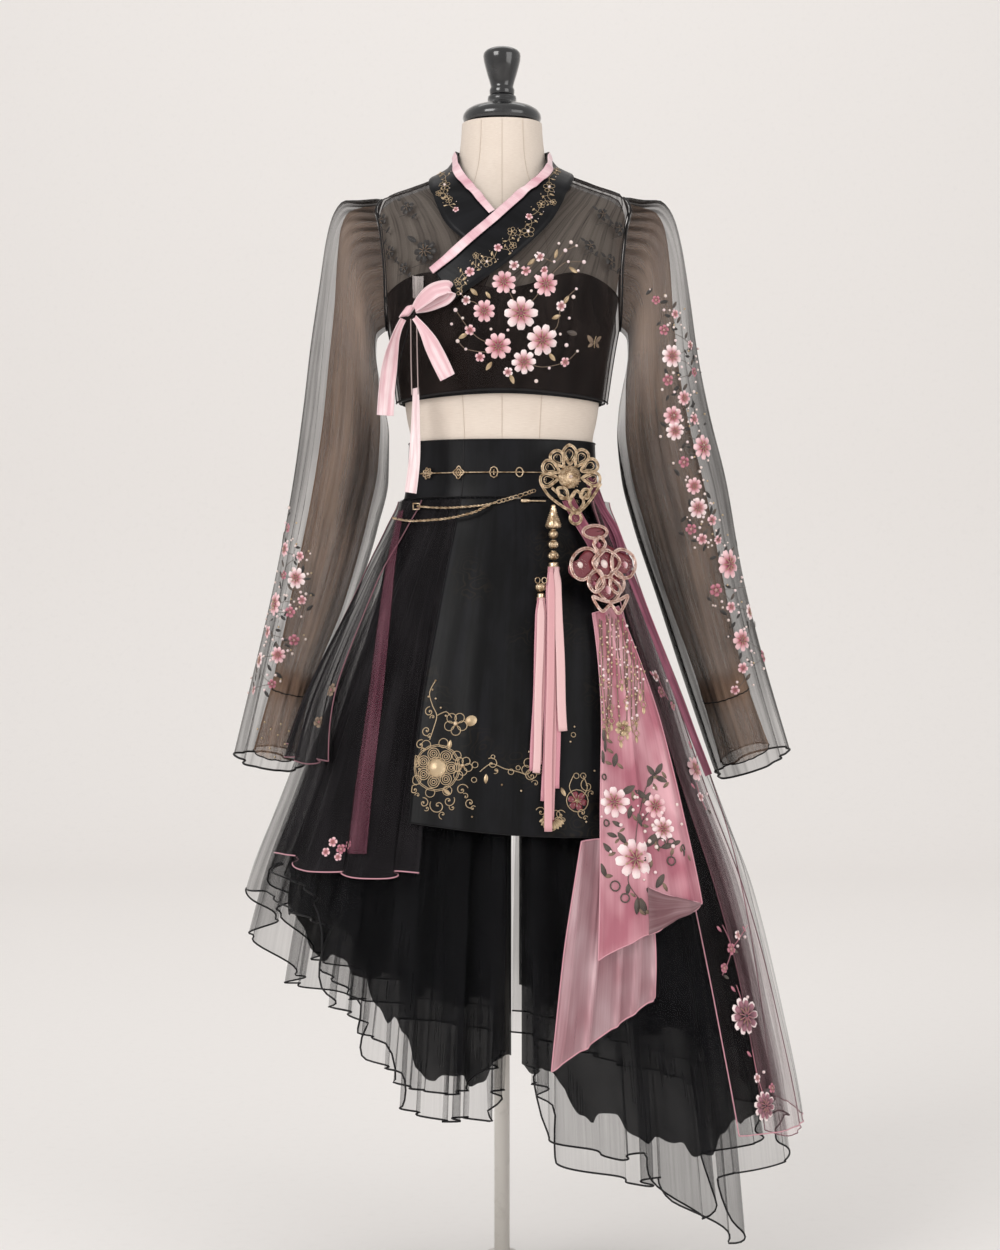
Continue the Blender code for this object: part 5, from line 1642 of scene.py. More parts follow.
        # Painted shade in the fold attribute: darker along the folds (partly real doubling of the cloth),
        # on the inner side, in the pleat valleys at the head, along the side creases and near the armhole
        # seam.
        fold = ((sum(shade * part for shade, part in shades) + inner_side) * grown
                + self.valley_shade * head * valley + self.crease_shade * edges * smooth_step(down / 0.15)
                + self.top_shade * bump(down, 0.0, self.top_reach))
        name = "sleeve_" + self.side.word
        cloth = Cloth(name + "_organza", points, fold)
        cuff_roll = black_piping(name + "_cuff", [cloth.edge(Edge.HEM)[:-1]], self.cuff_radius, True)
        seam = black_piping(name + "_armhole", [cloth.edge(Edge.TOP)[:-1]], self.seam_radius, True)
        cloth.build(ORGANZA, Slot.ORGANZA_BLACK, Held.GATHERED, ("bodice_front_over",), (name,),
                    trims=(cuff_roll, seam))

    def inner(self) -> None:
        """Hang the narrow taupe tube, drawn in above its cuff."""
        turn = np.linspace(0.0, TAU, 97)
        rings = [self.armhole(turn, self.inner_scale)]
        last = len(self.table) - 1
        for number, row in enumerate(self.table):
            scale = self.inner_scale - 0.27 * float(smooth_step((number + 1) / 6.0))
            scale -= 0.08 * (number == last - 1)
            rings.append(self.ring(row, turn, scale, 0.006 * min(1.0, number / 4.0)))
        rings[-1] = rings[-2] + (rings[-1] - rings[-2]) * 0.9
        points = self.stack(rings, self.inner_rows)
        down = np.linspace(1, 0, self.inner_rows)[:, None]
        share = turn[None, :] / TAU
        folds, lines = self.folds(*self.inner_fold).both(share, down, True)
        grown = smooth_step((down - 0.15) / 0.3)
        lines = lines * grown
        folds = folds * grown
        gather = bump(down, self.drawn_at, self.drawn_reach)
        crease = np.cos(TAU * self.inner_creases * share) * self.inner_crease_depth * gather
        outward = points - points.mean(axis=1, keepdims=True)
        points = points + unit(outward) * (crease - self.inner_fold_depth * folds)[:, :, None]
        edges = np.abs(np.cos(TAU * share)) ** 40
        name = "under_sleeve_" + self.side.word
        cloth = Cloth(name + "_tube", points, 0.5 * lines + 1.2 * gather + 0.8 * edges)
        band = int(self.inner_rows * (1.0 - self.drawn_at))
        rolls = black_piping(name + "_rolls", [cloth.edge(Edge.HEM)[:-1], cloth.points[band][:-1]],
                             self.inner_radius, True)
        cloth.build(ORGANZA_TAUPE, Slot.ORGANZA_TAUPE, Held.HUNG, ("bodice_front_over",), (name,),
                    trims=(rolls,))

    def build(self) -> None:
        """Build the sleeve."""
        self.outer()
        self.inner()


SLEEVE_LEFT = (
    (0.184, 1.404, 0.163, 1.224, 0.055, 0.004, 0), (0.203, 1.405, 0.164, 1.204, 0.06, 0.005, 0),
    (0.219, 1.388, 0.162, 1.186, 0.062, 0.006, 0), (0.2285, 1.356, 0.158, 1.166, 0.063, 0.008, 0),
    (0.238, 1.296, 0.153, 1.138, 0.063, 0.012, 0), (0.25, 1.218, 0.147, 1.1, 0.062, 0.018, 0),
    (0.26, 1.141, 0.148, 1.045, 0.061, 0.028, 0), (0.275, 1.042, 0.162, 0.985, 0.06, 0.042, 0),
    (0.3015, 0.91, 0.197, 0.875, 0.056, 0.064, 0.002), (0.331, 0.784, 0.24, 0.764, 0.053, 0.08, 0.004),
    (0.356, 0.68, 0.266, 0.664, 0.052, 0.086, 0.008))

SLEEVE_RIGHT = (
    (0.184, 1.404, 0.163, 1.224, 0.055, 0.004, 0), (0.203, 1.405, 0.164, 1.204, 0.06, 0.005, 0),
    (0.221, 1.388, 0.162, 1.186, 0.062, 0.006, 0), (0.233, 1.35, 0.158, 1.166, 0.063, 0.008, 0),
    (0.2435, 1.29, 0.153, 1.138, 0.063, 0.012, 0), (0.256, 1.205, 0.149, 1.095, 0.062, 0.018, 0),
    (0.272, 1.13, 0.154, 1.045, 0.061, 0.028, 0), (0.295, 1.043, 0.17, 0.985, 0.06, 0.042, 0),
    (0.3185, 0.922, 0.206, 0.882, 0.056, 0.064, 0.002), (0.349, 0.804, 0.244, 0.77, 0.053, 0.08, 0.004),
    (0.384, 0.688, 0.284, 0.652, 0.052, 0.086, 0.008))


# --- chima ----------------------------------------------------------------------------------------

OUTER_HEM = np.array((
    (-180, 0.285), (-160, 0.3), (-149, 0.305), (-145, 0.327), (-130, 0.341), (-127, 0.352), (-113, 0.383),
    (-108, 0.43), (-98, 0.47), (-90, 0.511), (-70, 0.505), (-53, 0.482), (-49, 0.402), (-39, 0.368),
    (-36, 0.326), (-30, 0.316), (-27, 0.272), (-16, 0.2585), (-6, 0.259), (-2.5, 0.288), (2, 0.291),
    (6.2, 0.306), (12, 0.288), (15.5, 0.275), (18.5, 0.204), (29.5, 0.187), (34.4, 0.177), (44, 0.181),
    (47, 0.15), (53.8, 0.099), (57, 0.116), (60, 0.1725), (73, 0.177), (90, 0.209), (110, 0.215),
    (130, 0.23), (150, 0.25), (180, 0.285)))


def outer_hem(angle: Points) -> Points:
    """Height of the stepped, slanting hem."""
    turned_angle = (np.asarray(angle) + 180.0) % 360.0 - 180.0
    return smooth_values(OUTER_HEM[:, 0], OUTER_HEM[:, 1], turned_angle)


def even_hem(angle: Points) -> Points:
    """Height of a less stepped hem above the outer one.

    Args:
        angle: Directions round the body.

    Returns:
        The heights.
    """
    near = sum(outer_hem(angle + offset) for offset in (-9, -4.5, 0, 4.5, 9)) / 5.0
    turn = np.radians(angle)
    steps = 0.009 * np.tanh(3.0 * np.cos(turn * 23.0))
    return near + 0.036 + 0.03 * smooth_step(turn / 0.6) + steps


def middle_hem(angle: Points) -> Points:
    """Height of the middle layer's hem."""
    return outer_hem(angle + 4.0) + 0.03


@dataclass
class Layer:
    """A pleated layer of the skirt, in two halves that part at the front and the back."""

    name: str
    profile: Profile
    flutes: int
    depth: float
    inset: float
    hem: Callable[[Points], Points]
    finish: Finish
    slot: Slot
    nodes: tuple[tuple[str, ...], tuple[str, ...]]
    columns: int
    rows: int
    swing: float = 0.0
    seed: int = 0
    hem_radius: float = 0.0012
    drawn_in: float = 0.0
    slits: Pair = (0.011, 0.024)
    vent_top: float = 0.66
    pleat_run: float = 0.5
    fine_fold: Five = (50, 60, 0.0022, 0.006, 0.7)
    unevenness: float = 0.32
    top_depth: float = 0.0005
    fine_depth: float = 0.0012
    drift: float = 2.2
    drawn_angle: float = 88.0
    drawn_reach: float = 34.0
    gather_reach: float = 0.09
    gathers: float = 150.0

    def edge_angle(self, x: float, z: Points) -> Points:
        """Angle at which a section passes a side position near the front."""
        return np.degrees(np.arctan2(x, self.profile.measure(2, z)))

    def flute(self, angle: Points) -> Points:
        """Uneven pleat wave round the body, between -1 and 1.

        Args:
            angle: Directions round the body.

        Returns:
            The wave's values.
        """
        turn = np.radians(angle)
        uneven = turn + 0.1 * np.sin(3.0 * turn + 0.8) + 0.04 * np.sin(7.0 * turn)
        return np.cos(self.flutes * uneven)

    def half(self, side: Side) -> Cloth:
        """Shape one half of the layer.

        Args:
            side: Which half.

        Returns:
            The half as cloth.
        """
        share = np.linspace(0.0, 1.0, self.columns)[None, :]
        level = np.linspace(0.0, 1.0, self.rows)[:, None] ** 0.92
        z = np.full((self.rows, self.columns), WAIST_SEAM)
        for _ in range(4):
            if side is Side.LEFT:
                front = self.edge_angle(self.slits[0], z)
                vent = smooth_step((self.vent_top - z) / 0.1)
                overlap = self.slits[1] + 0.002 - (self.slits[1] - self.slits[0]) * vent
                back = -180.0 - self.edge_angle(overlap, z)
                start, end = back, front
            else:
                front = self.edge_angle(self.slits[1], z)
                back = 180.0 - self.edge_angle(self.slits[1], z)
                start, end = front, back
            angle = start + (end - start) * share
            z = self.hem(angle) + (WAIST_SEAM - self.hem(angle)) * level
        down = smooth_step((WAIST_SEAM - z) / self.pleat_run)
        low = down ** 0.8
        turn = np.radians(angle)
        drift = self.drift * np.sin(2.0 * turn + self.seed) * (1.0 - level) ** 2
        wave = self.flute(angle + drift)
        seed, *fold = self.fine_fold
        fine = FoldField(self.seed + seed, *fold).ridges(share, 1.0 - level)
        uneven = 0.8 + self.unevenness * np.sin(5.0 * turn + self.seed) * np.sin(2.0 * turn + 1.7)
        depth = self.top_depth + (self.depth * uneven - self.top_depth) * low
        slope = np.sin(2.0 * np.arccos(np.clip(wave, -1.0, 1.0)))
        swung = angle + self.swing * slope * low
        beside = bump(angle, self.drawn_angle, self.drawn_reach)
        beside = beside * smooth_step((WAIST_SEAM - z - 0.1) / 0.25)
        lift = -self.inset * (0.2 + 0.8 * low) + wave * depth + self.fine_depth * fine * low
        lift = lift - self.drawn_in * beside
        points = self.profile.level(swung, z, lift)
        fold = self.grazing(points) * 0.9 + 0.3 * np.clip(fine, 0.0, 1.0) * low
        gathers = bump(WAIST_SEAM - z, 0.0, self.gather_reach)
        fold = fold + gathers * (0.35 + 0.3 * np.cos(turn * self.gathers))
        return Cloth(self.name + "_" + side.word + "_cloth", points, fold)

    def grazing(self, points: Points) -> Points:
        """Measure how far the surface turns away from outward.

        Args:
            points: A grid of points.

        Returns:
            A share from 0 to 1 for each point.
        """
        normal = unit(np.cross(np.gradient(points, axis=1), np.gradient(points, axis=0)))
        outward = points.copy()
        outward[..., 2] = 0.0
        return 1.0 - np.abs(np.sum(normal * unit(outward), axis=-1))

    def build(self) -> None:
        """Build both halves, each with its rolled hem."""
        for side, nodes in zip((Side.LEFT, Side.RIGHT), self.nodes):
            cloth = self.half(side)
            trims = ()
            if self.hem_radius:
                trims = (black_piping(cloth.name + "_hem", [cloth.edge(Edge.HEM)], self.hem_radius),)
            cloth.build(self.finish, self.slot, Held.GATHERED, ("waistband_satin",), nodes,
                        trims=trims)


SKIRT_LAYERS = (
    Layer("skirt_outer", SKIRT, 21, 0.019, 0.0, outer_hem, ORGANZA_SKIRT, Slot.ORGANZA_BLACK,
          (("skirt_outer_left",), ("skirt_outer_right",)), 300, 70, swing=3.0, seed=1,
          drawn_in=0.017),
    Layer("skirt_middle", SKIRT, 23, 0.012, 0.0095, middle_hem, ORGANZA_MIDDLE, Slot.ORGANZA_BLACK,
          ((), ()), 220, 54, swing=2.2, seed=2, drawn_in=0.022),
    Layer("underskirt", LINING, 14, 0.005, 0.0, even_hem, TULLE, Slot.TULLE_BLACK,
          (("underskirt_left",), ("underskirt_right",)), 210, 56, seed=4, hem_radius=0.0))


@dataclass
class Waistband:
    """A wide smooth satin band with a seam at one side of its front."""

    lift: float = 0.0034
    seam_angle: float = -30.0
    foot: float = 0.0005
    piping_radius: float = 0.0009

    def build(self) -> None:
        """Build the band, its piped edges and its seam."""
        angle = np.linspace(-180, 180, 181)[None, :]
        level = np.linspace(0, 1, 24)[:, None]
        z = WAIST_SEAM + self.foot + (WAISTBAND_TOP - WAIST_SEAM - self.foot) * level
        crease = 0.0004 * np.cos(np.radians(angle) * 9.0) * np.sin(math.pi * level)
        points = FORM.surface(angle, z + 0.0 * angle, self.lift + crease)
        cloth = Cloth("waistband_satin", points)
        seam = FORM.surface(self.seam_angle, np.linspace(WAIST_SEAM, WAISTBAND_TOP, 20),
                            np.full(20, self.lift))
        trims = black_piping("waistband_edges", [cloth.edge(Edge.HEM), cloth.edge(Edge.TOP), seam],
                             self.piping_radius)
        cloth.build(SATIN_BLACK, Slot.SATIN_BLACK, Held.STRETCHED, ("form_torso",), ("waistband",),
                    trims=(trims,))


@dataclass
class Panel:
    """A panel hung from the waist over the skirt, with corners given from its hem up."""

    name: str
    table: Fours
    lift_top: float
    lift_low: float
    finish: Finish
    slot: Slot
    piping: Finish
    piping_radius: float
    folds: FoldField
    fold_depth: float
    sag: float = 0.0
    thickness: float = 0.0
    line: float = 0.3
    hem_wave: float = 0.0
    swing: float = 0.0
    dense_top: float = 0.0
    columns: int = 84
    rows: int = 80
    edges: tuple[Edge, ...] = (Edge.HEM, Edge.START, Edge.END)
    rests_on: tuple[str, ...] = ("waistband_satin", "skirt_outer_left_cloth")
    run: float = 0.3

    def cloth(self) -> Cloth:
        """Shape the panel.

        Returns:
            The panel as cloth.
        """
        table = np.array(self.table)
        last = len(table) - 1.0
        keys = np.arange(len(table), dtype=float)
        at = np.linspace(0.0, last, self.rows)
        left_angle, left_z, right_angle, right_z = [
            part[:, None] for part in smooth_values(keys, table, at).T]
        share = np.linspace(0.0, 1.0, self.columns)[None, :]
        above = (at / last)[:, None]
        angle = left_angle + (right_angle - left_angle) * share
        sag = self.sag * (1.0 - above) ** 3 * np.sin(math.pi * share)
        z = left_z + (right_z - left_z) * share - sag
        z = z + self.hem_wave * (1.0 - above) ** 3 * np.sin(5.0 * math.pi * share)
        swung = self.swing * (1.0 - above) ** 2.5
        angle = angle + swung * np.sin(6.0 * math.pi * share)
        low = smooth_step((WAIST_SEAM - z) / self.run)
        ridges, lines = self.folds.both(share, 1.0 - above)
        lift = self.lift_top + (self.lift_low - self.lift_top) * low + ridges * self.fold_depth * (
            0.15 + 0.85 * low) - 0.0014 * swung * (1.0 - np.cos(6.0 * math.pi * share))
        # The fold attribute: painted shade along the satin apron's folds; on the sheer panels denser cloth
        # along the folds, partly real doubling and partly painted shade.
        fold = np.clip(ridges, 0.0, 1.0) * 0.35 + lines * self.line
        fold = fold + self.dense_top * smooth_step((z - 0.52) / 0.3)
        return Cloth(self.name + "_cloth", SKIRT.level(angle, z, lift), fold)

    def build(self) -> Cloth:
        """Build the panel with its piped edges.

        Returns:
            The panel's cloth, for what is sewn on it.
        """
        cloth = self.cloth()
        piping = roll(self.name + "_piping", [cloth.edge(edge) for edge in self.edges],
                      self.piping_radius, self.piping, self.slot)
        cloth.build(self.finish, self.slot, Held.HUNG, self.rests_on, (self.name,),
                    self.thickness, (piping,))
        return cloth


PANELS = (
    Panel("apron", (
        (-28.2, 0.613, 29.8, 0.595), (-28.7, 0.761, 35.1, 0.76), (-27.9, 0.867, 41, 0.867),
        (-27.6, 0.965, 49, 0.965), (-27, 1.012, 50, 1.012)), 0.007, 0.0275, BROCADE,
        Slot.SATIN_BLACK, PIPING, 0.0009, FoldField(61, 5, 0.055, 0.03), 0.0016, 0.004, 0.001,
        columns=70, rows=64),
    Panel("overlay_left_lower", (
        (-70, 0.567, -24.5, 0.553), (-66, 0.7, -25, 0.7), (-62, 0.89, -26, 0.89),
        (-59, 0.965, -26, 0.965), (-56, 1.012, -26, 1.012)), 0.004, 0.0205, ORGANZA_DARK,
        Slot.ORGANZA_BLACK, PIPING_PINK, 0.0008, FoldField(62, 11, 0.022, 0.04), 0.005, 0.012,
        line=0.6, hem_wave=0.003, swing=3.4, edges=(Edge.HEM,)),
    Panel("overlay_left_upper", (
        (-88, 0.7, -56, 0.684), (-88, 0.8, -62, 0.79), (-85, 0.9, -63, 0.9),
        (-80, 0.965, -58, 0.965), (-74, 1.012, -52.4, 1.012)), 0.0072, 0.031, ORGANZA_DARK,
        Slot.ORGANZA_BLACK, PIPING_ROSE, 0.0008, FoldField(63, 8, 0.028, 0.04), 0.0045, 0.008,
        line=0.6, hem_wave=0.003, swing=2.6),
    Panel("overlay_right", (
        (58, 0.226, 106, 0.222), (55.6, 0.514, 100, 0.514), (56, 0.7, 86, 0.7), (57, 0.84, 84, 0.84),
        (59.5, 0.95, 84, 0.95), (60.7, 1.012, 84, 1.012)),
        0.0072, 0.009, ORGANZA_LIGHT, Slot.ORGANZA_BLACK, PIPING_PINK, 0.0008,
        FoldField(64, 8, 0.024, 0.04), 0.0035, 0.006, run=0.5, dense_top=0.9,
        rests_on=("waistband_satin", "skirt_outer_right_cloth")),
    Panel("overlay_right_pink", (
        (66, 0.226, 84, 0.212), (66, 0.378, 82, 0.378), (64, 0.56, 78, 0.56), (62, 0.76, 76, 0.76),
        (61, 0.89, 76, 0.89), (61, 1.012, 76, 1.012)),
        0.004, 0.005, ORGANZA_ROSE, Slot.ORGANZA_PINK, PIPING_ROSE, 0.0007,
        FoldField(65, 5, 0.04, 0.05), 0.003, 0.01, columns=60, run=0.5, dense_top=0.7,
        rests_on=("waistband_satin", "skirt_outer_right_cloth")),
    Panel("scarf_upper", (
        (23.4, 0.453, 50.6, 0.514), (27.6, 0.64, 50.7, 0.637), (33, 0.78, 50, 0.78),
        (37.1, 0.868, 49.8, 0.877)), 0.008, 0.048, ORGANZA_PINK, Slot.SATIN_PINK, PIPING_PINK,
        0.0009, FoldField(66, 5, 0.05, 0.05), 0.005, line=0.1, columns=80,
        edges=(Edge.HEM, Edge.START, Edge.END, Edge.TOP), rests_on=("overlay_right_cloth",)),
    Panel("scarf_lower", (
        (12, 0.322, 37.7, 0.405), (16.2, 0.462, 38.8, 0.49), (22.4, 0.592, 40, 0.6)),
        0.012, 0.037, ORGANZA_VEIL, Slot.ORGANZA_PINK, PIPING_PINK, 0.0009,
        FoldField(67, 6, 0.035, 0.05), 0.005, line=0.4, columns=66, rows=66,
        edges=(Edge.HEM, Edge.START, Edge.END, Edge.TOP), rests_on=("scarf_upper_cloth",)))


# --- ribbons --------------------------------------------------------------------------------------

@dataclass
class Ribbon:
    """A length of ribbon along a path, its width facing given directions."""

    name: str
    path: Points
    across: Points
    width: Points | float
    finish: Finish
    slot: Slot
    held: Held
    rests_on: tuple[str, ...]
    nodes: tuple[str, ...] = ()
    cup: float = 0.0008
    ripple: float = 0.0006
    thickness: float = 0.0007
    edge_radius: float = 0.0006
    seed: int = 0
    count: int = 60
    columns: int = 13

    def build(self) -> Cloth:
        """Build the ribbon with its folded edges.

        Returns:
            The ribbon's cloth.
        """
        keys = np.linspace(0.0, 1.0, len(self.path))
        at = np.linspace(0.0, 1.0, self.count)
        path = smooth_path(self.path, self.count)
        across = np.broadcast_to(np.asarray(self.across, float), self.path.shape)
        across = smooth_values(keys, across, at)
        width = smooth_values(keys, np.broadcast_to(self.width, (len(keys),)), at)[:, None]
        along = unit(np.gradient(path, axis=0))
        across = unit(across - along * np.sum(across * along, axis=1, keepdims=True))
        outward = np.cross(across, along)
        share = np.linspace(-1.0, 1.0, self.columns)[None, :]
        ripples = FoldField(self.seed, 4, 0.1, 0.15).ridges((share + 1.0) * 0.5, at[:, None])
        rise = self.cup * (1.0 - share ** 2) + self.ripple * ripples
        points = (path[:, None, :] + across[:, None, :] * (share * width * 0.5)[..., None]
                  + outward[:, None, :] * rise[..., None])
        # Painted shade: satin ribbons are darkened along their ripples; sheer ones are made denser there.
        cloth = Cloth(self.name, points, ripples * 0.3)
        edges = roll(self.name + "_edges", [cloth.edge(Edge.START), cloth.edge(Edge.END)],
                     self.edge_radius, self.finish, self.slot, sides=5)
        cloth.build(self.finish, self.slot, self.held, self.rests_on, self.nodes, self.thickness,
                    (edges,))
        return cloth


@dataclass
class ScarfTurn:
    """The corner of the upper scarf that is turned back, its back side out in a darker, denser pink, with
    its piping.
    """

    middle: Points = field(default_factory=lambda: np.array((
        (648, 911), (654, 911), (660, 910.5), (667, 909.5), (673, 908.5), (680, 908), (687, 907.5),
        (693, 906), (698, 904.5))))
    width: Points = field(default_factory=lambda: np.array(
        (0.057, 0.05, 0.0425, 0.0345, 0.0275, 0.0215, 0.016, 0.0095, 0.003)))
    lift: float = 0.0042
    piping: float = 0.0008

    def build(self, scarf: Cloth) -> None:
        """Lay the corner on the scarf.

        Args:
            scarf: The upper scarf.
        """
        ground = Ground([scarf.points])
        spots = [ground.spot(right, down) for right, down in self.middle]
        held = [number for number, spot in enumerate(spots) if spot is not None]
        path = np.array([spots[number].place + spots[number].outward * self.lift for number in held])
        up = np.array([spots[number].up for number in held])
        width = self.width[held]
        Ribbon("scarf_upper_turn", path, -up, width, ORGANZA_TURN, Slot.SATIN_PINK, Held.FOLDED,
               ("scarf_upper_cloth",), cup=0.0006, ripple=0.0008, seed=97).build()
        bag = MeshBag()
        for side in (0.5, -0.5):
            bag.tube(smooth_path(path + up * width[:, None] * side, 40), self.piping, PIPING_PINK)
        bag.build("scarf_upper_turn_piping", Slot.SATIN_PINK)


@dataclass
class Bow:
    """A ribbon bow on the breast: one loop, two tails and a long sheer ribbon behind."""

    knot_x: float = -0.118
    knot_z: float = 1.247
    knot_lift: float = 0.03
    knot_columns: int = 40
    knot_rows: int = 24
    knot_size: Triple = (0.0085, 0.0064, 0.009)
    knot_lean: float = -0.62
    cord_radius: float = 0.0008
    loop: tuple[tuple[float, ...], ...] = (
        (0.008, 0.0015, 0.0335, 0.008), (0.02, 0.0125, 0.035, 0.015), (0.037, 0.0235, 0.0345, 0.0185),
        (0.05, 0.0265, 0.031, 0.0175), (0.0555, 0.0225, 0.0265, 0.015), (0.05, 0.015, 0.0225, 0.015),
        (0.037, 0.0085, 0.0215, 0.013), (0.022, 0.0025, 0.0225, 0.009), (0.01, 0.0005, 0.0245, 0.006))
    left_tail: tuple[tuple[float, ...], ...] = (
        (-0.006, -0.01, 0.034, 0.007), (-0.0115, -0.02, 0.0365, 0.01), (-0.019, -0.04, 0.035, 0.016),
        (-0.0255, -0.07, 0.034, 0.0195), (-0.029, -0.1, 0.04, 0.02), (-0.0305, -0.127, 0.046, 0.0205))
    right_tail: tuple[tuple[float, ...], ...] = (
        (0.008, -0.009, 0.034, 0.006), (0.015, -0.018, 0.0365, 0.012), (0.025, -0.034, 0.0385, 0.019),
        (0.036, -0.056, 0.04, 0.0205), (0.05, -0.085, 0.044, 0.0195))
    cords: tuple[tuple[tuple[float, ...], ...], ...] = (
        ((0.0035, -0.01, 0.03), (0.0035, -0.05, 0.031), (0.0045, -0.104, 0.04)),
        ((0.011, -0.008, 0.029), (0.0115, -0.05, 0.031), (0.0125, -0.104, 0.04)))
    tab: tuple[tuple[float, ...], ...] = (
        (0.0125, 0.045, 0.0165, 0.013), (0.0125, 0.03, 0.0175, 0.0125), (0.01, 0.016, 0.019, 0.007))
    long_ribbon: tuple[tuple[float, ...], ...] = (
        (0.0085, -0.095, 0.037, 0.009), (0.009, -0.11, 0.042, 0.012), (0.0085, -0.15, 0.05, 0.0155),
        (0.0075, -0.187, 0.06, 0.0175), (0.003, -0.228, 0.058, 0.0185))

    def path(self, stops: tuple[tuple[float, ...], ...]) -> Points:
        """Place stops given from the knot: right, up and off the body."""
        return np.array([FORM.front(self.knot_x + stop[0], self.knot_z + stop[1], stop[2])
                         for stop in stops])

    def knot(self) -> None:
        """Wrap the knot: a slanting soft block with a turn of ribbon."""
        centre = FORM.front(self.knot_x, self.knot_z, self.knot_lift)
        turn = np.linspace(0.0, TAU, self.knot_columns + 1)[None, :]
        rise = np.linspace(-1.0, 1.0, self.knot_rows)[:, None]
        side = np.sign(np.cos(turn)) * np.abs(np.cos(turn)) ** 0.6
        deep = np.sign(np.sin(turn)) * np.abs(np.sin(turn)) ** 0.8
        swell = (1.0 - np.abs(rise) ** 5) ** 0.3
        half_width, half_depth, half_height = self.knot_size
        across = half_width * side * (0.85 + 0.15 * swell)
        up = half_height * rise + 0.0005 * np.sin(3.0 * turn)
        lean = self.knot_lean
        points = np.stack(np.broadcast_arrays(
            centre[0] + across * math.cos(lean) - up * math.sin(lean),
            centre[1] + half_depth * deep * swell + 0.0 * rise,
            centre[2] + across * math.sin(lean) * -0.2 + up * math.cos(lean)), axis=-1)
        # Painted shade: bands across the wrap, darkened in the satin's colour as in its creases.
        fold = 0.5 - 0.5 * np.cos(6.0 * (side + 0.0 * rise) + rise)
        cloth = Cloth("bow_knot_wrap", points, fold * 0.6)
        cloth.build(SATIN_BOW, Slot.SATIN_PINK, Held.FOLDED, ("collar_right",), ("bow_knot",))

    def build(self) -> None:
        """Build the bow, the two cords that hang from it and the ribbons on their ends."""
        self.knot()
        parts = (
            ("bow_loop_ribbon", self.loop, (-0.35, 0, 1), SATIN_BOW, "bow_loop", 0.0006),
            ("bow_tail_left_ribbon", self.left_tail, (1, 0.1, -0.12), SATIN_BOW, "bow_tail_left", 0.0006),
            ("bow_tail_right_ribbon", self.right_tail, (0.9, -0.25, 0.42), SATIN_BOW, "bow_tail_right",
             0.0006),
            ("long_ribbon_satin", self.long_ribbon, (0.8, -0.6, 0), SATIN_PALE, "long_ribbon", 0.0016),
            ("bow_tab", self.tab, (1, 0.1, 0), ORGANZA_TAB, None, 0.0006))
        for number, (name, stops, across, finish, node, ripple) in enumerate(parts):
            Ribbon(name, self.path(stops), np.array(across), np.array(stops)[:, 3], finish,
                   Slot.SATIN_PINK if number < 3 else Slot.ORGANZA_PINK, Held.FOLDED,
                   ("bow_knot_wrap",), (node,) if node else (), ripple=ripple, seed=70 + number).build()
        bag = MeshBag()
        for stops in self.cords:
            bag.tube(smooth_path(self.path(stops), 40), self.cord_radius, PIPING_TAUPE)
        bag.build("bow_cords", Slot.ORGANZA_PINK)


# --- embroidery -----------------------------------------------------------------------------------

@dataclass(frozen=True)
class Silks:
    """The threads and beads of a kind of blossom."""

    petal: Finish
    eye: Finish
    stamen: Finish
    bead: Finish


PINK_BLOSSOM = Silks(PETAL, PETAL_DEEP, GOLD_SILK, PEARL)
PALE_BLOSSOM = Silks(PETAL_PALE, PETAL_DEEP, GOLD_SILK, PEARL)
DEEP_BLOSSOM = Silks(PETAL_DEEP, PETAL_PALE, GOLD_SILK, PEARL)
WINE_BLOSSOM = Silks(PETAL_WINE, PETAL_DARK, PETAL_DEEP, PEARL)
DARK_BLOSSOM = Silks(PETAL_DARK, PETAL_DARK, BROWN_SILK, BROWN_SILK)
GOLD_BLOSSOM = Silks(GOLD_SILK, PETAL_DEEP, GOLD_SILK, GOLD_SILK)


@dataclass(frozen=True)
class BlossomForm:
    """A blossom's measures as shares of its radius, and the ranges of its random draws."""

    petal_long: Pair = (0.385, 0.43)
    petal_wide: float = 0.62
    petal_middle: float = 0.6
    petal_rise: Pair = (0.09, 0.13)
    petal_notch: float = 0.16
    petal_tone: Pair = (0.85, 1)
    petal_plump: float = 0.22
    eye: float = 0.25
    eye_rise: float = 0.12
    eye_tones: Pair = (0.25, 0.35)
    stamen_root: float = 0.1
    stamen_tip: Pair = (0.42, 0.52)
    stamen_rise: float = 0.13
    stamen_radius: float = 0.022
    stamen_bead: float = 0.05
    middle_beads: int = 5
    middle_reach: float = 0.09
    middle_bead: float = 0.055


BLOSSOM = BlossomForm()


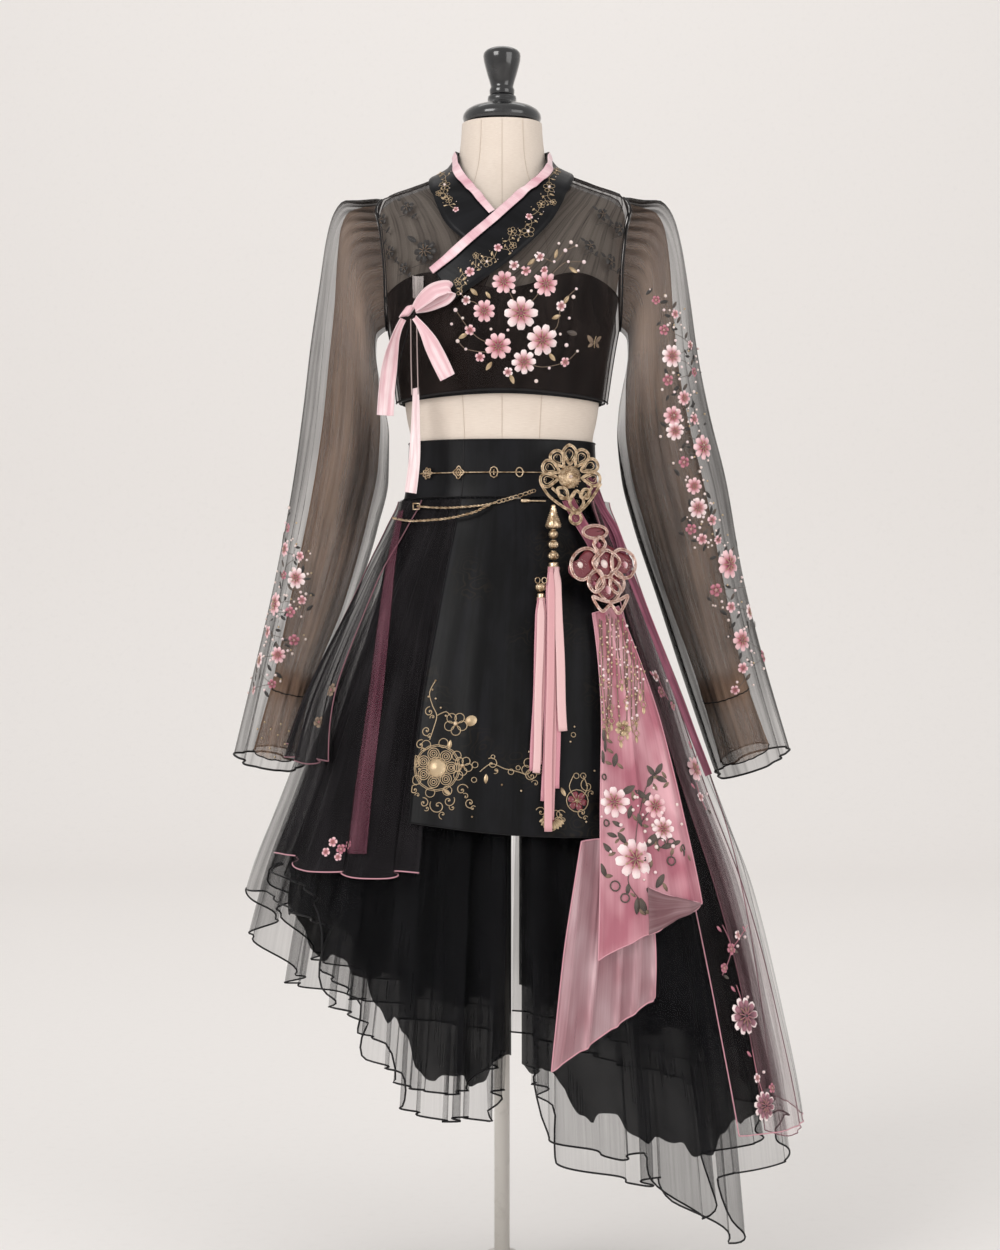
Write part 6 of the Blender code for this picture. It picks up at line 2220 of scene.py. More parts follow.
@dataclass
class Embroidery:
    """Raised stitching on a surface, gathered into one piece."""

    name: str
    ground: Ground
    slot: Slot
    lift: float = 0.0003
    granule: float = 0.0009
    bag: MeshBag = field(default_factory=MeshBag)
    draw: random.Random = field(default_factory=lambda: random.Random(5))

    def lay(self, spot: Spot, across: Points, up: Points, lift: Points) -> Points:
        """Lay offsets from a spot on the ground.

        Args:
            spot: The place.
            across: Offsets across, in metres.
            up: Offsets up.
            lift: Heights above the ground.

        Returns:
            The laid points.
        """
        across, up, lift = np.broadcast_arrays(across, up, lift)
        flat = spot.at(across.ravel(), up.ravel(), np.zeros(across.size))
        return self.ground.settle(spot, flat, lift.ravel() + self.lift)

    def pad(self, spot: Spot, middle: Pair, reach: Pair, turn: float,
            finish: Finish, height: float = 0.0009, notch: float = 0.0,
            tones: Pair = (0.1, 1), point: float = 0.0, plump: float = 0.0) -> None:
        """Sew a small domed shape: a petal, a leaf or a bud.

        Args:
            spot: The place that the offsets start from.
            middle: The shape's middle, across and up from the spot, in metres.
            reach: Its half length and half width.
            turn: The direction of its length, in radians.
            finish: Its thread.
            height: How far its middle stands up.
            notch: How deep its tip is notched.
            tones: Its tone at the root and at the tip.
            point: How much its ends are drawn to a point.
            plump: How much wider it is near its tip.
        """
        columns = 14
        rings = np.array([0.0, 0.45, 0.8, 1.0])[:, None]
        angle = (np.arange(columns) * TAU / columns)[None, :]
        tip = np.where(angle > math.pi, angle - TAU, angle)
        length = reach[0] * rings * np.cos(angle) * (1.0 - notch * np.exp(-(tip / 0.4) ** 2) * rings)
        width = reach[1] * rings * np.sin(angle) * (1.0 - point * np.abs(np.cos(angle)) ** 2 * 0.9)
        width = width * (1.0 + plump * np.cos(angle) * rings)
        rise = height * (1.0 - rings ** 2.2) * np.ones_like(angle)
        across = middle[0] + length * math.cos(turn) - width * math.sin(turn)
        up = middle[1] + length * math.sin(turn) + width * math.cos(turn)
        points = self.lay(spot, across, up, rise)
        share = (length / reach[0] + 1.0) * 0.5
        tone = tones[0] + (tones[1] - tones[0]) * smooth_step(share / 0.85)
        self.bag.add(points, grid_faces(len(rings), columns, True), finish, tone)

    def thread(self, points: Points, radius: float, finish: Finish, sides: int = 5,
               tone: float = 0.7) -> None:
        """Sew a cord along laid points."""
        if len(points) > 2:
            self.bag.tube(points, radius, finish, sides, tone=tone)

    def bead(self, spot: Spot, across: float, up: float, radius: float, finish: Finish,
             tone: float = 0.8) -> None:
        """Sew a bead on."""
        centre = self.lay(spot, np.array([across]), np.array([up]), np.array([radius * 0.4]))[0]
        self.bag.bead(centre, radius, finish, 8 if radius > self.granule else 6, tone)

    def blossom(self, right: float, down: float, size: float, silks: Silks, petals: int = 8,
                turn: float | None = None) -> None:
        """Sew a blossom with notched petals, an eye and stamens.

        Args:
            right: Its place in view units.
            down: The same, downward.
            size: Its radius in view units.
            silks: Its threads.
            petals: How many petals it has.
            turn: Its turn in radians, or None for any.
        """
        spot = self.ground.spot(right, down)
        if spot is None:
            LOG.info("%s: a blossom at %.0f, %.0f misses", self.name, right, down)
            return
        radius = size * VIEW.unit
        turn = self.draw.uniform(*ANY_TURN) if turn is None else turn
        wide = radius * BLOSSOM.petal_wide * math.sin(math.pi / petals)
        for number in range(petals):
            angle = turn + number * TAU / petals
            long = radius * self.draw.uniform(*BLOSSOM.petal_long)
            self.pad(spot, around(0.0, 0.0, radius * BLOSSOM.petal_middle, angle), (long, wide), angle,
                     silks.petal, radius * self.draw.uniform(*BLOSSOM.petal_rise), BLOSSOM.petal_notch,
                     (0.0, self.draw.uniform(*BLOSSOM.petal_tone)), plump=BLOSSOM.petal_plump)
        self.pad(spot, (0, 0), (radius * BLOSSOM.eye, radius * BLOSSOM.eye), 0.0, silks.eye,
                 radius * BLOSSOM.eye_rise, tones=BLOSSOM.eye_tones)
        for number in range(petals):
            angle = turn + (number + 0.5) * TAU / petals
            tip = self.draw.uniform(*BLOSSOM.stamen_tip)
            steps = np.linspace(BLOSSOM.stamen_root, tip, 3) * radius
            self.thread(self.lay(spot, steps * math.cos(angle), steps * math.sin(angle),
                                 np.full(3, radius * BLOSSOM.stamen_rise)),
                        radius * BLOSSOM.stamen_radius + 0.0001, silks.stamen, 4)
            self.bead(spot, steps[-1] * math.cos(angle), steps[-1] * math.sin(angle),
                      radius * BLOSSOM.stamen_bead + 0.00012, silks.stamen)
        for number in range(BLOSSOM.middle_beads):
            angle = turn + number * TAU / BLOSSOM.middle_beads
            self.bead(spot, *around(0.0, 0.0, radius * BLOSSOM.middle_reach, angle),
                      radius * BLOSSOM.middle_bead, silks.bead)

    def blossoms(self, places: Triples, silks: tuple[Silks, ...], petals: int = 8) -> None:
        """Sew blossoms whose silks take turns."""
        for number, (right, down, size) in enumerate(places):
            self.blossom(right, down, size, silks[number % len(silks)], petals)

    def leaf(self, right: float, down: float, size: float, turn: float, finish: Finish) -> None:
        """Sew a pointed leaf with a rib, in view units.

        Args:
            right: View units from the view's left edge.
            down: View units from its top edge.
            size: Its length.
            turn: Its direction, in degrees.
            finish: Its finish.
        """
        spot = self.ground.spot(right, down)
        if spot is None:
            return
        long = size * VIEW.unit
        self.pad(spot, (0, 0), (long, long * 0.42), turn, finish, long * 0.1, point=0.45,
                 tones=(0.2, 0.9))
        steps = np.linspace(-0.95, 0.85, 6) * long
        self.thread(self.lay(spot, steps * math.cos(turn), steps * math.sin(turn),
                             np.full(6, long * 0.11)), 0.00016, finish, 4, 1.0)

    def stem(self, places: list[Pair], finish: Finish, radius: float = 0.0004) -> None:
        """Sew a curved stem through places in view units."""
        self.thread(self.ground.path(places, 6 * len(places), self.lift + radius * 0.5), radius, finish)

    def bud(self, right: float, down: float, size: float, finish: Finish) -> None:
        """Sew a small round bud, in view units.

        Args:
            right: View units from the view's left edge.
            down: View units from its top edge.
            size: Its size.
            finish: Its finish.
        """
        spot = self.ground.spot(right, down)
        if spot is not None:
            self.bead(spot, 0.0, 0.0, size * VIEW.unit, finish)

    def ring(self, right: float, down: float, size: float, finish: Finish,
             radius: float = 0.0005) -> None:
        """Sew a ring of cord, in view units.

        Args:
            right: View units from the view's left edge.
            down: View units from its top edge.
            size: The ring's radius.
            finish: Its finish.
            radius: The cord's radius.
        """
        spot = self.ground.spot(right, down)
        if spot is None:
            return
        turn = np.linspace(0.0, TAU, 17)[:-1]
        reach = size * VIEW.unit
        path = self.lay(spot, reach * np.cos(turn), reach * np.sin(turn), np.full(16, radius * 0.5))
        self.bag.tube(path, radius, finish, 5, True, 0.7)

    def scroll(self, right: float, down: float, size: float, turn: float, finish: Finish,
               hand: float = 1.0, winds: float = 1.4, radius: float = 0.0005) -> None:
        """Sew a spiral scroll that ends in a bead, in view units.

        Args:
            right: The eye's place.
            down: The same, downward.
            size: The scroll's radius.
            turn: The direction of its outer end, in radians.
            finish: Its thread.
            hand: 1 or -1, the way it winds.
            winds: Turns of the spiral.
            radius: The cord's radius in metres.
        """
        spot = self.ground.spot(right, down)
        if spot is None:
            return
        share = np.linspace(0.12, 1.0, int(16 * winds) + 4)
        angle = turn + hand * (1.0 - share) * winds * TAU
        reach = size * VIEW.unit * share
        path = self.lay(spot, reach * np.cos(angle), reach * np.sin(angle),
                        np.full(len(share), radius * 0.5))
        self.thread(path, radius, finish)
        self.bead(spot, 0.0, 0.0, radius * 2.0, finish)

    def build(self) -> None:
        """Make the piece."""
        if self.bag.points:
            self.bag.build(self.name, self.slot)


Blossoms = Triples


@dataclass
class CollarFlowers:
    """Gold blossoms drawn in cord, with sprigs, curls and a few silk blossoms, on the collar."""

    right_line: Blossoms = (
        (556, 172, 5), (549, 188, 6.5), (553, 203, 3.5), (541, 205, 4.5), (529, 217, 3.8), (528, 232, 7),
        (512, 232, 5), (513, 246, 4), (498, 248, 4.4), (487, 262, 6), (476, 256, 3.4), (470, 272, 5),
        (458, 282, 4.2), (461, 294, 4.4))
    left_line: Blossoms = (
        (441, 174, 4.4), (445, 186, 6), (439, 194, 3.6), (449, 200, 4.2), (456, 210, 3.2))
    silk: tuple[int, ...] = (4, 8, 11)
    cord: float = 0.0003
    twig_cord: float = 0.00025
    twig: float = 4.5
    petals: int = 5
    petal_reach: float = 0.55
    petal_size: float = 0.36
    heart: float = 0.24
    slant: float = 0.5
    bend: Pair = (2, 4)
    leaf_size: Pair = (1.6, 2.8)
    bud_size: float = 0.6
    lift: float = 0.0012

    def along(self, work: Embroidery, line: Blossoms) -> None:
        """Sew a run of blossoms, each on its sprig.

        Args:
            work: The embroidery that it joins.
            line: The line of the blossoms.
        """
        for number, (right, down, size) in enumerate(line):
            if number in self.silk:
                work.blossom(right, down, size, PINK_BLOSSOM, self.petals)
                continue
            start = work.draw.uniform(*ANY_TURN)
            for petal in range(self.petals):
                turn = start + petal * FIFTH_TURN
                work.ring(*around(right, down, size * self.petal_reach, turn), size * self.petal_size,
                          GOLD_SILK, self.cord)
            work.bud(right, down, size * self.heart, PEARL if number % 4 == 1 else GOLD)
        for (right, down, size), (far, low, _) in zip(line, line[1:]):
            slope = math.atan2(low - down, far - right) + work.draw.uniform(-self.slant, self.slant)
            bend = work.draw.choice((-1, 1)) * work.draw.uniform(*self.bend)
            middle = ((right + far) * 0.5 - bend * math.sin(slope),
                      (down + low) * 0.5 + bend * math.cos(slope))
            work.stem([(right, down), middle, (far, low)], GOLD_SILK, self.cord)
            for hand in (-1, 1):
                twig = (middle[0] + hand * self.twig * math.sin(slope),
                        middle[1] - hand * self.twig * math.cos(slope))
                knee = (middle[0] * 0.4 + twig[0] * 0.6 + 0.8, middle[1] * 0.4 + twig[1] * 0.6)
                work.stem([middle, knee, twig], GOLD_SILK, self.twig_cord)
                work.leaf(*twig, work.draw.uniform(*self.leaf_size), slope + hand * 1.2, GOLD_SILK)
                work.bud(twig[0] + 2.2 * hand, twig[1] - 2.4, self.bud_size,
                         PEARL if hand > 0 else GOLD_SILK)

    def build(self, collar: Collar) -> None:
        """Sew both bands.

        Args:
            collar: The collar that it lies on.
        """
        for word, line in (("right", self.right_line), ("left", self.left_line)):
            work = Embroidery("collar_flowers_" + word, Ground([collar.grounds["collar_" + word]]),
                              Slot.GOLD, self.lift)
            self.along(work, line)
            work.build()


@dataclass
class ChestFlowers:
    """Blossoms, buds and sprigs on the front, with dark tone-on-tone flowers on the yoke."""

    pale: Blossoms = ((521, 313, 17), (542, 340, 16), (524, 362, 12.5))
    pink: Blossoms = ((504, 282, 12), (546, 284, 13), (498, 346, 13.5), (484, 311, 11.5))
    small: Blossoms = ((514, 265, 5.5), (526, 271, 5.5), (540, 257, 5.5), (544, 270, 4.5), (466, 300, 5),
                       (470, 330, 5.5), (561, 306, 5.5), (565, 362, 5), (508, 372, 5), (480, 357, 5))
    dark: Blossoms = ((425, 251, 13), (381, 221, 8), (379, 234, 7), (407, 207, 8), (619, 229, 8),
                      (390, 252, 7), (603, 215, 8), (611, 262, 8), (590, 246, 7), (404, 268, 6))
    buds: Pairs = (
        (565, 251), (576, 246), (554, 262), (571, 243), (568, 262), (559, 244), (583, 262), (578, 271),
        (576, 289), (573, 297), (569, 318), (461, 292), (456, 310), (463, 318), (452, 324), (458, 341),
        (466, 349), (560, 334), (566, 345), (577, 351), (549, 368), (536, 381), (508, 330), (491, 329),
        (514, 292), (531, 291))
    stems: tuple[Pairs, ...] = (
        ((504, 282), (514, 265), (526, 271), (540, 257), (554, 262), (565, 251), (576, 246)),
        ((521, 313), (533, 300), (546, 284), (556, 270), (568, 262), (583, 262)),
        ((484, 311), (474, 302), (466, 300), (461, 292)), ((498, 346), (480, 339), (470, 330), (456, 310)),
        ((542, 340), (557, 326), (561, 306), (576, 289)), ((524, 362), (542, 367), (565, 362), (577, 351)),
        ((498, 346), (486, 352), (466, 349), (458, 341)), ((504, 282), (512, 297), (521, 313)))
    leaves: Fours = (
        (531, 262, 5, 0.7), (556, 254, 5, 1.2), (573, 270, 5, -0.6), (474, 292, 5, 2.4), (463, 336, 5, 3.6),
        (556, 317, 5, 0.4), (572, 333, 6, -0.2), (552, 357, 5, -0.8), (512, 379, 5, -1.2),
        (489, 366, 5, -2.2), (566, 300, 5, 1), (488, 295, 4, 2.2))
    moth: Pair = (594, 343)
    moth_wings: Pairs = ((2.4, 6), (0.7, 6), (3.7, 4.4), (-0.6, 4.4))
    stem_radius: float = 0.00045

    def build(self, bodice: Bodice) -> None:
        """Sew the front.

        Args:
            bodice: The bodice that it lies on.
        """
        ground = Ground([bodice.grounds["front_over"], bodice.grounds["front_under"]])
        work = Embroidery("chest_flowers", ground, Slot.SATIN_PINK)
        for places in self.stems:
            work.stem(list(places), BROWN_SILK, self.stem_radius)
        for right, down, size, turn in self.leaves:
            work.leaf(right, down, size, turn, GOLD_SILK if size < 5.5 else LEAF_SILK)
        work.blossoms(self.pale, (PALE_BLOSSOM,))
        work.blossoms(self.pink, (PINK_BLOSSOM,))
        work.blossoms(self.small, (PALE_BLOSSOM, PINK_BLOSSOM), 5)
        for number, (right, down) in enumerate(self.buds):
            work.bud(right, down, 1.5 if number % 3 else 2.1, PEARL if number % 2 else PETAL_PALE)
        self.wings(work)
        work.build()
        yoke = Embroidery("yoke_flowers", ground, Slot.SATIN_BLACK)
        for right, down, size in self.dark:
            yoke.blossom(right, down, size, DARK_BLOSSOM, 8 if size > 10 else 5)
            yoke.leaf(right + size * 0.9, down + size * 1.1, size * 0.5, 0.9, PETAL_DARK)
            yoke.leaf(right - size * 1.0, down - size * 0.9, size * 0.5, 2.6, PETAL_DARK)
            yoke.stem([(right - size, down + size * 1.3), (right, down + size),
                       (right + size * 1.2, down + size * 1.6)], PETAL_DARK, 0.00035)
        yoke.build()

    def wings(self, work: Embroidery) -> None:
        """Sew a small brown moth.

        Args:
            work: The embroidery that it joins.
        """
        right, down = self.moth
        for turn, size in self.moth_wings:
            work.leaf(right + math.cos(turn) * size * 0.8, down - math.sin(turn) * size * 0.8, size,
                      turn, BROWN_SILK)
        work.stem([(right, down + 5), (right, down), (right + 2, down - 7)], GOLD_SILK)


@dataclass
class SleeveFlowers:
    """Blossoms that climb the outer side of each sleeve."""

    stem_reach: float = 62.0
    stem_bend: float = 5.0
    sprigs: int = 4
    sprig_reach: Pair = (3, 9)
    dot_size: float = 1.2
    right_big: Blossoms = (
        (672, 356, 12), (684, 398, 8), (673, 416, 10.5), (675, 431, 10), (703, 447, 13), (694, 486, 9),
        (698, 508, 11), (729, 564, 16), (742, 640, 12), (749, 612, 9))
    right_small: Blossoms = (
        (763, 656, 7), (743, 668, 6), (691, 529, 6), (702, 539, 6), (664, 330, 5.5), (675, 314, 5),
        (656, 300, 4.5), (690, 345, 5), (668, 380, 6), (694, 419, 6), (684, 462, 6), (712, 520, 6),
        (716, 590, 7), (731, 607, 6), (757, 585, 5), (735, 690, 5), (694, 372, 5), (718, 540, 5))
    left_big: Blossoms = ((296, 578, 11.5), (275, 604, 12.5), (285, 549, 8), (260, 660, 9), (278, 655, 9))
    left_small: Blossoms = (
        (290, 612, 6), (268, 632, 7), (262, 615, 5), (300, 556, 5), (288, 528, 5), (281, 512, 4.5),
        (294, 640, 6), (254, 690, 5), (272, 684, 5), (302, 600, 5), (284, 575, 5))
    gold_dots: Pairs = (
        (265, 722), (271, 729), (262, 738), (278, 735), (285, 744), (270, 748), (258, 729), (281, 724),
        (275, 757), (289, 731))

    def climb(self, work: Embroidery, big: Blossoms, small: Blossoms, lean: float) -> None:
        """Sew the blossoms, and thin stems with buds between them.

        Args:
            work: The embroidery that it joins.
            big: The large blossoms.
            small: The small blossoms.
            lean: The side to which the stems lean.
        """
        rising = sorted(big + small, key=lambda place_of: place_of[1])
        for (right, down, size), (far, low, _) in zip(rising, rising[1:]):
            if math.hypot(far - right, low - down) < self.stem_reach:
                bend = ((right + far) * 0.5 + lean * self.stem_bend, (down + low) * 0.5)
                work.stem([(right, down), bend, (far, low)], LEAF_SILK)
                work.leaf(bend[0] + lean * 4.0, bend[1] - 2.0, 4.5, 0.9 * lean, LEAF_SILK)
                work.bud(bend[0] - lean * 7.0, bend[1] + 3.0, 1.5, PETAL_PALE)
                work.bud(bend[0] + lean * 9.0, bend[1] + 6.0, 1.3, PEARL)
                work.bud(right + size + 4.0, down - 5.0, 1.1, GOLD_SILK)
                for number in range(self.sprigs):
                    turn = work.draw.uniform(*ANY_TURN)
                    reach = size + work.draw.uniform(*self.sprig_reach)
                    place_of = (right + reach * math.cos(turn) * 0.8, down + reach * math.sin(turn))
                    if number % 2:
                        work.bud(*place_of, work.draw.uniform(0.9, 1.7), PEARL)
                    else:
                        work.leaf(*place_of, work.draw.uniform(3, 4.8), turn, PETAL_DARK)
        work.blossoms(big, (PALE_BLOSSOM, PINK_BLOSSOM, PINK_BLOSSOM))
        work.blossoms(small, (DEEP_BLOSSOM, PINK_BLOSSOM), 5)

    def build(self, left: Sleeve, right: Sleeve) -> None:
        """Sew both sleeves.

        Args:
            left: The left sleeve.
            right: The right sleeve.
        """
        work = Embroidery("sleeve_flowers_right", Ground([right.grounds["smooth"]]), Slot.SATIN_PINK)
        self.climb(work, self.right_big, self.right_small, 1.0)
        work.build()
        work = Embroidery("sleeve_flowers_left", Ground([left.grounds["smooth"]]), Slot.SATIN_PINK)
        self.climb(work, self.left_big, self.left_small, -1.0)
        for right_place, down in self.gold_dots:
            work.bud(right_place, down, self.dot_size, GOLD_SILK)
        work.build()


@dataclass
class ApronScrolls:
    """Gold couched scrolls in the apron's lower corners."""

    rosette_place: Pair = (437, 768)
    gold_flowers: Blossoms = ((463, 766, 9), (456, 724, 11))
    red_flowers: Blossoms = ((532, 768, 10), (552, 820, 10))
    boss_place: Pair = (471, 721)
    boss_size: Pair = (0.0075, 0.0065)
    red_blossom: Triple = (577, 801, 9.5)
    red_ring: float = 10.5
    fan: Triple = (552, 817, 9)
    fan_leaves: int = 9
    fan_start: float = 3.5
    fan_step: float = 0.28
    leaf_size: float = 4.5
    leaves: Pairs = ((450, 745), (447, 792), (486, 779), (545, 786), (563, 792))
    thick_cord: float = 0.0006
    lobe_cord: float = 0.00055
    lobes: int = 7
    lobe_rings: Triple = (5.4, 3.4, 1.6)
    lobe_reach: float = 14.5
    rims: Four = (8.6, 10, 20.8, 22.2)
    outer_reach: float = 22.5
    outer_ring: float = 4.4
    dome_size: Pair = (0.011, 0.011)
    dome_rise: float = 0.003
    boss_bead: float = 0.0012
    boss_beads: int = 26
    boss_reach: float = 0.0095
    scrolls: tuple[Five, ...] = (
        (430, 712, 5, 1.6, 1), (427, 731, 5, -1.2, -1), (421, 745, 5, 1.2, 1), (438, 806, 8, 2.6, 1),
        (449, 801, 6, 0.6, -1), (424, 803, 5, 1.8, -1), (462, 790, 6, 0.3, 1), (470, 803, 5, -1.4, -1),
        (492, 764, 6, 2.2, -1), (531, 776, 7, 0.8, 1), (543, 765, 6, -0.7, -1), (587, 786, 7, 1.9, 1),
        (582, 813, 5, -1.6, -1), (560, 815, 5, 0.4, 1), (541, 812, 5, 2.8, -1), (415, 790, 5, 1.2, 1),
        (417, 765, 4, 2.4, -1))
    rings: Blossoms = (
        (475, 765, 2.8), (474, 780, 2.4), (493, 757, 1.8), (511, 772, 2.6), (518, 768, 2), (576, 776, 2.6),
        (583, 776, 2.6), (573, 735, 2.2))
    dots: Pairs = (
        (436, 681), (433, 690), (436, 699), (429, 697), (441, 708), (446, 716), (472, 817), (502, 785),
        (521, 791), (574, 727), (570, 742), (586, 822), (547, 755), (529, 752), (594, 771), (497, 771))
    stems: tuple[Pairs, ...] = (
        ((436, 681), (430, 694), (433, 706), (437, 716), (434, 728), (430, 740)),
        ((480, 772), (492, 764), (505, 769), (518, 772), (526, 775)),
        ((573, 776), (569, 787), (574, 797)), ((583, 776), (587, 788), (581, 798)),
        ((437, 716), (446, 712), (452, 718)))

    def rosette(self, work: Embroidery, right: float, down: float) -> None:
        """Sew the large domed rosette with lobes round it.

        Args:
            work: The embroidery that it joins.
            right: View units from the view's left edge.
            down: View units from its top edge.
        """
        for number in range(self.lobes):
            turn = number * TAU / self.lobes
            for size in self.lobe_rings:
                work.ring(*around(right, down, self.lobe_reach, turn), size, GOLD_SILK, self.thick_cord)
        spot = work.ground.spot(right, down)
        work.pad(spot, (0, 0), self.dome_size, 0.0, GOLD_SILK, self.dome_rise, tones=(0.6, 1))
        for number in range(self.boss_beads):
            reach = self.boss_reach * math.sqrt((number + 0.5) / self.boss_beads)
            turn = number * GOLDEN_TURN
            work.bead(spot, reach * math.cos(turn), reach * math.sin(turn), self.boss_bead, GOLD)
        for size in self.rims:
            work.ring(right, down, size, GOLD_SILK)
        for number in range(8):
            turn = number * math.pi / 4.0 + 0.3
            work.ring(right + self.outer_reach * math.cos(turn),
                      down + self.outer_reach * math.sin(turn) * 1.15, self.outer_ring, GOLD_SILK)

    def lobed(self, work: Embroidery, right: float, down: float, size: float, eye: Finish) -> None:
        """Sew a small lobed flower drawn in cord.

        Args:
            work: The embroidery that it joins.
            right: View units from the view's left edge.
            down: View units from its top edge.
            size: The flower's size.
            eye: The finish of its middle.
        """
        for number in range(5):
            turn = number * TAU / 5.0 + 0.3
            work.ring(*around(right, down, size * 0.62, turn), size * 0.42, GOLD_SILK, self.lobe_cord)
        work.bud(right, down, size * 0.24, eye)

    def build(self, apron: Cloth) -> None:
        """Sew the apron.

        Args:
            apron: The panel that it lies on.
        """
        work = Embroidery("apron_scrolls", Ground([apron.points]), Slot.GOLD, 0.0013)
        for places in self.stems:
            work.stem(list(places), GOLD_SILK, self.thick_cord)
        for right, down, size, turn, hand in self.scrolls:
            work.scroll(right, down, size, turn, GOLD_SILK, hand, 1.3, self.thick_cord)
            work.scroll(right + size * 0.6, down + size * 1.1, size * 0.55, turn + 2.0, GOLD_SILK,
                        -hand, 1.0)
        for right, down, size in self.rings:
            work.ring(right, down, size, GOLD_SILK)
        for right, down in self.dots:
            work.bud(right, down, 1.1, GOLD)
        self.rosette(work, *self.rosette_place)
        for right, down, size in self.gold_flowers:
            self.lobed(work, right, down, size, GOLD)
        work.pad(work.ground.spot(*self.boss_place), (0, 0), self.boss_size, 0.5, GOLD_SILK, 0.0014)
        for right, down, size in self.red_flowers:
            self.lobed(work, right, down, size, ENAMEL)
        work.blossom(*self.red_blossom, Silks(ENAMEL, GOLD_SILK, GOLD_SILK, GOLD), 6)
        work.ring(*self.red_blossom[:2], self.red_ring, GOLD_SILK, self.thick_cord)
        right, down, reach = self.fan
        for number in range(self.fan_leaves):
            turn = self.fan_start + number * self.fan_step
            work.leaf(right + reach * math.cos(turn), down - reach * math.sin(turn), self.leaf_size, turn,
                      GOLD_SILK)
        for right, down in self.leaves:
            work.leaf(right, down, self.leaf_size, 0.6 + right * 0.7, GOLD_SILK)
        work.build()


@dataclass
class ScarfFlowers:
    """Blossoms, dark leaves, rings and gold fringe on the pink scarf."""

    big: Blossoms = ((614, 802, 14), (634, 859, 18), (655, 806, 11), (663, 829, 11))
    leaves: Fours = (
        (651, 771, 5, 2.2), (659, 769, 5, 1), (650, 781, 5, -2.2), (661, 779, 5, -0.4), (628, 790, 6, 0.5),
        (640, 794, 6, -0.5), (647, 798, 5, 0.9), (622, 838, 5, 2.2), (607, 848, 5, 2.4), (603, 870, 6, 2),
        (617, 824, 4, 2.6), (630, 812, 5, 1.2), (640, 820, 5, 1.8), (652, 840, 7, 0.7), (646, 858, 5, 0.2),
        (660, 881, 6, 0.9), (650, 892, 6, -0.5), (637, 906, 6, 1.4), (643, 906, 6, 1.9), (667, 846, 5, 0.2),
        (628, 889, 4, 1.4), (604, 735, 5, 1.5), (605, 745, 5, 1.4), (603, 757, 5, 1.7), (615, 760, 5, 1.3),
        (612, 835, 4, 2.8), (684, 852, 4, 0.8), (676, 843, 4, 0.4))
    rings: Blossoms = (
        (615, 886, 4.6), (625, 898, 4), (671, 861, 4), (661, 843, 4.4), (606, 823, 3), (671, 842, 3.4),
        (604, 777, 2.6), (683, 848, 3))
    stems: tuple[Pairs, ...] = (
        ((652, 776), (645, 790), (640, 810), (636, 835), (634, 859)),
        ((634, 859), (628, 880), (640, 900)),
        ((655, 806), (646, 815), (640, 825)))
    stem_radius: float = 0.0005
    ring_radius: float = 0.0009
    string_radius: float = 0.0006
    strings: int = 15
    string_gap: float = 3.2
    level_strings: int = 8
    string_fall: float = 2.2
    string_length: Pair = (55, 118)
    first_string: Pair = (599.0, 614.0)
    gold_flower: Triple = (623, 728, 8)

    def fringe(self, work: Embroidery, right: float, top: float, end: float) -> None:
        """Sew a gold chain with small drops, from one height to another.

        Args:
            work: The embroidery that it joins.
            right: View units from the view's left edge.
            top: Where the chain starts, in view units from the top.
            end: Where it ends.
        """
        drift = work.draw.uniform(-1.5, 5)
        work.stem([(right, top), (right + drift * 0.2, (top + end) * 0.5), (right + drift, end)],
                  BROWN_SILK, self.string_radius)
        down = top + work.draw.uniform(2, 9)
        while down < end:
            share = (down - top) / (end - top)
            finish = work.draw.choice((GOLD_SILK, GOLD_SILK, ROSE_GOLD, PETAL_PALE))
            work.bud(right + drift * share ** 2, down, work.draw.uniform(0.7, 1.7), finish)
            down += work.draw.uniform(4, 15)
        right += drift
        work.ring(right + 0.4, end + 3.0, 2.6, GOLD_SILK)
        work.leaf(right + 0.4, end + 9.0, 3.8, -1.57, GOLD_SILK)

    def build(self, scarf: Cloth) -> None:
        """Sew the scarf.

        Args:
            scarf: The panel that it lies on.
        """
        work = Embroidery("scarf_flowers", Ground([scarf.points]), Slot.SATIN_PINK, 0.0004)
        for places in self.stems:
            work.stem(list(places), LEAF_SILK, self.stem_radius)
        for right, down, size, turn in self.leaves:
            work.leaf(right, down, size * 1.35, turn, LEAF_SILK)
            work.leaf(right + 5.0, down + 6.0, size * 0.8, turn + 1.1, BROWN_SILK)
        for right, down, size in self.rings:
            work.ring(right, down, size, LEAF_SILK, self.ring_radius)
        for number, (right, down, size) in enumerate(self.big):
            work.blossom(right, down, size * 1.1, PINK_BLOSSOM if number == 2 else PALE_BLOSSOM)
            for step in range(5):
                turn = work.draw.uniform(*ANY_TURN)
                reach = size * 1.1 + work.draw.uniform(3, 9)
                work.bud(*around(right, down, reach, turn), work.draw.uniform(1, 2.2),
                         PETAL_PALE if step % 2 else PEARL)
        work.build()
        gold = Embroidery("scarf_fringe", Ground([scarf.points]), Slot.GOLD, 0.0004)
        for number in range(self.strings):
            right = self.first_string[0] + self.string_gap * number + gold.draw.uniform(-1.2, 1.2)
            lower = self.string_fall * max(0, number - self.level_strings)
            top = self.first_string[1] + lower + gold.draw.uniform(0, 7)
            self.fringe(gold, right, top, top + gold.draw.uniform(*self.string_length))
        gold.blossom(*self.gold_flower, GOLD_BLOSSOM, 5)
        gold.build()


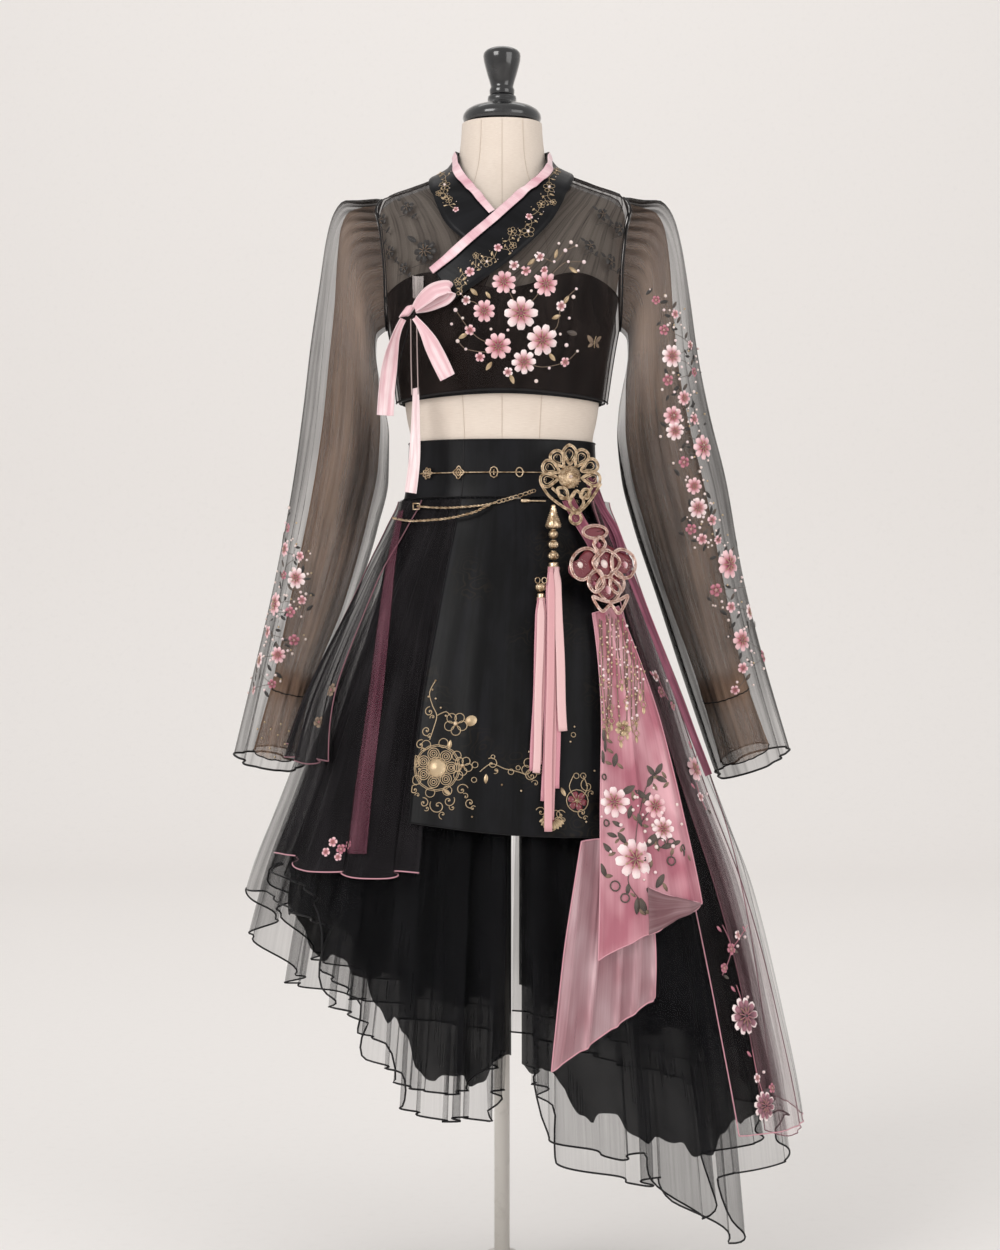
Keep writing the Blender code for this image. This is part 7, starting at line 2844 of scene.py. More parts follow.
@dataclass
class OverlayFlowers:
    """Blossoms and sprigs near the edge of the right overlay, and pink sprigs on the left ones."""

    big: Blossoms = ((744, 1016, 19), (764, 1106, 15))
    plain: Blossoms = ((694, 769, 13),)
    small: Blossoms = ((731, 949, 6), (655, 676, 6), (661, 692, 6), (669, 640, 6), (676, 690, 6),
                       (663, 662, 5), (672, 706, 5), (738, 935, 5), (724, 968, 5), (757, 1078, 5),
                       (772, 1088, 5), (700, 797, 5), (690, 745, 5))
    sprigs: tuple[Pairs, ...] = (
        ((722, 925), (731, 949), (722, 975)), ((747, 925), (738, 940), (731, 949)),
        ((752, 1050), (757, 1075), (764, 1098)), ((700, 740), (696, 755), (694, 769)),
        ((696, 782), (700, 797), (706, 810)), ((655, 670), (660, 684), (668, 700)),
        ((736, 985), (741, 1000), (744, 1016)))
    left_small: Blossoms = ((333, 842, 5), (341, 849, 5), (326, 852, 4.5), (349, 845, 4.5), (338, 857, 4))
    brown: Blossoms = ((331, 690, 7), (319, 722, 6), (343, 704, 5))

    def build(self, right_ground: Ground, left_ground: Ground, upper_ground: Ground) -> None:
        """Sew the overlays.

        Args:
            right_ground: The right overlay's surface.
            left_ground: The lower left overlay's surface.
            upper_ground: The upper left overlay's surface.
        """
        work = Embroidery("overlay_flowers_right", right_ground, Slot.SATIN_PINK)
        for places in self.sprigs:
            work.stem(list(places), PETAL_DEEP, 0.0005)
            far, low = places[-1]
            work.leaf(far + 4, low + 2, 4, -0.5, LEAF_SILK)
            work.leaf(places[0][0] - 3, places[0][1] + 4, 4, 2.3, PETAL_DEEP)
            work.bud(places[1][0] + 6, places[1][1] - 3, 1.6, PETAL_PALE)
        hearts = Embroidery("overlay_flower_hearts", right_ground, Slot.SATIN_PINK, 0.0022)
        for number, (right, down, size) in enumerate(self.big):
            work.blossom(right, down, size, PALE_BLOSSOM, 10, 0.4 * number)
            hearts.blossom(right, down, size * 0.86, WINE_BLOSSOM, 10, 0.4 * number)
        hearts.build()
        work.blossoms(self.plain, (PINK_BLOSSOM,))
        work.blossoms(self.small, (DEEP_BLOSSOM, PALE_BLOSSOM), 5)
        work.build()
        low_work = Embroidery("overlay_flowers_left", left_ground, Slot.SATIN_PINK)
        low_work.blossoms(self.left_small, (PINK_BLOSSOM, DEEP_BLOSSOM), 5)
        low_work.build()
        high_work = Embroidery("overlay_flowers_upper", upper_ground, Slot.SATIN_BLACK)
        high_work.blossoms(self.brown, (Silks(BROWN_SILK, PETAL_DEEP, GOLD_SILK, GOLD_SILK),), 5)
        high_work.build()


# --- norigae, chains, charms and tassels ----------------------------------------------------------

class Plate(Ground):
    """An upright flat face that metalwork is built on."""

    def __init__(self, x: float, z: float, lift: float, facing: float, lean: float) -> None:
        """Stand the face in front of the skirt.

        Args:
            x: Its middle's side position.
            z: Its middle's height.
            lift: Its middle's distance from the skirt.
            facing: The direction round the body that it faces.
            lean: How far it leans back.
        """
        turn, tilt = math.radians(facing), math.radians(lean)
        self.middle = SKIRT.front(x, z, lift)
        self.across = np.array([math.cos(turn), math.sin(turn), 0.0])
        self.outward = np.array([math.sin(turn) * math.cos(tilt), -math.cos(turn) * math.cos(tilt),
                                 math.sin(tilt)])
        self.up = np.cross(self.outward, self.across)

    def spot(self, right: float, down: float) -> Spot:
        """Find where a line of sight meets the face.

        Args:
            right: View units from the view's left edge.
            down: View units from its top edge.

        Returns:
            The spot on the face.
        """
        start, direction = [np.array(part) for part in VIEW.ray(right, down)]
        reach = np.dot(self.middle - start, self.outward) / np.dot(direction, self.outward)
        return Spot(start + direction * reach, self.outward, self.across, self.up)

    def settle(self, spot: Spot, points: Points, lift: Points) -> Points:
        """Hold points at their heights off the face."""
        depth = (points - self.middle) @ self.outward
        return points + self.outward * (np.asarray(lift) - depth)[:, None]


@dataclass
class Openwork(Embroidery):
    """Metalwork of cords, granules and enamel on a flat face."""

    metal: Finish = GOLD
    rim_points: int = 36
    rim_depth: float = 0.001
    bead_step: float = 0.00165
    bead_lift: float = 0.0005
    bead_radius: float = 0.0007

    def laid(self, places: Blossoms | list[Pair], closed: bool, count: int,
             lift: float) -> Points:
        """Lay a smooth line of places on the face.

        Args:
            places: Places in view units.
            closed: Whether the line's ends join.
            count: Points on the line.
            lift: Its height off the face.

        Returns:
            The points.
        """
        places = [tuple(place_of[:2]) for place_of in places]
        if closed:
            wrapped = places[-2:] + places + places[:2]
            dense = catmull(np.array(wrapped), 10)
            picked = dense[np.linspace(0, len(dense) - 1, count, endpoint=False).astype(int)]
        else:
            ends = [places[0]] + places + [places[-1]]
            dense = catmull(np.array(ends), 10)
            picked = smooth_path(dense[::3], count)
        return np.array([self.ground.spot(*pair).place + self.ground.outward * lift
                         for pair in picked])

    def cord(self, places: list[Pair], closed: bool = True, gap: float = 0.00115,
             radius: float = 0.00088, lift: float = 0.0016) -> None:
        """Lay a double cord with a row of granules between its two wires.

        Args:
            places: Places that the cord passes, in view units.
            closed: Whether its ends join.
            gap: The distance between its wires.
            radius: The wires' radius.
            lift: How far it stands off the plate.
        """
        steps = max(10, int(2.2 * sum(math.dist(a[:2], b[:2]) for a, b in zip(places, places[1:]))))
        path = self.laid(places, closed, min(steps, 90), lift)
        if closed:
            along = unit(np.roll(path, -1, axis=0) - np.roll(path, 1, axis=0))
        else:
            along = unit(np.gradient(path, axis=0))
        aside = unit(np.cross(self.ground.outward, along))
        for hand in (-1, 1):
            self.bag.tube(path + aside * hand * gap, radius, self.metal, closed=closed)
        lengths = np.linalg.norm(np.diff(path, axis=0), axis=1)
        keys = np.concatenate([[0.0], np.cumsum(lengths)])
        beads = np.arange(0.0, keys[-1], self.bead_step)
        for centre in smooth_values(keys, path, beads):
            self.bag.bead(centre + self.ground.outward * self.bead_lift, self.bead_radius, self.metal)

    def fill(self, places: list[Pair], finish: Finish, height: float) -> None:
        """Fill an outline with a slightly domed plate.

        Args:
            places: The outline, in view units.
            finish: Its finish.
            height: How far its middle rises.
        """
        rim = self.laid(places, True, self.rim_points, 0.0)
        middle = rim.mean(axis=0)
        rows = [middle + (rim - middle) * share + self.ground.outward * height * (1.0 - share ** 3)
                for share in (1, 0.8, 0.45, 0.02)]
        under = rim - self.ground.outward * self.rim_depth
        faces = grid_faces(len(rows) + 1, self.rim_points, True)
        self.bag.add(np.concatenate([under] + rows), faces, finish)

    def granules(self, right: float, down: float, size: float, count: int, finish: Finish) -> None:
        """Cluster granules in a dome.

        Args:
            right: View units from the view's left edge.
            down: View units from its top edge.
            size: The dome's radius.
            count: How many granules.
            finish: Their finish.
        """
        spot = self.ground.spot(right, down)
        reach = size * VIEW.unit
        for number in range(count):
            share = math.sqrt((number + 0.5) / count)
            turn = number * GOLDEN_TURN
            centre = self.lay(spot, np.array([reach * share * math.cos(turn)]),
                              np.array([reach * share * math.sin(turn)]),
                              np.array([0.0016 + reach * 0.32 * (1.0 - share ** 2)]))[0]
            self.bag.bead(centre, reach * 0.62 / math.sqrt(count), finish)

    def dome(self, right: float, down: float, wide: float, high: float, finish: Finish,
             rise: float) -> None:
        """Set a domed stone or boss."""
        spot = self.ground.spot(right, down)
        self.pad(spot, (0, 0), (wide * VIEW.unit, high * VIEW.unit), 0.0, finish, rise)


def catmull(points: Points, steps: int) -> Points:
    """Run a rounded curve through points, without its first and last span.

    Args:
        points: The given points, one a row.
        steps: Steps in each span.

    Returns:
        The curve's points.
    """
    out = []
    for a, b, c, d in zip(points, points[1:], points[2:], points[3:]):
        for t in np.arange(steps) / steps:
            out.append(0.5 * (2 * b + (c - a) * t + (2 * a - 5 * b + 4 * c - d) * t ** 2
                              + (3 * b - a - 3 * c + d) * t ** 3))
    out.append(points[-2])
    return np.array(out)


def oval(right: float, down: float, wide: float, high: float) -> list[Pair]:
    """List places round an oval in view units."""
    turns = [number * math.pi / 5.0 for number in range(10)]
    return [(right + wide * math.cos(turn), down + high * math.sin(turn)) for turn in turns]


@dataclass
class GoldPendant:
    """The gold openwork knot at the waist with its bell, beads and two tassels."""

    plate: Five = (0.082, 1.04, 0.02, 28, 8)
    middle: Pair = (569.5, 477)
    cord_lift: float = 0.0016
    inner_share: float = 0.55
    wire: float = 0.0006
    granule: float = 0.00078
    bell_place: Triple = (0.064, 0.974, 0.024)
    bell_profile: Pairs = (
        (0, 1.004), (0.0022, 1.0036), (0.0034, 1.002), (0.0026, 1), (0.0042, 0.9985), (0.0036, 0.9965),
        (0.0046, 0.993), (0.0062, 0.988), (0.0084, 0.983), (0.0097, 0.979), (0.0099, 0.9765),
        (0.009, 0.9745), (0.007, 0.9741), (0, 0.9741))
    bell_side: Pairs = ((0.9741, 0.0094), (0.979, 0.0097), (0.988, 0.0063), (0.9965, 0.0037))
    bell_rows: int = 9
    bell_row_foot: float = 0.977
    bell_row_step: float = 0.0024
    bell_row_granules: int = 14
    beads: Pairs = ((0.9665, 0.0062), (0.9535, 0.0066), (0.9395, 0.007))
    bead_ridges: int = 12
    bead_ridge_depth: float = 0.16
    bead_collar: float = 0.0032
    side_place: Triple = (0.048, 0.9, 0.028)
    side_reach: Pair = (0.0072, 0.0058)
    side_ridge_depth: float = 0.14
    side_ring_reach: Pair = (0.003, 0.0036)
    side_ring_place: Triple = (0.0042, 0.0066, 0.9085)
    bosses: Pairs = ((564, 493), (584, 494), (576, 502), (575, 518.5))
    run_lift: float = 0.0022
    eye_size: Pair = (11.0, 11.5)
    eye_rise: float = 0.0026
    eye_granules: tuple[float, int] = (12.0, 90)
    ring_reach: float = 5.6
    ring_granules: tuple[float, int] = (2.6, 9)
    pearl_size: Pair = (2.2, 2.2)
    pearl_rise: float = 0.007
    boss_granules: tuple[float, int] = (2.0, 7)
    tip_reach: float = 25.0
    tip_granules: tuple[float, int] = (1.8, 5)
    petals: tuple[float, ...] = (188, 156, 124, 92, 60, 28, -6)
    petal_root: float = 12.5
    petal_flank: Pairs = ((17, 3.6), (23.5, 6.6), (28.5, 4.6))
    petal_middle: float = 22.0
    petal_tip: float = 30.0
    top_petal: float = 92.0
    top_petal_tip: float = 31.5
    loops: tuple[list[Pair], ...] = (
        [(557, 489), (565, 489), (567, 497), (560, 498)], [(583, 490), (589, 491), (587, 498), (580, 497)],
        [(576, 491), (583, 502), (576, 511), (569, 502)], oval(575, 518.5, 5.6, 5.8))
    runs: tuple[list[Pair], ...] = (
        [(540, 484), (548, 496), (562, 507), (576, 514)], [(600, 484), (592, 497), (584, 507), (576, 514)],
        [(551, 488), (560, 496), (570, 501)], [(591, 488), (586, 495), (581, 500)])

    def petal(self, angle: float, share: float) -> list[Pair]:
        """List places round a drop-shaped petal that points away from the middle.

        Args:
            angle: The petal's direction, in degrees.
            share: The outline's size as a share of the petal's.

        Returns:
            The places, in view units.
        """
        turn = math.radians(angle)
        long = self.petal_tip if abs(angle - self.top_petal) > 1.0 else self.top_petal_tip
        flank = self.petal_flank
        places = []
        for out, aside in ((self.petal_root, 0), *[(out, -aside) for out, aside in flank], (long, 0.0),
                           *flank[::-1]):
            reach = self.petal_middle + (out - self.petal_middle) * share
            places.append((self.middle[0] + reach * math.cos(turn) - aside * share * math.sin(turn),
                           self.middle[1] - reach * math.sin(turn) - aside * share * math.cos(turn)))
        return places

    def knot(self) -> None:
        """Build the openwork knot: a fan of petals over a point with smaller loops."""
        work = Openwork("norigae_gold_knot", Plate(*self.plate), Slot.GOLD)
        for number, angle in enumerate(self.petals):
            work.cord(self.petal(angle, 1.0), lift=self.cord_lift + 0.001 * (number % 2))
            inner = work.laid(self.petal(angle, self.inner_share), True, 30, self.cord_lift)
            work.bag.tube(inner, self.wire, GOLD, 5, True)
            turn = math.radians(angle)
            work.granules(self.middle[0] + self.tip_reach * math.cos(turn),
                          self.middle[1] - self.tip_reach * math.sin(turn), *self.tip_granules, GOLD)
        for loop in self.loops:
            work.cord(loop)
        for run in self.runs:
            work.cord(run, closed=False, lift=self.run_lift)
        work.fill(oval(*self.middle, *self.eye_size), GOLD, self.eye_rise)
        work.granules(*self.middle, *self.eye_granules, GOLD)
        for number in range(6):
            turn = number * math.pi / 3.0
            work.granules(*around(*self.middle, self.ring_reach, turn), *self.ring_granules, GOLD)
        work.dome(*self.middle, *self.pearl_size, PEARL, self.pearl_rise)
        for right, down in self.bosses:
            work.granules(right, down, *self.boss_granules, GOLD)
        work.bag.build(work.name, work.slot, ("norigae_gold",))

    def bell(self) -> None:
        """Turn the bell, its cap and the ridged beads."""
        at = SKIRT.front(*self.bell_place)
        bag = MeshBag()
        bag.turn(list(self.bell_profile), 40, GOLD, (at[0], at[1]), 10, 0.06)
        for ring in range(self.bell_rows):
            z = self.bell_row_foot + ring * self.bell_row_step
            reach = float(np.interp(z, *np.array(self.bell_side).T))
            count = self.bell_row_granules - ring // 2
            for number in range(count):
                turn = (number + 0.5 * (ring % 2)) * TAU / count
                centre = np.array([at[0] + reach * math.sin(turn), at[1] - reach * math.cos(turn), z])
                bag.bead(centre, self.granule, GOLD)
        bag.build("bell_granulated", Slot.GOLD, ("bell_pendant",))
        for number, (z, radius) in enumerate(self.beads):
            at = SKIRT.front(self.bell_place[0], z, self.bell_place[2])
            bag = MeshBag()
            squash = 0.95 if number == 0 else 0.8
            bag.turn(oval_profile(radius, radius * squash, z, 15), 48, GOLD, (at[0], at[1]),
                     0 if number == 0 else self.bead_ridges, self.bead_ridge_depth)
            ring = [(*around(at[0], at[1], self.bead_collar, turn), z + radius * squash)
                    for turn in np.arange(16) * math.pi / 8.0]
            bag.tube(np.array(ring), self.wire, GOLD, closed=True)
            bag.build("bead_ridged_%d" % (number + 1), Slot.GOLD, ("bead_%d" % (number + 1),))
        at = SKIRT.front(*self.side_place)
        bag = MeshBag()
        bag.turn(oval_profile(*self.side_reach, self.side_place[1], 13), 48, GOLD, (at[0], at[1]),
                 self.bead_ridges, self.side_ridge_depth)
        aside, forward, z = self.side_ring_place
        wide, high = self.side_ring_reach
        turns = np.arange(16) * math.pi / 8.0
        for hand in (-1, 1):
            circle = np.stack([at[0] + hand * aside + wide * np.cos(turns),
                               np.full(16, at[1] - forward), z + high * np.sin(turns)], axis=1)
            bag.tube(circle, self.wire, GOLD, closed=True)
        bag.build("side_bead_ridged", Slot.GOLD, ("side_bead",))

    def build(self) -> None:
        """Build the pendant."""
        self.knot()
        self.bell()


@dataclass(frozen=True)
class Strand:
    """A flat hanging ribbon of a tassel."""

    root_x: float
    foot_x: float
    lift: float
    end_z: float
    width: float
    finish: Finish


@dataclass
class Tassel:
    """Flat satin ribbons gathered in a wrapped head."""

    name: str
    node: str
    at_x: float
    head_top: float
    head_radius: float
    strands: tuple[Strand, ...]
    head_lift: float = 0.029
    rest_lift: float = 0.0345
    head_height: float = 0.01
    head: Pairs = ((0.55, 0.0003), (0.72, 0.002), (0.62, 0.004), (0.8, 0.0055), (0.86, 0.008))
    head_foot: float = 0.84
    tucked: float = 0.004
    flatness: float = 0.17
    waver: float = 0.0009

    def build(self) -> None:
        """Build the head and its ribbons."""
        at = SKIRT.front(self.at_x, self.head_top, self.head_lift)
        bottom = self.head_top - self.head_height
        bag = MeshBag()
        profile = [(0.0, self.head_top)]
        profile += [(self.head_radius * share, self.head_top - drop) for share, drop in self.head]
        profile += [(self.head_radius * self.head_foot, bottom), (0.0, bottom)]
        bag.turn(profile, 36, GOLD, (at[0], at[1]), 18, 0.05)
        for strand in self.strands:
            share = np.linspace(0, 1, 40)
            x = at[0] + strand.root_x + (strand.foot_x - strand.root_x) * share ** 1.2
            x = x + self.waver * np.sin(9.0 * share + strand.foot_x * 900.0) * share
            z = bottom + self.tucked + (strand.end_z - bottom - self.tucked) * share
            path = []
            for number in range(len(share)):
                resting = SKIRT.front(x[number], z[number], self.rest_lift + strand.lift)
                start_y = at[1] - strand.lift * 0.9
                path.append((x[number], min(start_y, resting[1]), z[number]))
            widths = strand.width * 0.5 * (0.45 + 0.55 * smooth_step(share / 0.1))
            tube, faces = sweep(np.array(path), widths, 12, flatten=self.flatness,
                                facing=(0, -1, 0))
            bag.add(tube, faces, strand.finish)
        bag.build(self.name, Slot.SATIN_PINK, (self.node,))


TASSELS = (
    Tassel("tassel_main_ribbons", "tassel_main", 0.064, 0.9315, 0.0095, (
        Strand(-0.0052, -0.0125, 0.0, 0.64, 0.0088, TASSEL_DEEP),
        Strand(0.0, -0.005, 0.0002, 0.618, 0.0096, TASSEL_PINK),
        Strand(0.005, 0.002, 0.0, 0.655, 0.0086, TASSEL_DEEP),
        Strand(-0.003, -0.009, 0.0038, 0.604, 0.0098, TASSEL_PINK),
        Strand(0.0034, 0.0105, 0.004, 0.724, 0.011, TASSEL_PALE))),
    Tassel("tassel_side_ribbons", "tassel_side", 0.048, 0.893, 0.007, (
        Strand(-0.0028, -0.0105, 0.0, 0.676, 0.008, TASSEL_DEEP),
        Strand(0.0028, -0.0035, 0.0, 0.684, 0.008, TASSEL_PINK),
        Strand(0.0, -0.007, 0.0036, 0.674, 0.0092, TASSEL_PALE))))


@dataclass
class RosePendant:
    """The rose-gold pendant with dark red enamel between its beaded lines."""

    plate: Five = (0.124, 0.908, 0.042, 40, 17)
    body_rise: float = 0.0006
    cap: Four = (594, 532.5, 11, 6)
    cap_rise: float = 0.001
    cord_gap: float = 0.0013
    cord_radius: float = 0.00105
    cord_lift: float = 0.002
    cord_step: float = 0.0008
    stone_rise: float = 0.0036
    collar: float = 1.4
    body: Pairs = (
        (600, 541), (611, 547), (620, 552), (630, 556), (633, 566), (628, 573), (620, 574), (623, 584),
        (617, 594), (608, 601), (597, 596), (588, 586), (586, 578), (576, 579), (569, 572), (570, 563),
        (578, 560), (582, 554), (590, 547))
    loops: tuple[list[Pair], ...] = (
        oval(594, 532.5, 12, 6.4),
        [(598, 538), (604, 545), (598, 552), (592, 545)], [(604, 551), (618, 563), (604, 578), (591, 563)],
        [(597, 557), (588, 549), (577, 552), (570, 563), (573, 576), (583, 580), (593, 570)],
        [(611, 556), (619, 550), (630, 555), (634, 566), (629, 577), (619, 578), (611, 570)],
        [(598, 572), (589, 575), (587, 586), (594, 593), (602, 585)], [(611, 572), (620, 575),
        (623, 586), (617, 594), (609, 586)], [(604, 577), (619, 589), (609, 603), (595, 589)],
        [(591, 598), (600, 612), (609, 606), (617, 614), (626, 597), (617, 601), (609, 603), (600, 601)])
    stones: Fours = (
        (604, 564, 4.6, 4.6), (608, 590, 3.4, 4.4), (598, 545, 2.4, 3), (580, 565, 3.4, 3.4),
        (625, 565, 3, 3.6), (593.5, 584, 2.2, 2.6), (617.5, 584, 2.2, 2.6))

    def build(self) -> None:
        """Build the pendant."""
        work = Openwork("norigae_rose_knot", Plate(*self.plate), Slot.ROSE_GOLD, metal=ROSE_GOLD)
        work.fill(list(self.body), ENAMEL, self.body_rise)
        work.fill(oval(*self.cap), ENAMEL, self.cap_rise)
        for number, loop in enumerate(self.loops):
            lift = self.cord_lift + self.cord_step * (number % 3)
            work.cord(loop, gap=self.cord_gap, radius=self.cord_radius, lift=lift)
        for number, (right, down, wide, high) in enumerate(self.stones):
            stone = (PEARL, PETAL_PALE, PETAL_DEEP)[number % 3]
            work.dome(right, down, wide, high, stone, self.stone_rise)
            for step in range(9):
                turn = step * math.pi / 4.5
                work.granules(right + (wide + self.collar) * math.cos(turn),
                              down + (high + self.collar) * math.sin(turn), 0.9, 2, ROSE_GOLD)
        work.bag.build(work.name, work.slot, ("norigae_rose",))


@dataclass
class Chains:
    """Fine gold chains from the left hip to the pendant, and the line of charms above."""

    upper: Triples = (
        (-52.4, 1.004, 0.012), (-34, 1.001, 0.013), (-15, 1.003, 0.013), (8, 1.014, 0.012),
        (20, 1.022, 0.011))
    lower: Triples = (
        (-66, 0.99, 0.016), (-50, 0.985, 0.016), (-36, 0.986, 0.017), (-17, 0.994, 0.018),
        (-10, 1.0015, 0.0165), (-7, 1.005, 0.0145))
    wire: float = 0.0008
    thin_wire: float = 0.0006
    middle_boss: float = 0.0016
    small_boss: float = 0.0011
    column_boss: float = 0.0012
    side_boss: float = 0.0013
    side_gap: float = 0.0014
    boss_reach: float = 0.0034
    boss_column: Triple = (-0.0025, 0, 0.0025)
    boss_lift: float = 0.0012
    boss_degree: float = 0.00222
    reach: float = 0.1275
    charm_height: float = 1.046
    charm_lift: float = 0.0062
    charm_ends: Pair = (-62, 31)
    charm_angles: tuple[float, ...] = (-55, -32.5, -6.4, 13.4)
    charm_shapes: Fours = ((7, 0.34, 0, 0.0075), (4, 0.3, 0, 0.008), (0, 0, 8, 0.007), (0, 0, 0, 0.0058))
    clasp_place: Triple = (-52.4, 1.004, 0.013)
    clasp: Pairs = ((-0.006, -0.004), (0.004, -0.004), (0.004, 0.0035), (-0.006, 0.0035))
    rope_radii: Pair = (0.00085, 0.00095)
    pin_place: Pair = (1.0095, 0.0105)
    pin_ends: Pair = (521, 546)
    pin_radii: Pair = (0.0024, 0.0011)
    link_size: Triple = (0.0036, 0.0023, 0.00055)

    def route(self, stops: Triples, count: int) -> Points:
        """Lay a smooth route over the skirt."""
        return smooth_path(np.array([SKIRT.level(*stop) for stop in stops]), count)

    def links(self, bag: MeshBag, path: Points, long: float, wide: float, wire: float) -> None:
        """Thread oval links along a path, each turned from the one before.

        Args:
            bag: Where the links go.
            path: The chain's points.
            long: A link's half length.
            wide: Its half width.
            wire: The wire's radius.
        """
        along = unit(np.gradient(path, axis=0))
        turns = np.arange(12) * math.pi / 6.0
        for number, (centre, direction) in enumerate(zip(path, along)):
            aside = unit(np.cross(direction, (0, -1, 0)))
            outward = np.cross(direction, aside)
            tilt = 0.5 if number % 2 else -0.5
            aside = aside * math.cos(tilt) + outward * math.sin(tilt)
            loop = (centre + direction[None, :] * (long * np.cos(turns))[:, None]
                    + aside[None, :] * (wide * np.sin(turns))[:, None])
            bag.tube(loop, wire, GOLD, 5, True)

    def rope(self, bag: MeshBag, path: Points, radius: float) -> None:
        """Twist two wires round a path and thread beads on it.

        Args:
            bag: Where the wires and beads go.
            path: The rope's points.
            radius: The rope's radius.
        """
        along = unit(np.gradient(path, axis=0))
        side = unit(np.cross(along, (0, -1, 0)))
        out = np.cross(along, side)
        turn = np.linspace(0.0, len(path) * 0.62, len(path))[:, None]
        for hand in (0.0, math.pi):
            wire = path + (side * np.cos(turn + hand) + out * np.sin(turn + hand)) * radius
            bag.tube(wire, radius * 0.85, GOLD, 5)
        for centre in path[::9]:
            bag.bead(centre, radius * 2.0, GOLD)

    def chains(self) -> None:
        """Build the two chains, their clasp and the pin."""
        bag = MeshBag()
        path = self.route(self.upper, 150)
        self.rope(bag, path[:104], self.rope_radii[0])
        self.links(bag, path[106::5], *self.link_size)
        bag.build("chain_upper_links", Slot.GOLD, ("chain_upper",))
        bag = MeshBag()
        self.rope(bag, self.route(self.lower, 130), self.rope_radii[1])
        bag.build("chain_lower_links", Slot.GOLD, ("chain_lower",))
        bag = MeshBag()
        start = SKIRT.level(*self.clasp_place)
        frame_path = np.array([start + np.array([x * 0.8, -0.6 * x * 0.3, z]) for x, z in self.clasp])
        dense = np.concatenate([np.linspace(a, b, 5, endpoint=False)
                                for a, b in zip(frame_path, np.roll(frame_path, -1, axis=0))])
        bag.tube(dense, self.wire, GOLD, closed=True)
        bag.build("clasp", Slot.GOLD)

    def ring(self, bag: MeshBag, angle: float, radius: float, wire: float, lobes: int = 0,
             depth: float = 0.0, corners: int = 0) -> None:
        """Bend a wire into a round, lobed or cornered ring on the waistband.

        Args:
            bag: Where the ring goes.
            angle: Its direction round the body.
            radius: Its radius.
            wire: The wire's radius.
            lobes: How many lobes it has.
            depth: Their depth as a share of the radius.
            corners: How many corners it has.
        """
        turns = np.arange(40) * math.pi / 20.0
        reach = radius * (1.0 - depth * (0.5 - 0.5 * np.cos(lobes * turns)))
        if corners:
            part = TAU / corners
            reach = radius * math.cos(part / 2) / np.cos((turns % part) - part / 2)
        points = FORM.surface(angle + reach * np.cos(turns) / (self.reach * math.pi / 180.0),
                              self.charm_height + reach * np.sin(turns),
                              np.full(40, self.charm_lift + self.boss_lift))
        bag.tube(points, wire, GOLD, closed=True)

    def boss(self, bag: MeshBag, angle: float, up: float, aside: float, radius: float) -> None:
        """Set a small boss on the waistband.

        Args:
            bag: Where the boss goes.
            angle: The charm's direction round the body.
            up: The boss's offset upward.
            aside: Its offset sideways.
            radius: Its radius.
        """
        centre = FORM.surface(angle + aside / self.boss_degree, self.charm_height + up,
                              self.charm_lift + self.boss_lift)
        bag.bead(centre, radius, GOLD, 8)

    def charms(self) -> None:
        """Build the line and its four charms."""
        bag = MeshBag()
        angle = np.linspace(*self.charm_ends, 120)
        line = FORM.surface(angle, np.full(120, self.charm_height), np.full(120, self.charm_lift))
        bag.tube(line, self.wire, GOLD)
        bag.build("charm_wire", Slot.GOLD, ("charm_line",))
        charms = zip(self.charm_angles, self.charm_shapes)
        for number, (at, (lobes, depth, corners, radius)) in enumerate(charms):
            bag = MeshBag()
            self.ring(bag, at, radius, self.wire, lobes, depth, corners)
            if number < 2:
                self.ring(bag, at, radius * 0.55, self.thin_wire, lobes, depth, corners)
                self.boss(bag, at, 0.0, 0.0, self.middle_boss)
                for step in range(6):
                    turn = step * math.pi / 3.0
                    self.boss(bag, at, self.boss_reach * math.sin(turn),
                              self.boss_reach * math.cos(turn), self.small_boss)
            elif number == 2:
                for up in self.boss_column:
                    self.boss(bag, at, up, 0.0, self.column_boss)
            else:
                self.boss(bag, at, 0.0, 0.0, self.small_boss)
            for hand in (-1, 1):
                self.boss(bag, at, 0.0, hand * (radius + self.side_gap), self.side_boss)
            name = "charm_%d" % (number + 1)
            bag.build(name + "_wire", Slot.GOLD, (name,))

    def pin(self) -> None:
        """Lay the short pin below the band."""
        bag = MeshBag()
        points = np.array([SKIRT.front((right - 502.0) * 0.00125, *self.pin_place)
                           for right in np.linspace(*self.pin_ends, 14)])
        radii = np.concatenate([np.full(5, self.pin_radii[0]), np.full(9, self.pin_radii[1])])
        bag.tube(points, radii, GOLD, 10)
        bag.build("waist_pin", Slot.GOLD)

    def build(self) -> None:
        """Build the chains, the charms and the pin."""
        self.chains()
        self.charms()
        self.pin()


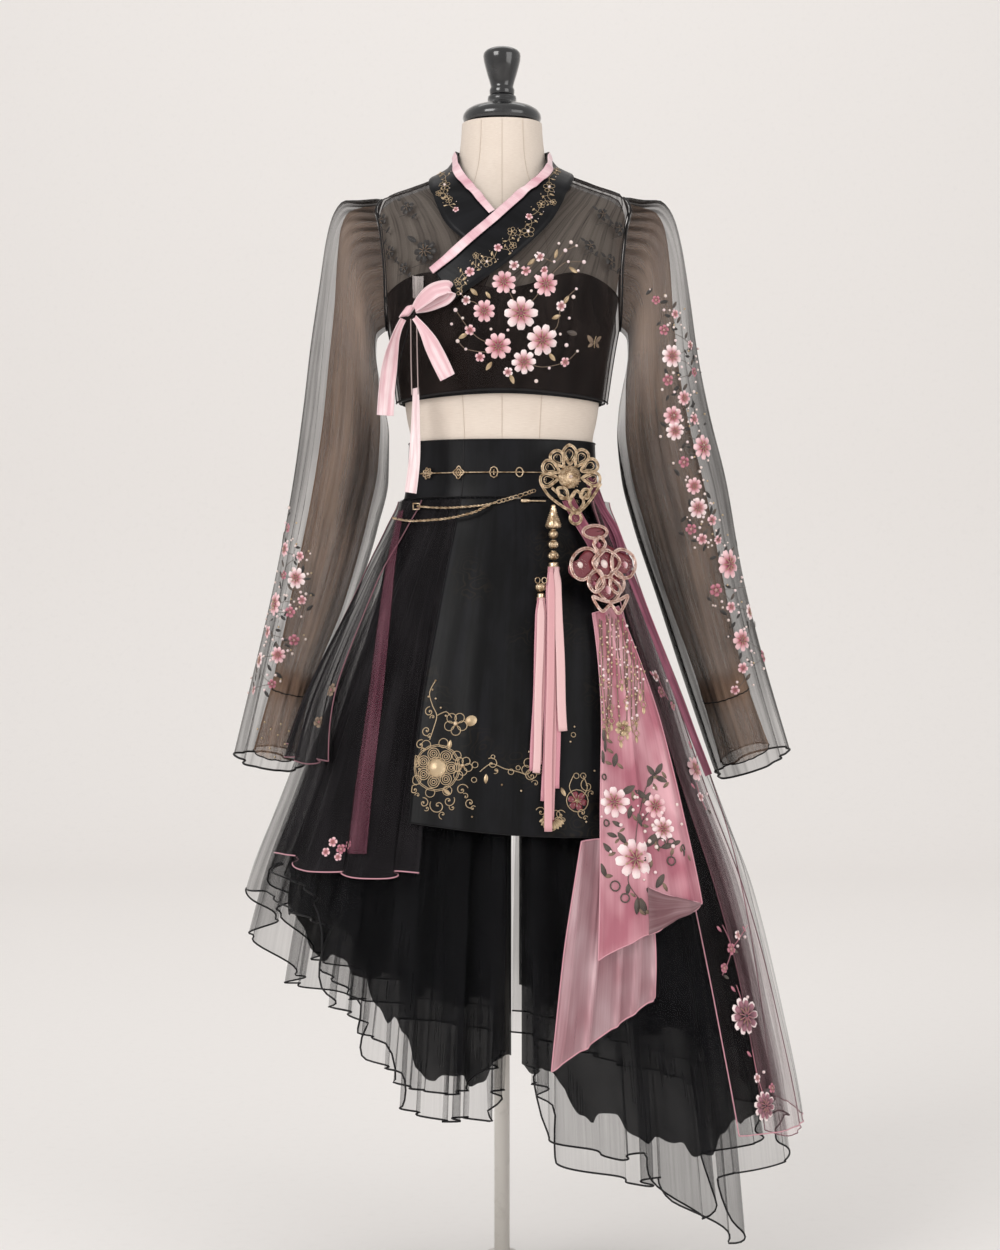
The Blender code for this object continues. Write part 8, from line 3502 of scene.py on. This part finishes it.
@dataclass
class RoseRibbons:
    """Dark rose ribbons that fall from behind the gold pendant."""

    long: Triples = (
        (57, 1.04, 0.012), (58, 0.98, 0.024), (59, 0.885, 0.034), (62, 0.79, 0.036), (66, 0.665, 0.037))
    left_fold: Triples = (
        (-0.129, 1, 0.014), (-0.14, 0.93, 0.027), (-0.147, 0.86, 0.033), (-0.157, 0.76, 0.035),
        (-0.17, 0.65, 0.035), (-0.177, 0.575, 0.035))
    fold_facing: Triple = (0.85, -0.5, 0)
    fold_width: tuple[float, ...] = (0.006, 0.012, 0.017, 0.02, 0.023, 0.026)
    short: Triples = (
        (52, 1.04, 0.016), (56, 1.01, 0.024), (58, 0.965, 0.032), (55, 0.925, 0.036))
    strip: Triples = (
        (41, 1.012, 0.012), (43, 0.985, 0.018), (45.5, 0.955, 0.024), (47, 0.92, 0.028))

    def build(self) -> None:
        """Build the ribbons."""
        parts = (
            ("rose_ribbon_satin", self.long, 0.0102, SATIN_ROSE, ("rose_ribbon",), (0.8, 0.55, 0.3)),
            ("rose_ribbon_short", self.short, 0.01, SATIN_ROSE, (), (0.8, 0.55, 0.2)),
            ("rose_ribbon_strip", self.strip, 0.017, SATIN_STRIP, (), (0.8, 0.45, 0.18)))
        for number, (name, stops, width, finish, nodes, across) in enumerate(parts):
            path = np.array([SKIRT.level(*stop) for stop in stops])
            Ribbon(name, path, np.array(across), width, finish, Slot.SATIN_ROSE, Held.HUNG,
                   ("norigae_gold_knot",), nodes, seed=90 + number).build()
        path = np.array([SKIRT.front(*stop) for stop in self.left_fold])
        Ribbon("overlay_left_rose_fold", path, np.array(self.fold_facing),
               np.array(self.fold_width), ORGANZA_FOLD, Slot.ORGANZA_PINK,
               Held.HUNG, ("waistband_satin",), seed=95).build()


# --- studio ---------------------------------------------------------------------------------------

@dataclass(frozen=True)
class Lamp:
    """A soft area light aimed at a point."""

    name: str
    place: Triple
    aim: Triple
    size: float
    power: float
    tint: Colour = (1, 0.985, 0.97)

    def build(self) -> None:
        """Hang the light."""
        light = bpy.data.lights.new(self.name, "AREA")
        light.shape = "SQUARE"
        light.size = self.size
        light.energy = self.power
        light.color = self.tint
        lamp = bpy.data.objects.new(self.name, light)
        lamp.location = self.place
        lamp.rotation_euler = (Vector(self.aim) - Vector(self.place)).to_track_quat("-Z", "Y").to_euler()
        bpy.context.scene.collection.objects.link(lamp)


@dataclass
class Studio:
    """A plain pale backdrop, soft lights and the front camera."""

    wall: Colour = (0.88, 0.855, 0.84)
    world: Colour = (1, 0.985, 0.965)
    world_strength: float = 0.66
    floor_end: float = 5.2
    bend: float = 1.4
    reach: float = 8.0
    lamps: tuple[Lamp, ...] = (
        Lamp("key", (-2.6, -3.4, 3), (0, 0, 0.9), 2.2, 95.0),
        Lamp("fill", (3, -3, 1.8), (0, 0, 0.8), 2.6, 45.0),
        Lamp("wall_wash", (0, 2.6, 5.6), (0, 6.4, 0.8), 4.0, 60.0))

    def backdrop(self) -> None:
        """Curve a sheet of paper from the floor up behind the form."""
        bend = [(-self.reach, -0.001), (self.floor_end, -0.001)]
        for step in range(1, 13):
            turn = step * math.pi / 24.0
            bend.append((self.floor_end + self.bend * math.sin(turn),
                         self.bend * (1.0 - math.cos(turn)) - 0.001))
        bend.append((self.floor_end + self.bend, self.reach))
        points = [(x, y, z) for y, z in bend for x in (-self.reach, self.reach)]
        faces = [(2 * i, 2 * i + 1, 2 * i + 3, 2 * i + 2) for i in range(len(bend) - 1)]
        mesh = bpy.data.meshes.new("backdrop")
        mesh.from_pydata(points, [], faces)
        mesh.shade_smooth()
        paper = Coated("backdrop_paper", self.wall, tuple(part * 0.97 for part in self.wall), 0.9)
        mesh.materials.append(paper.material())
        sheet = bpy.data.objects.new("backdrop", mesh)
        bpy.context.scene.collection.objects.link(sheet)

    def sky(self) -> None:
        """Light everything evenly."""
        world = bpy.data.worlds.new("soft_light")
        world.use_nodes = True
        background = world.node_tree.nodes["Background"]
        background.inputs["Color"].default_value = (*self.world, 1.0)
        background.inputs["Strength"].default_value = self.world_strength
        bpy.context.scene.world = world

    def camera(self) -> None:
        """Set the front camera."""
        data = bpy.data.cameras.new("front")
        data.lens = VIEW.lens
        data.sensor_fit = "VERTICAL"
        data.sensor_height = VIEW.sensor
        data.dof.use_dof = False
        camera = bpy.data.objects.new("front", data)
        camera.location = VIEW.place
        camera.rotation_euler = (math.radians(90.0), 0.0, 0.0)
        bpy.context.scene.collection.objects.link(camera)
        bpy.context.scene.camera = camera

    def build(self) -> None:
        """Build the studio."""
        self.backdrop()
        self.sky()
        for lamp in self.lamps:
            lamp.build()
        self.camera()
        scene = bpy.context.scene
        scene.view_settings.view_transform = "Standard"
        scene.cycles.transparent_max_bounces = 28


# --- the whole ------------------------------------------------------------------------------------


def main() -> None:
    """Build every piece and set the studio."""
    logging.basicConfig(level=logging.INFO, format="%(message)s")
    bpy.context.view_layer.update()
    DressForm().build()
    bodice = Bodice()
    bodice.build()
    collar = Collar()
    collar.build()
    sleeves = (Sleeve(Side.LEFT, 0.0094, SLEEVE_LEFT),
               Sleeve(Side.RIGHT, 0.013, SLEEVE_RIGHT, inner_shade=0.42))
    for sleeve in sleeves:
        sleeve.build()
    for layer in SKIRT_LAYERS:
        layer.build()
    Waistband().build()
    panels = {panel.name: panel.build() for panel in PANELS}
    ScarfTurn().build(panels["scarf_upper"])
    Bow().build()
    CollarFlowers().build(collar)
    ChestFlowers().build(bodice)
    SleeveFlowers().build(*sleeves)
    ApronScrolls().build(panels["apron"])
    ScarfFlowers().build(panels["scarf_upper"])
    OverlayFlowers().build(
        Ground([panels["overlay_right"].points]), Ground([panels["overlay_left_lower"].points]),
        Ground([panels["overlay_left_upper"].points]))
    GoldPendant().build()
    for tassel in TASSELS:
        tassel.build()
    RosePendant().build()
    Chains().build()
    RoseRibbons().build()
    Studio().build()


if __name__ == "__main__":
    main()
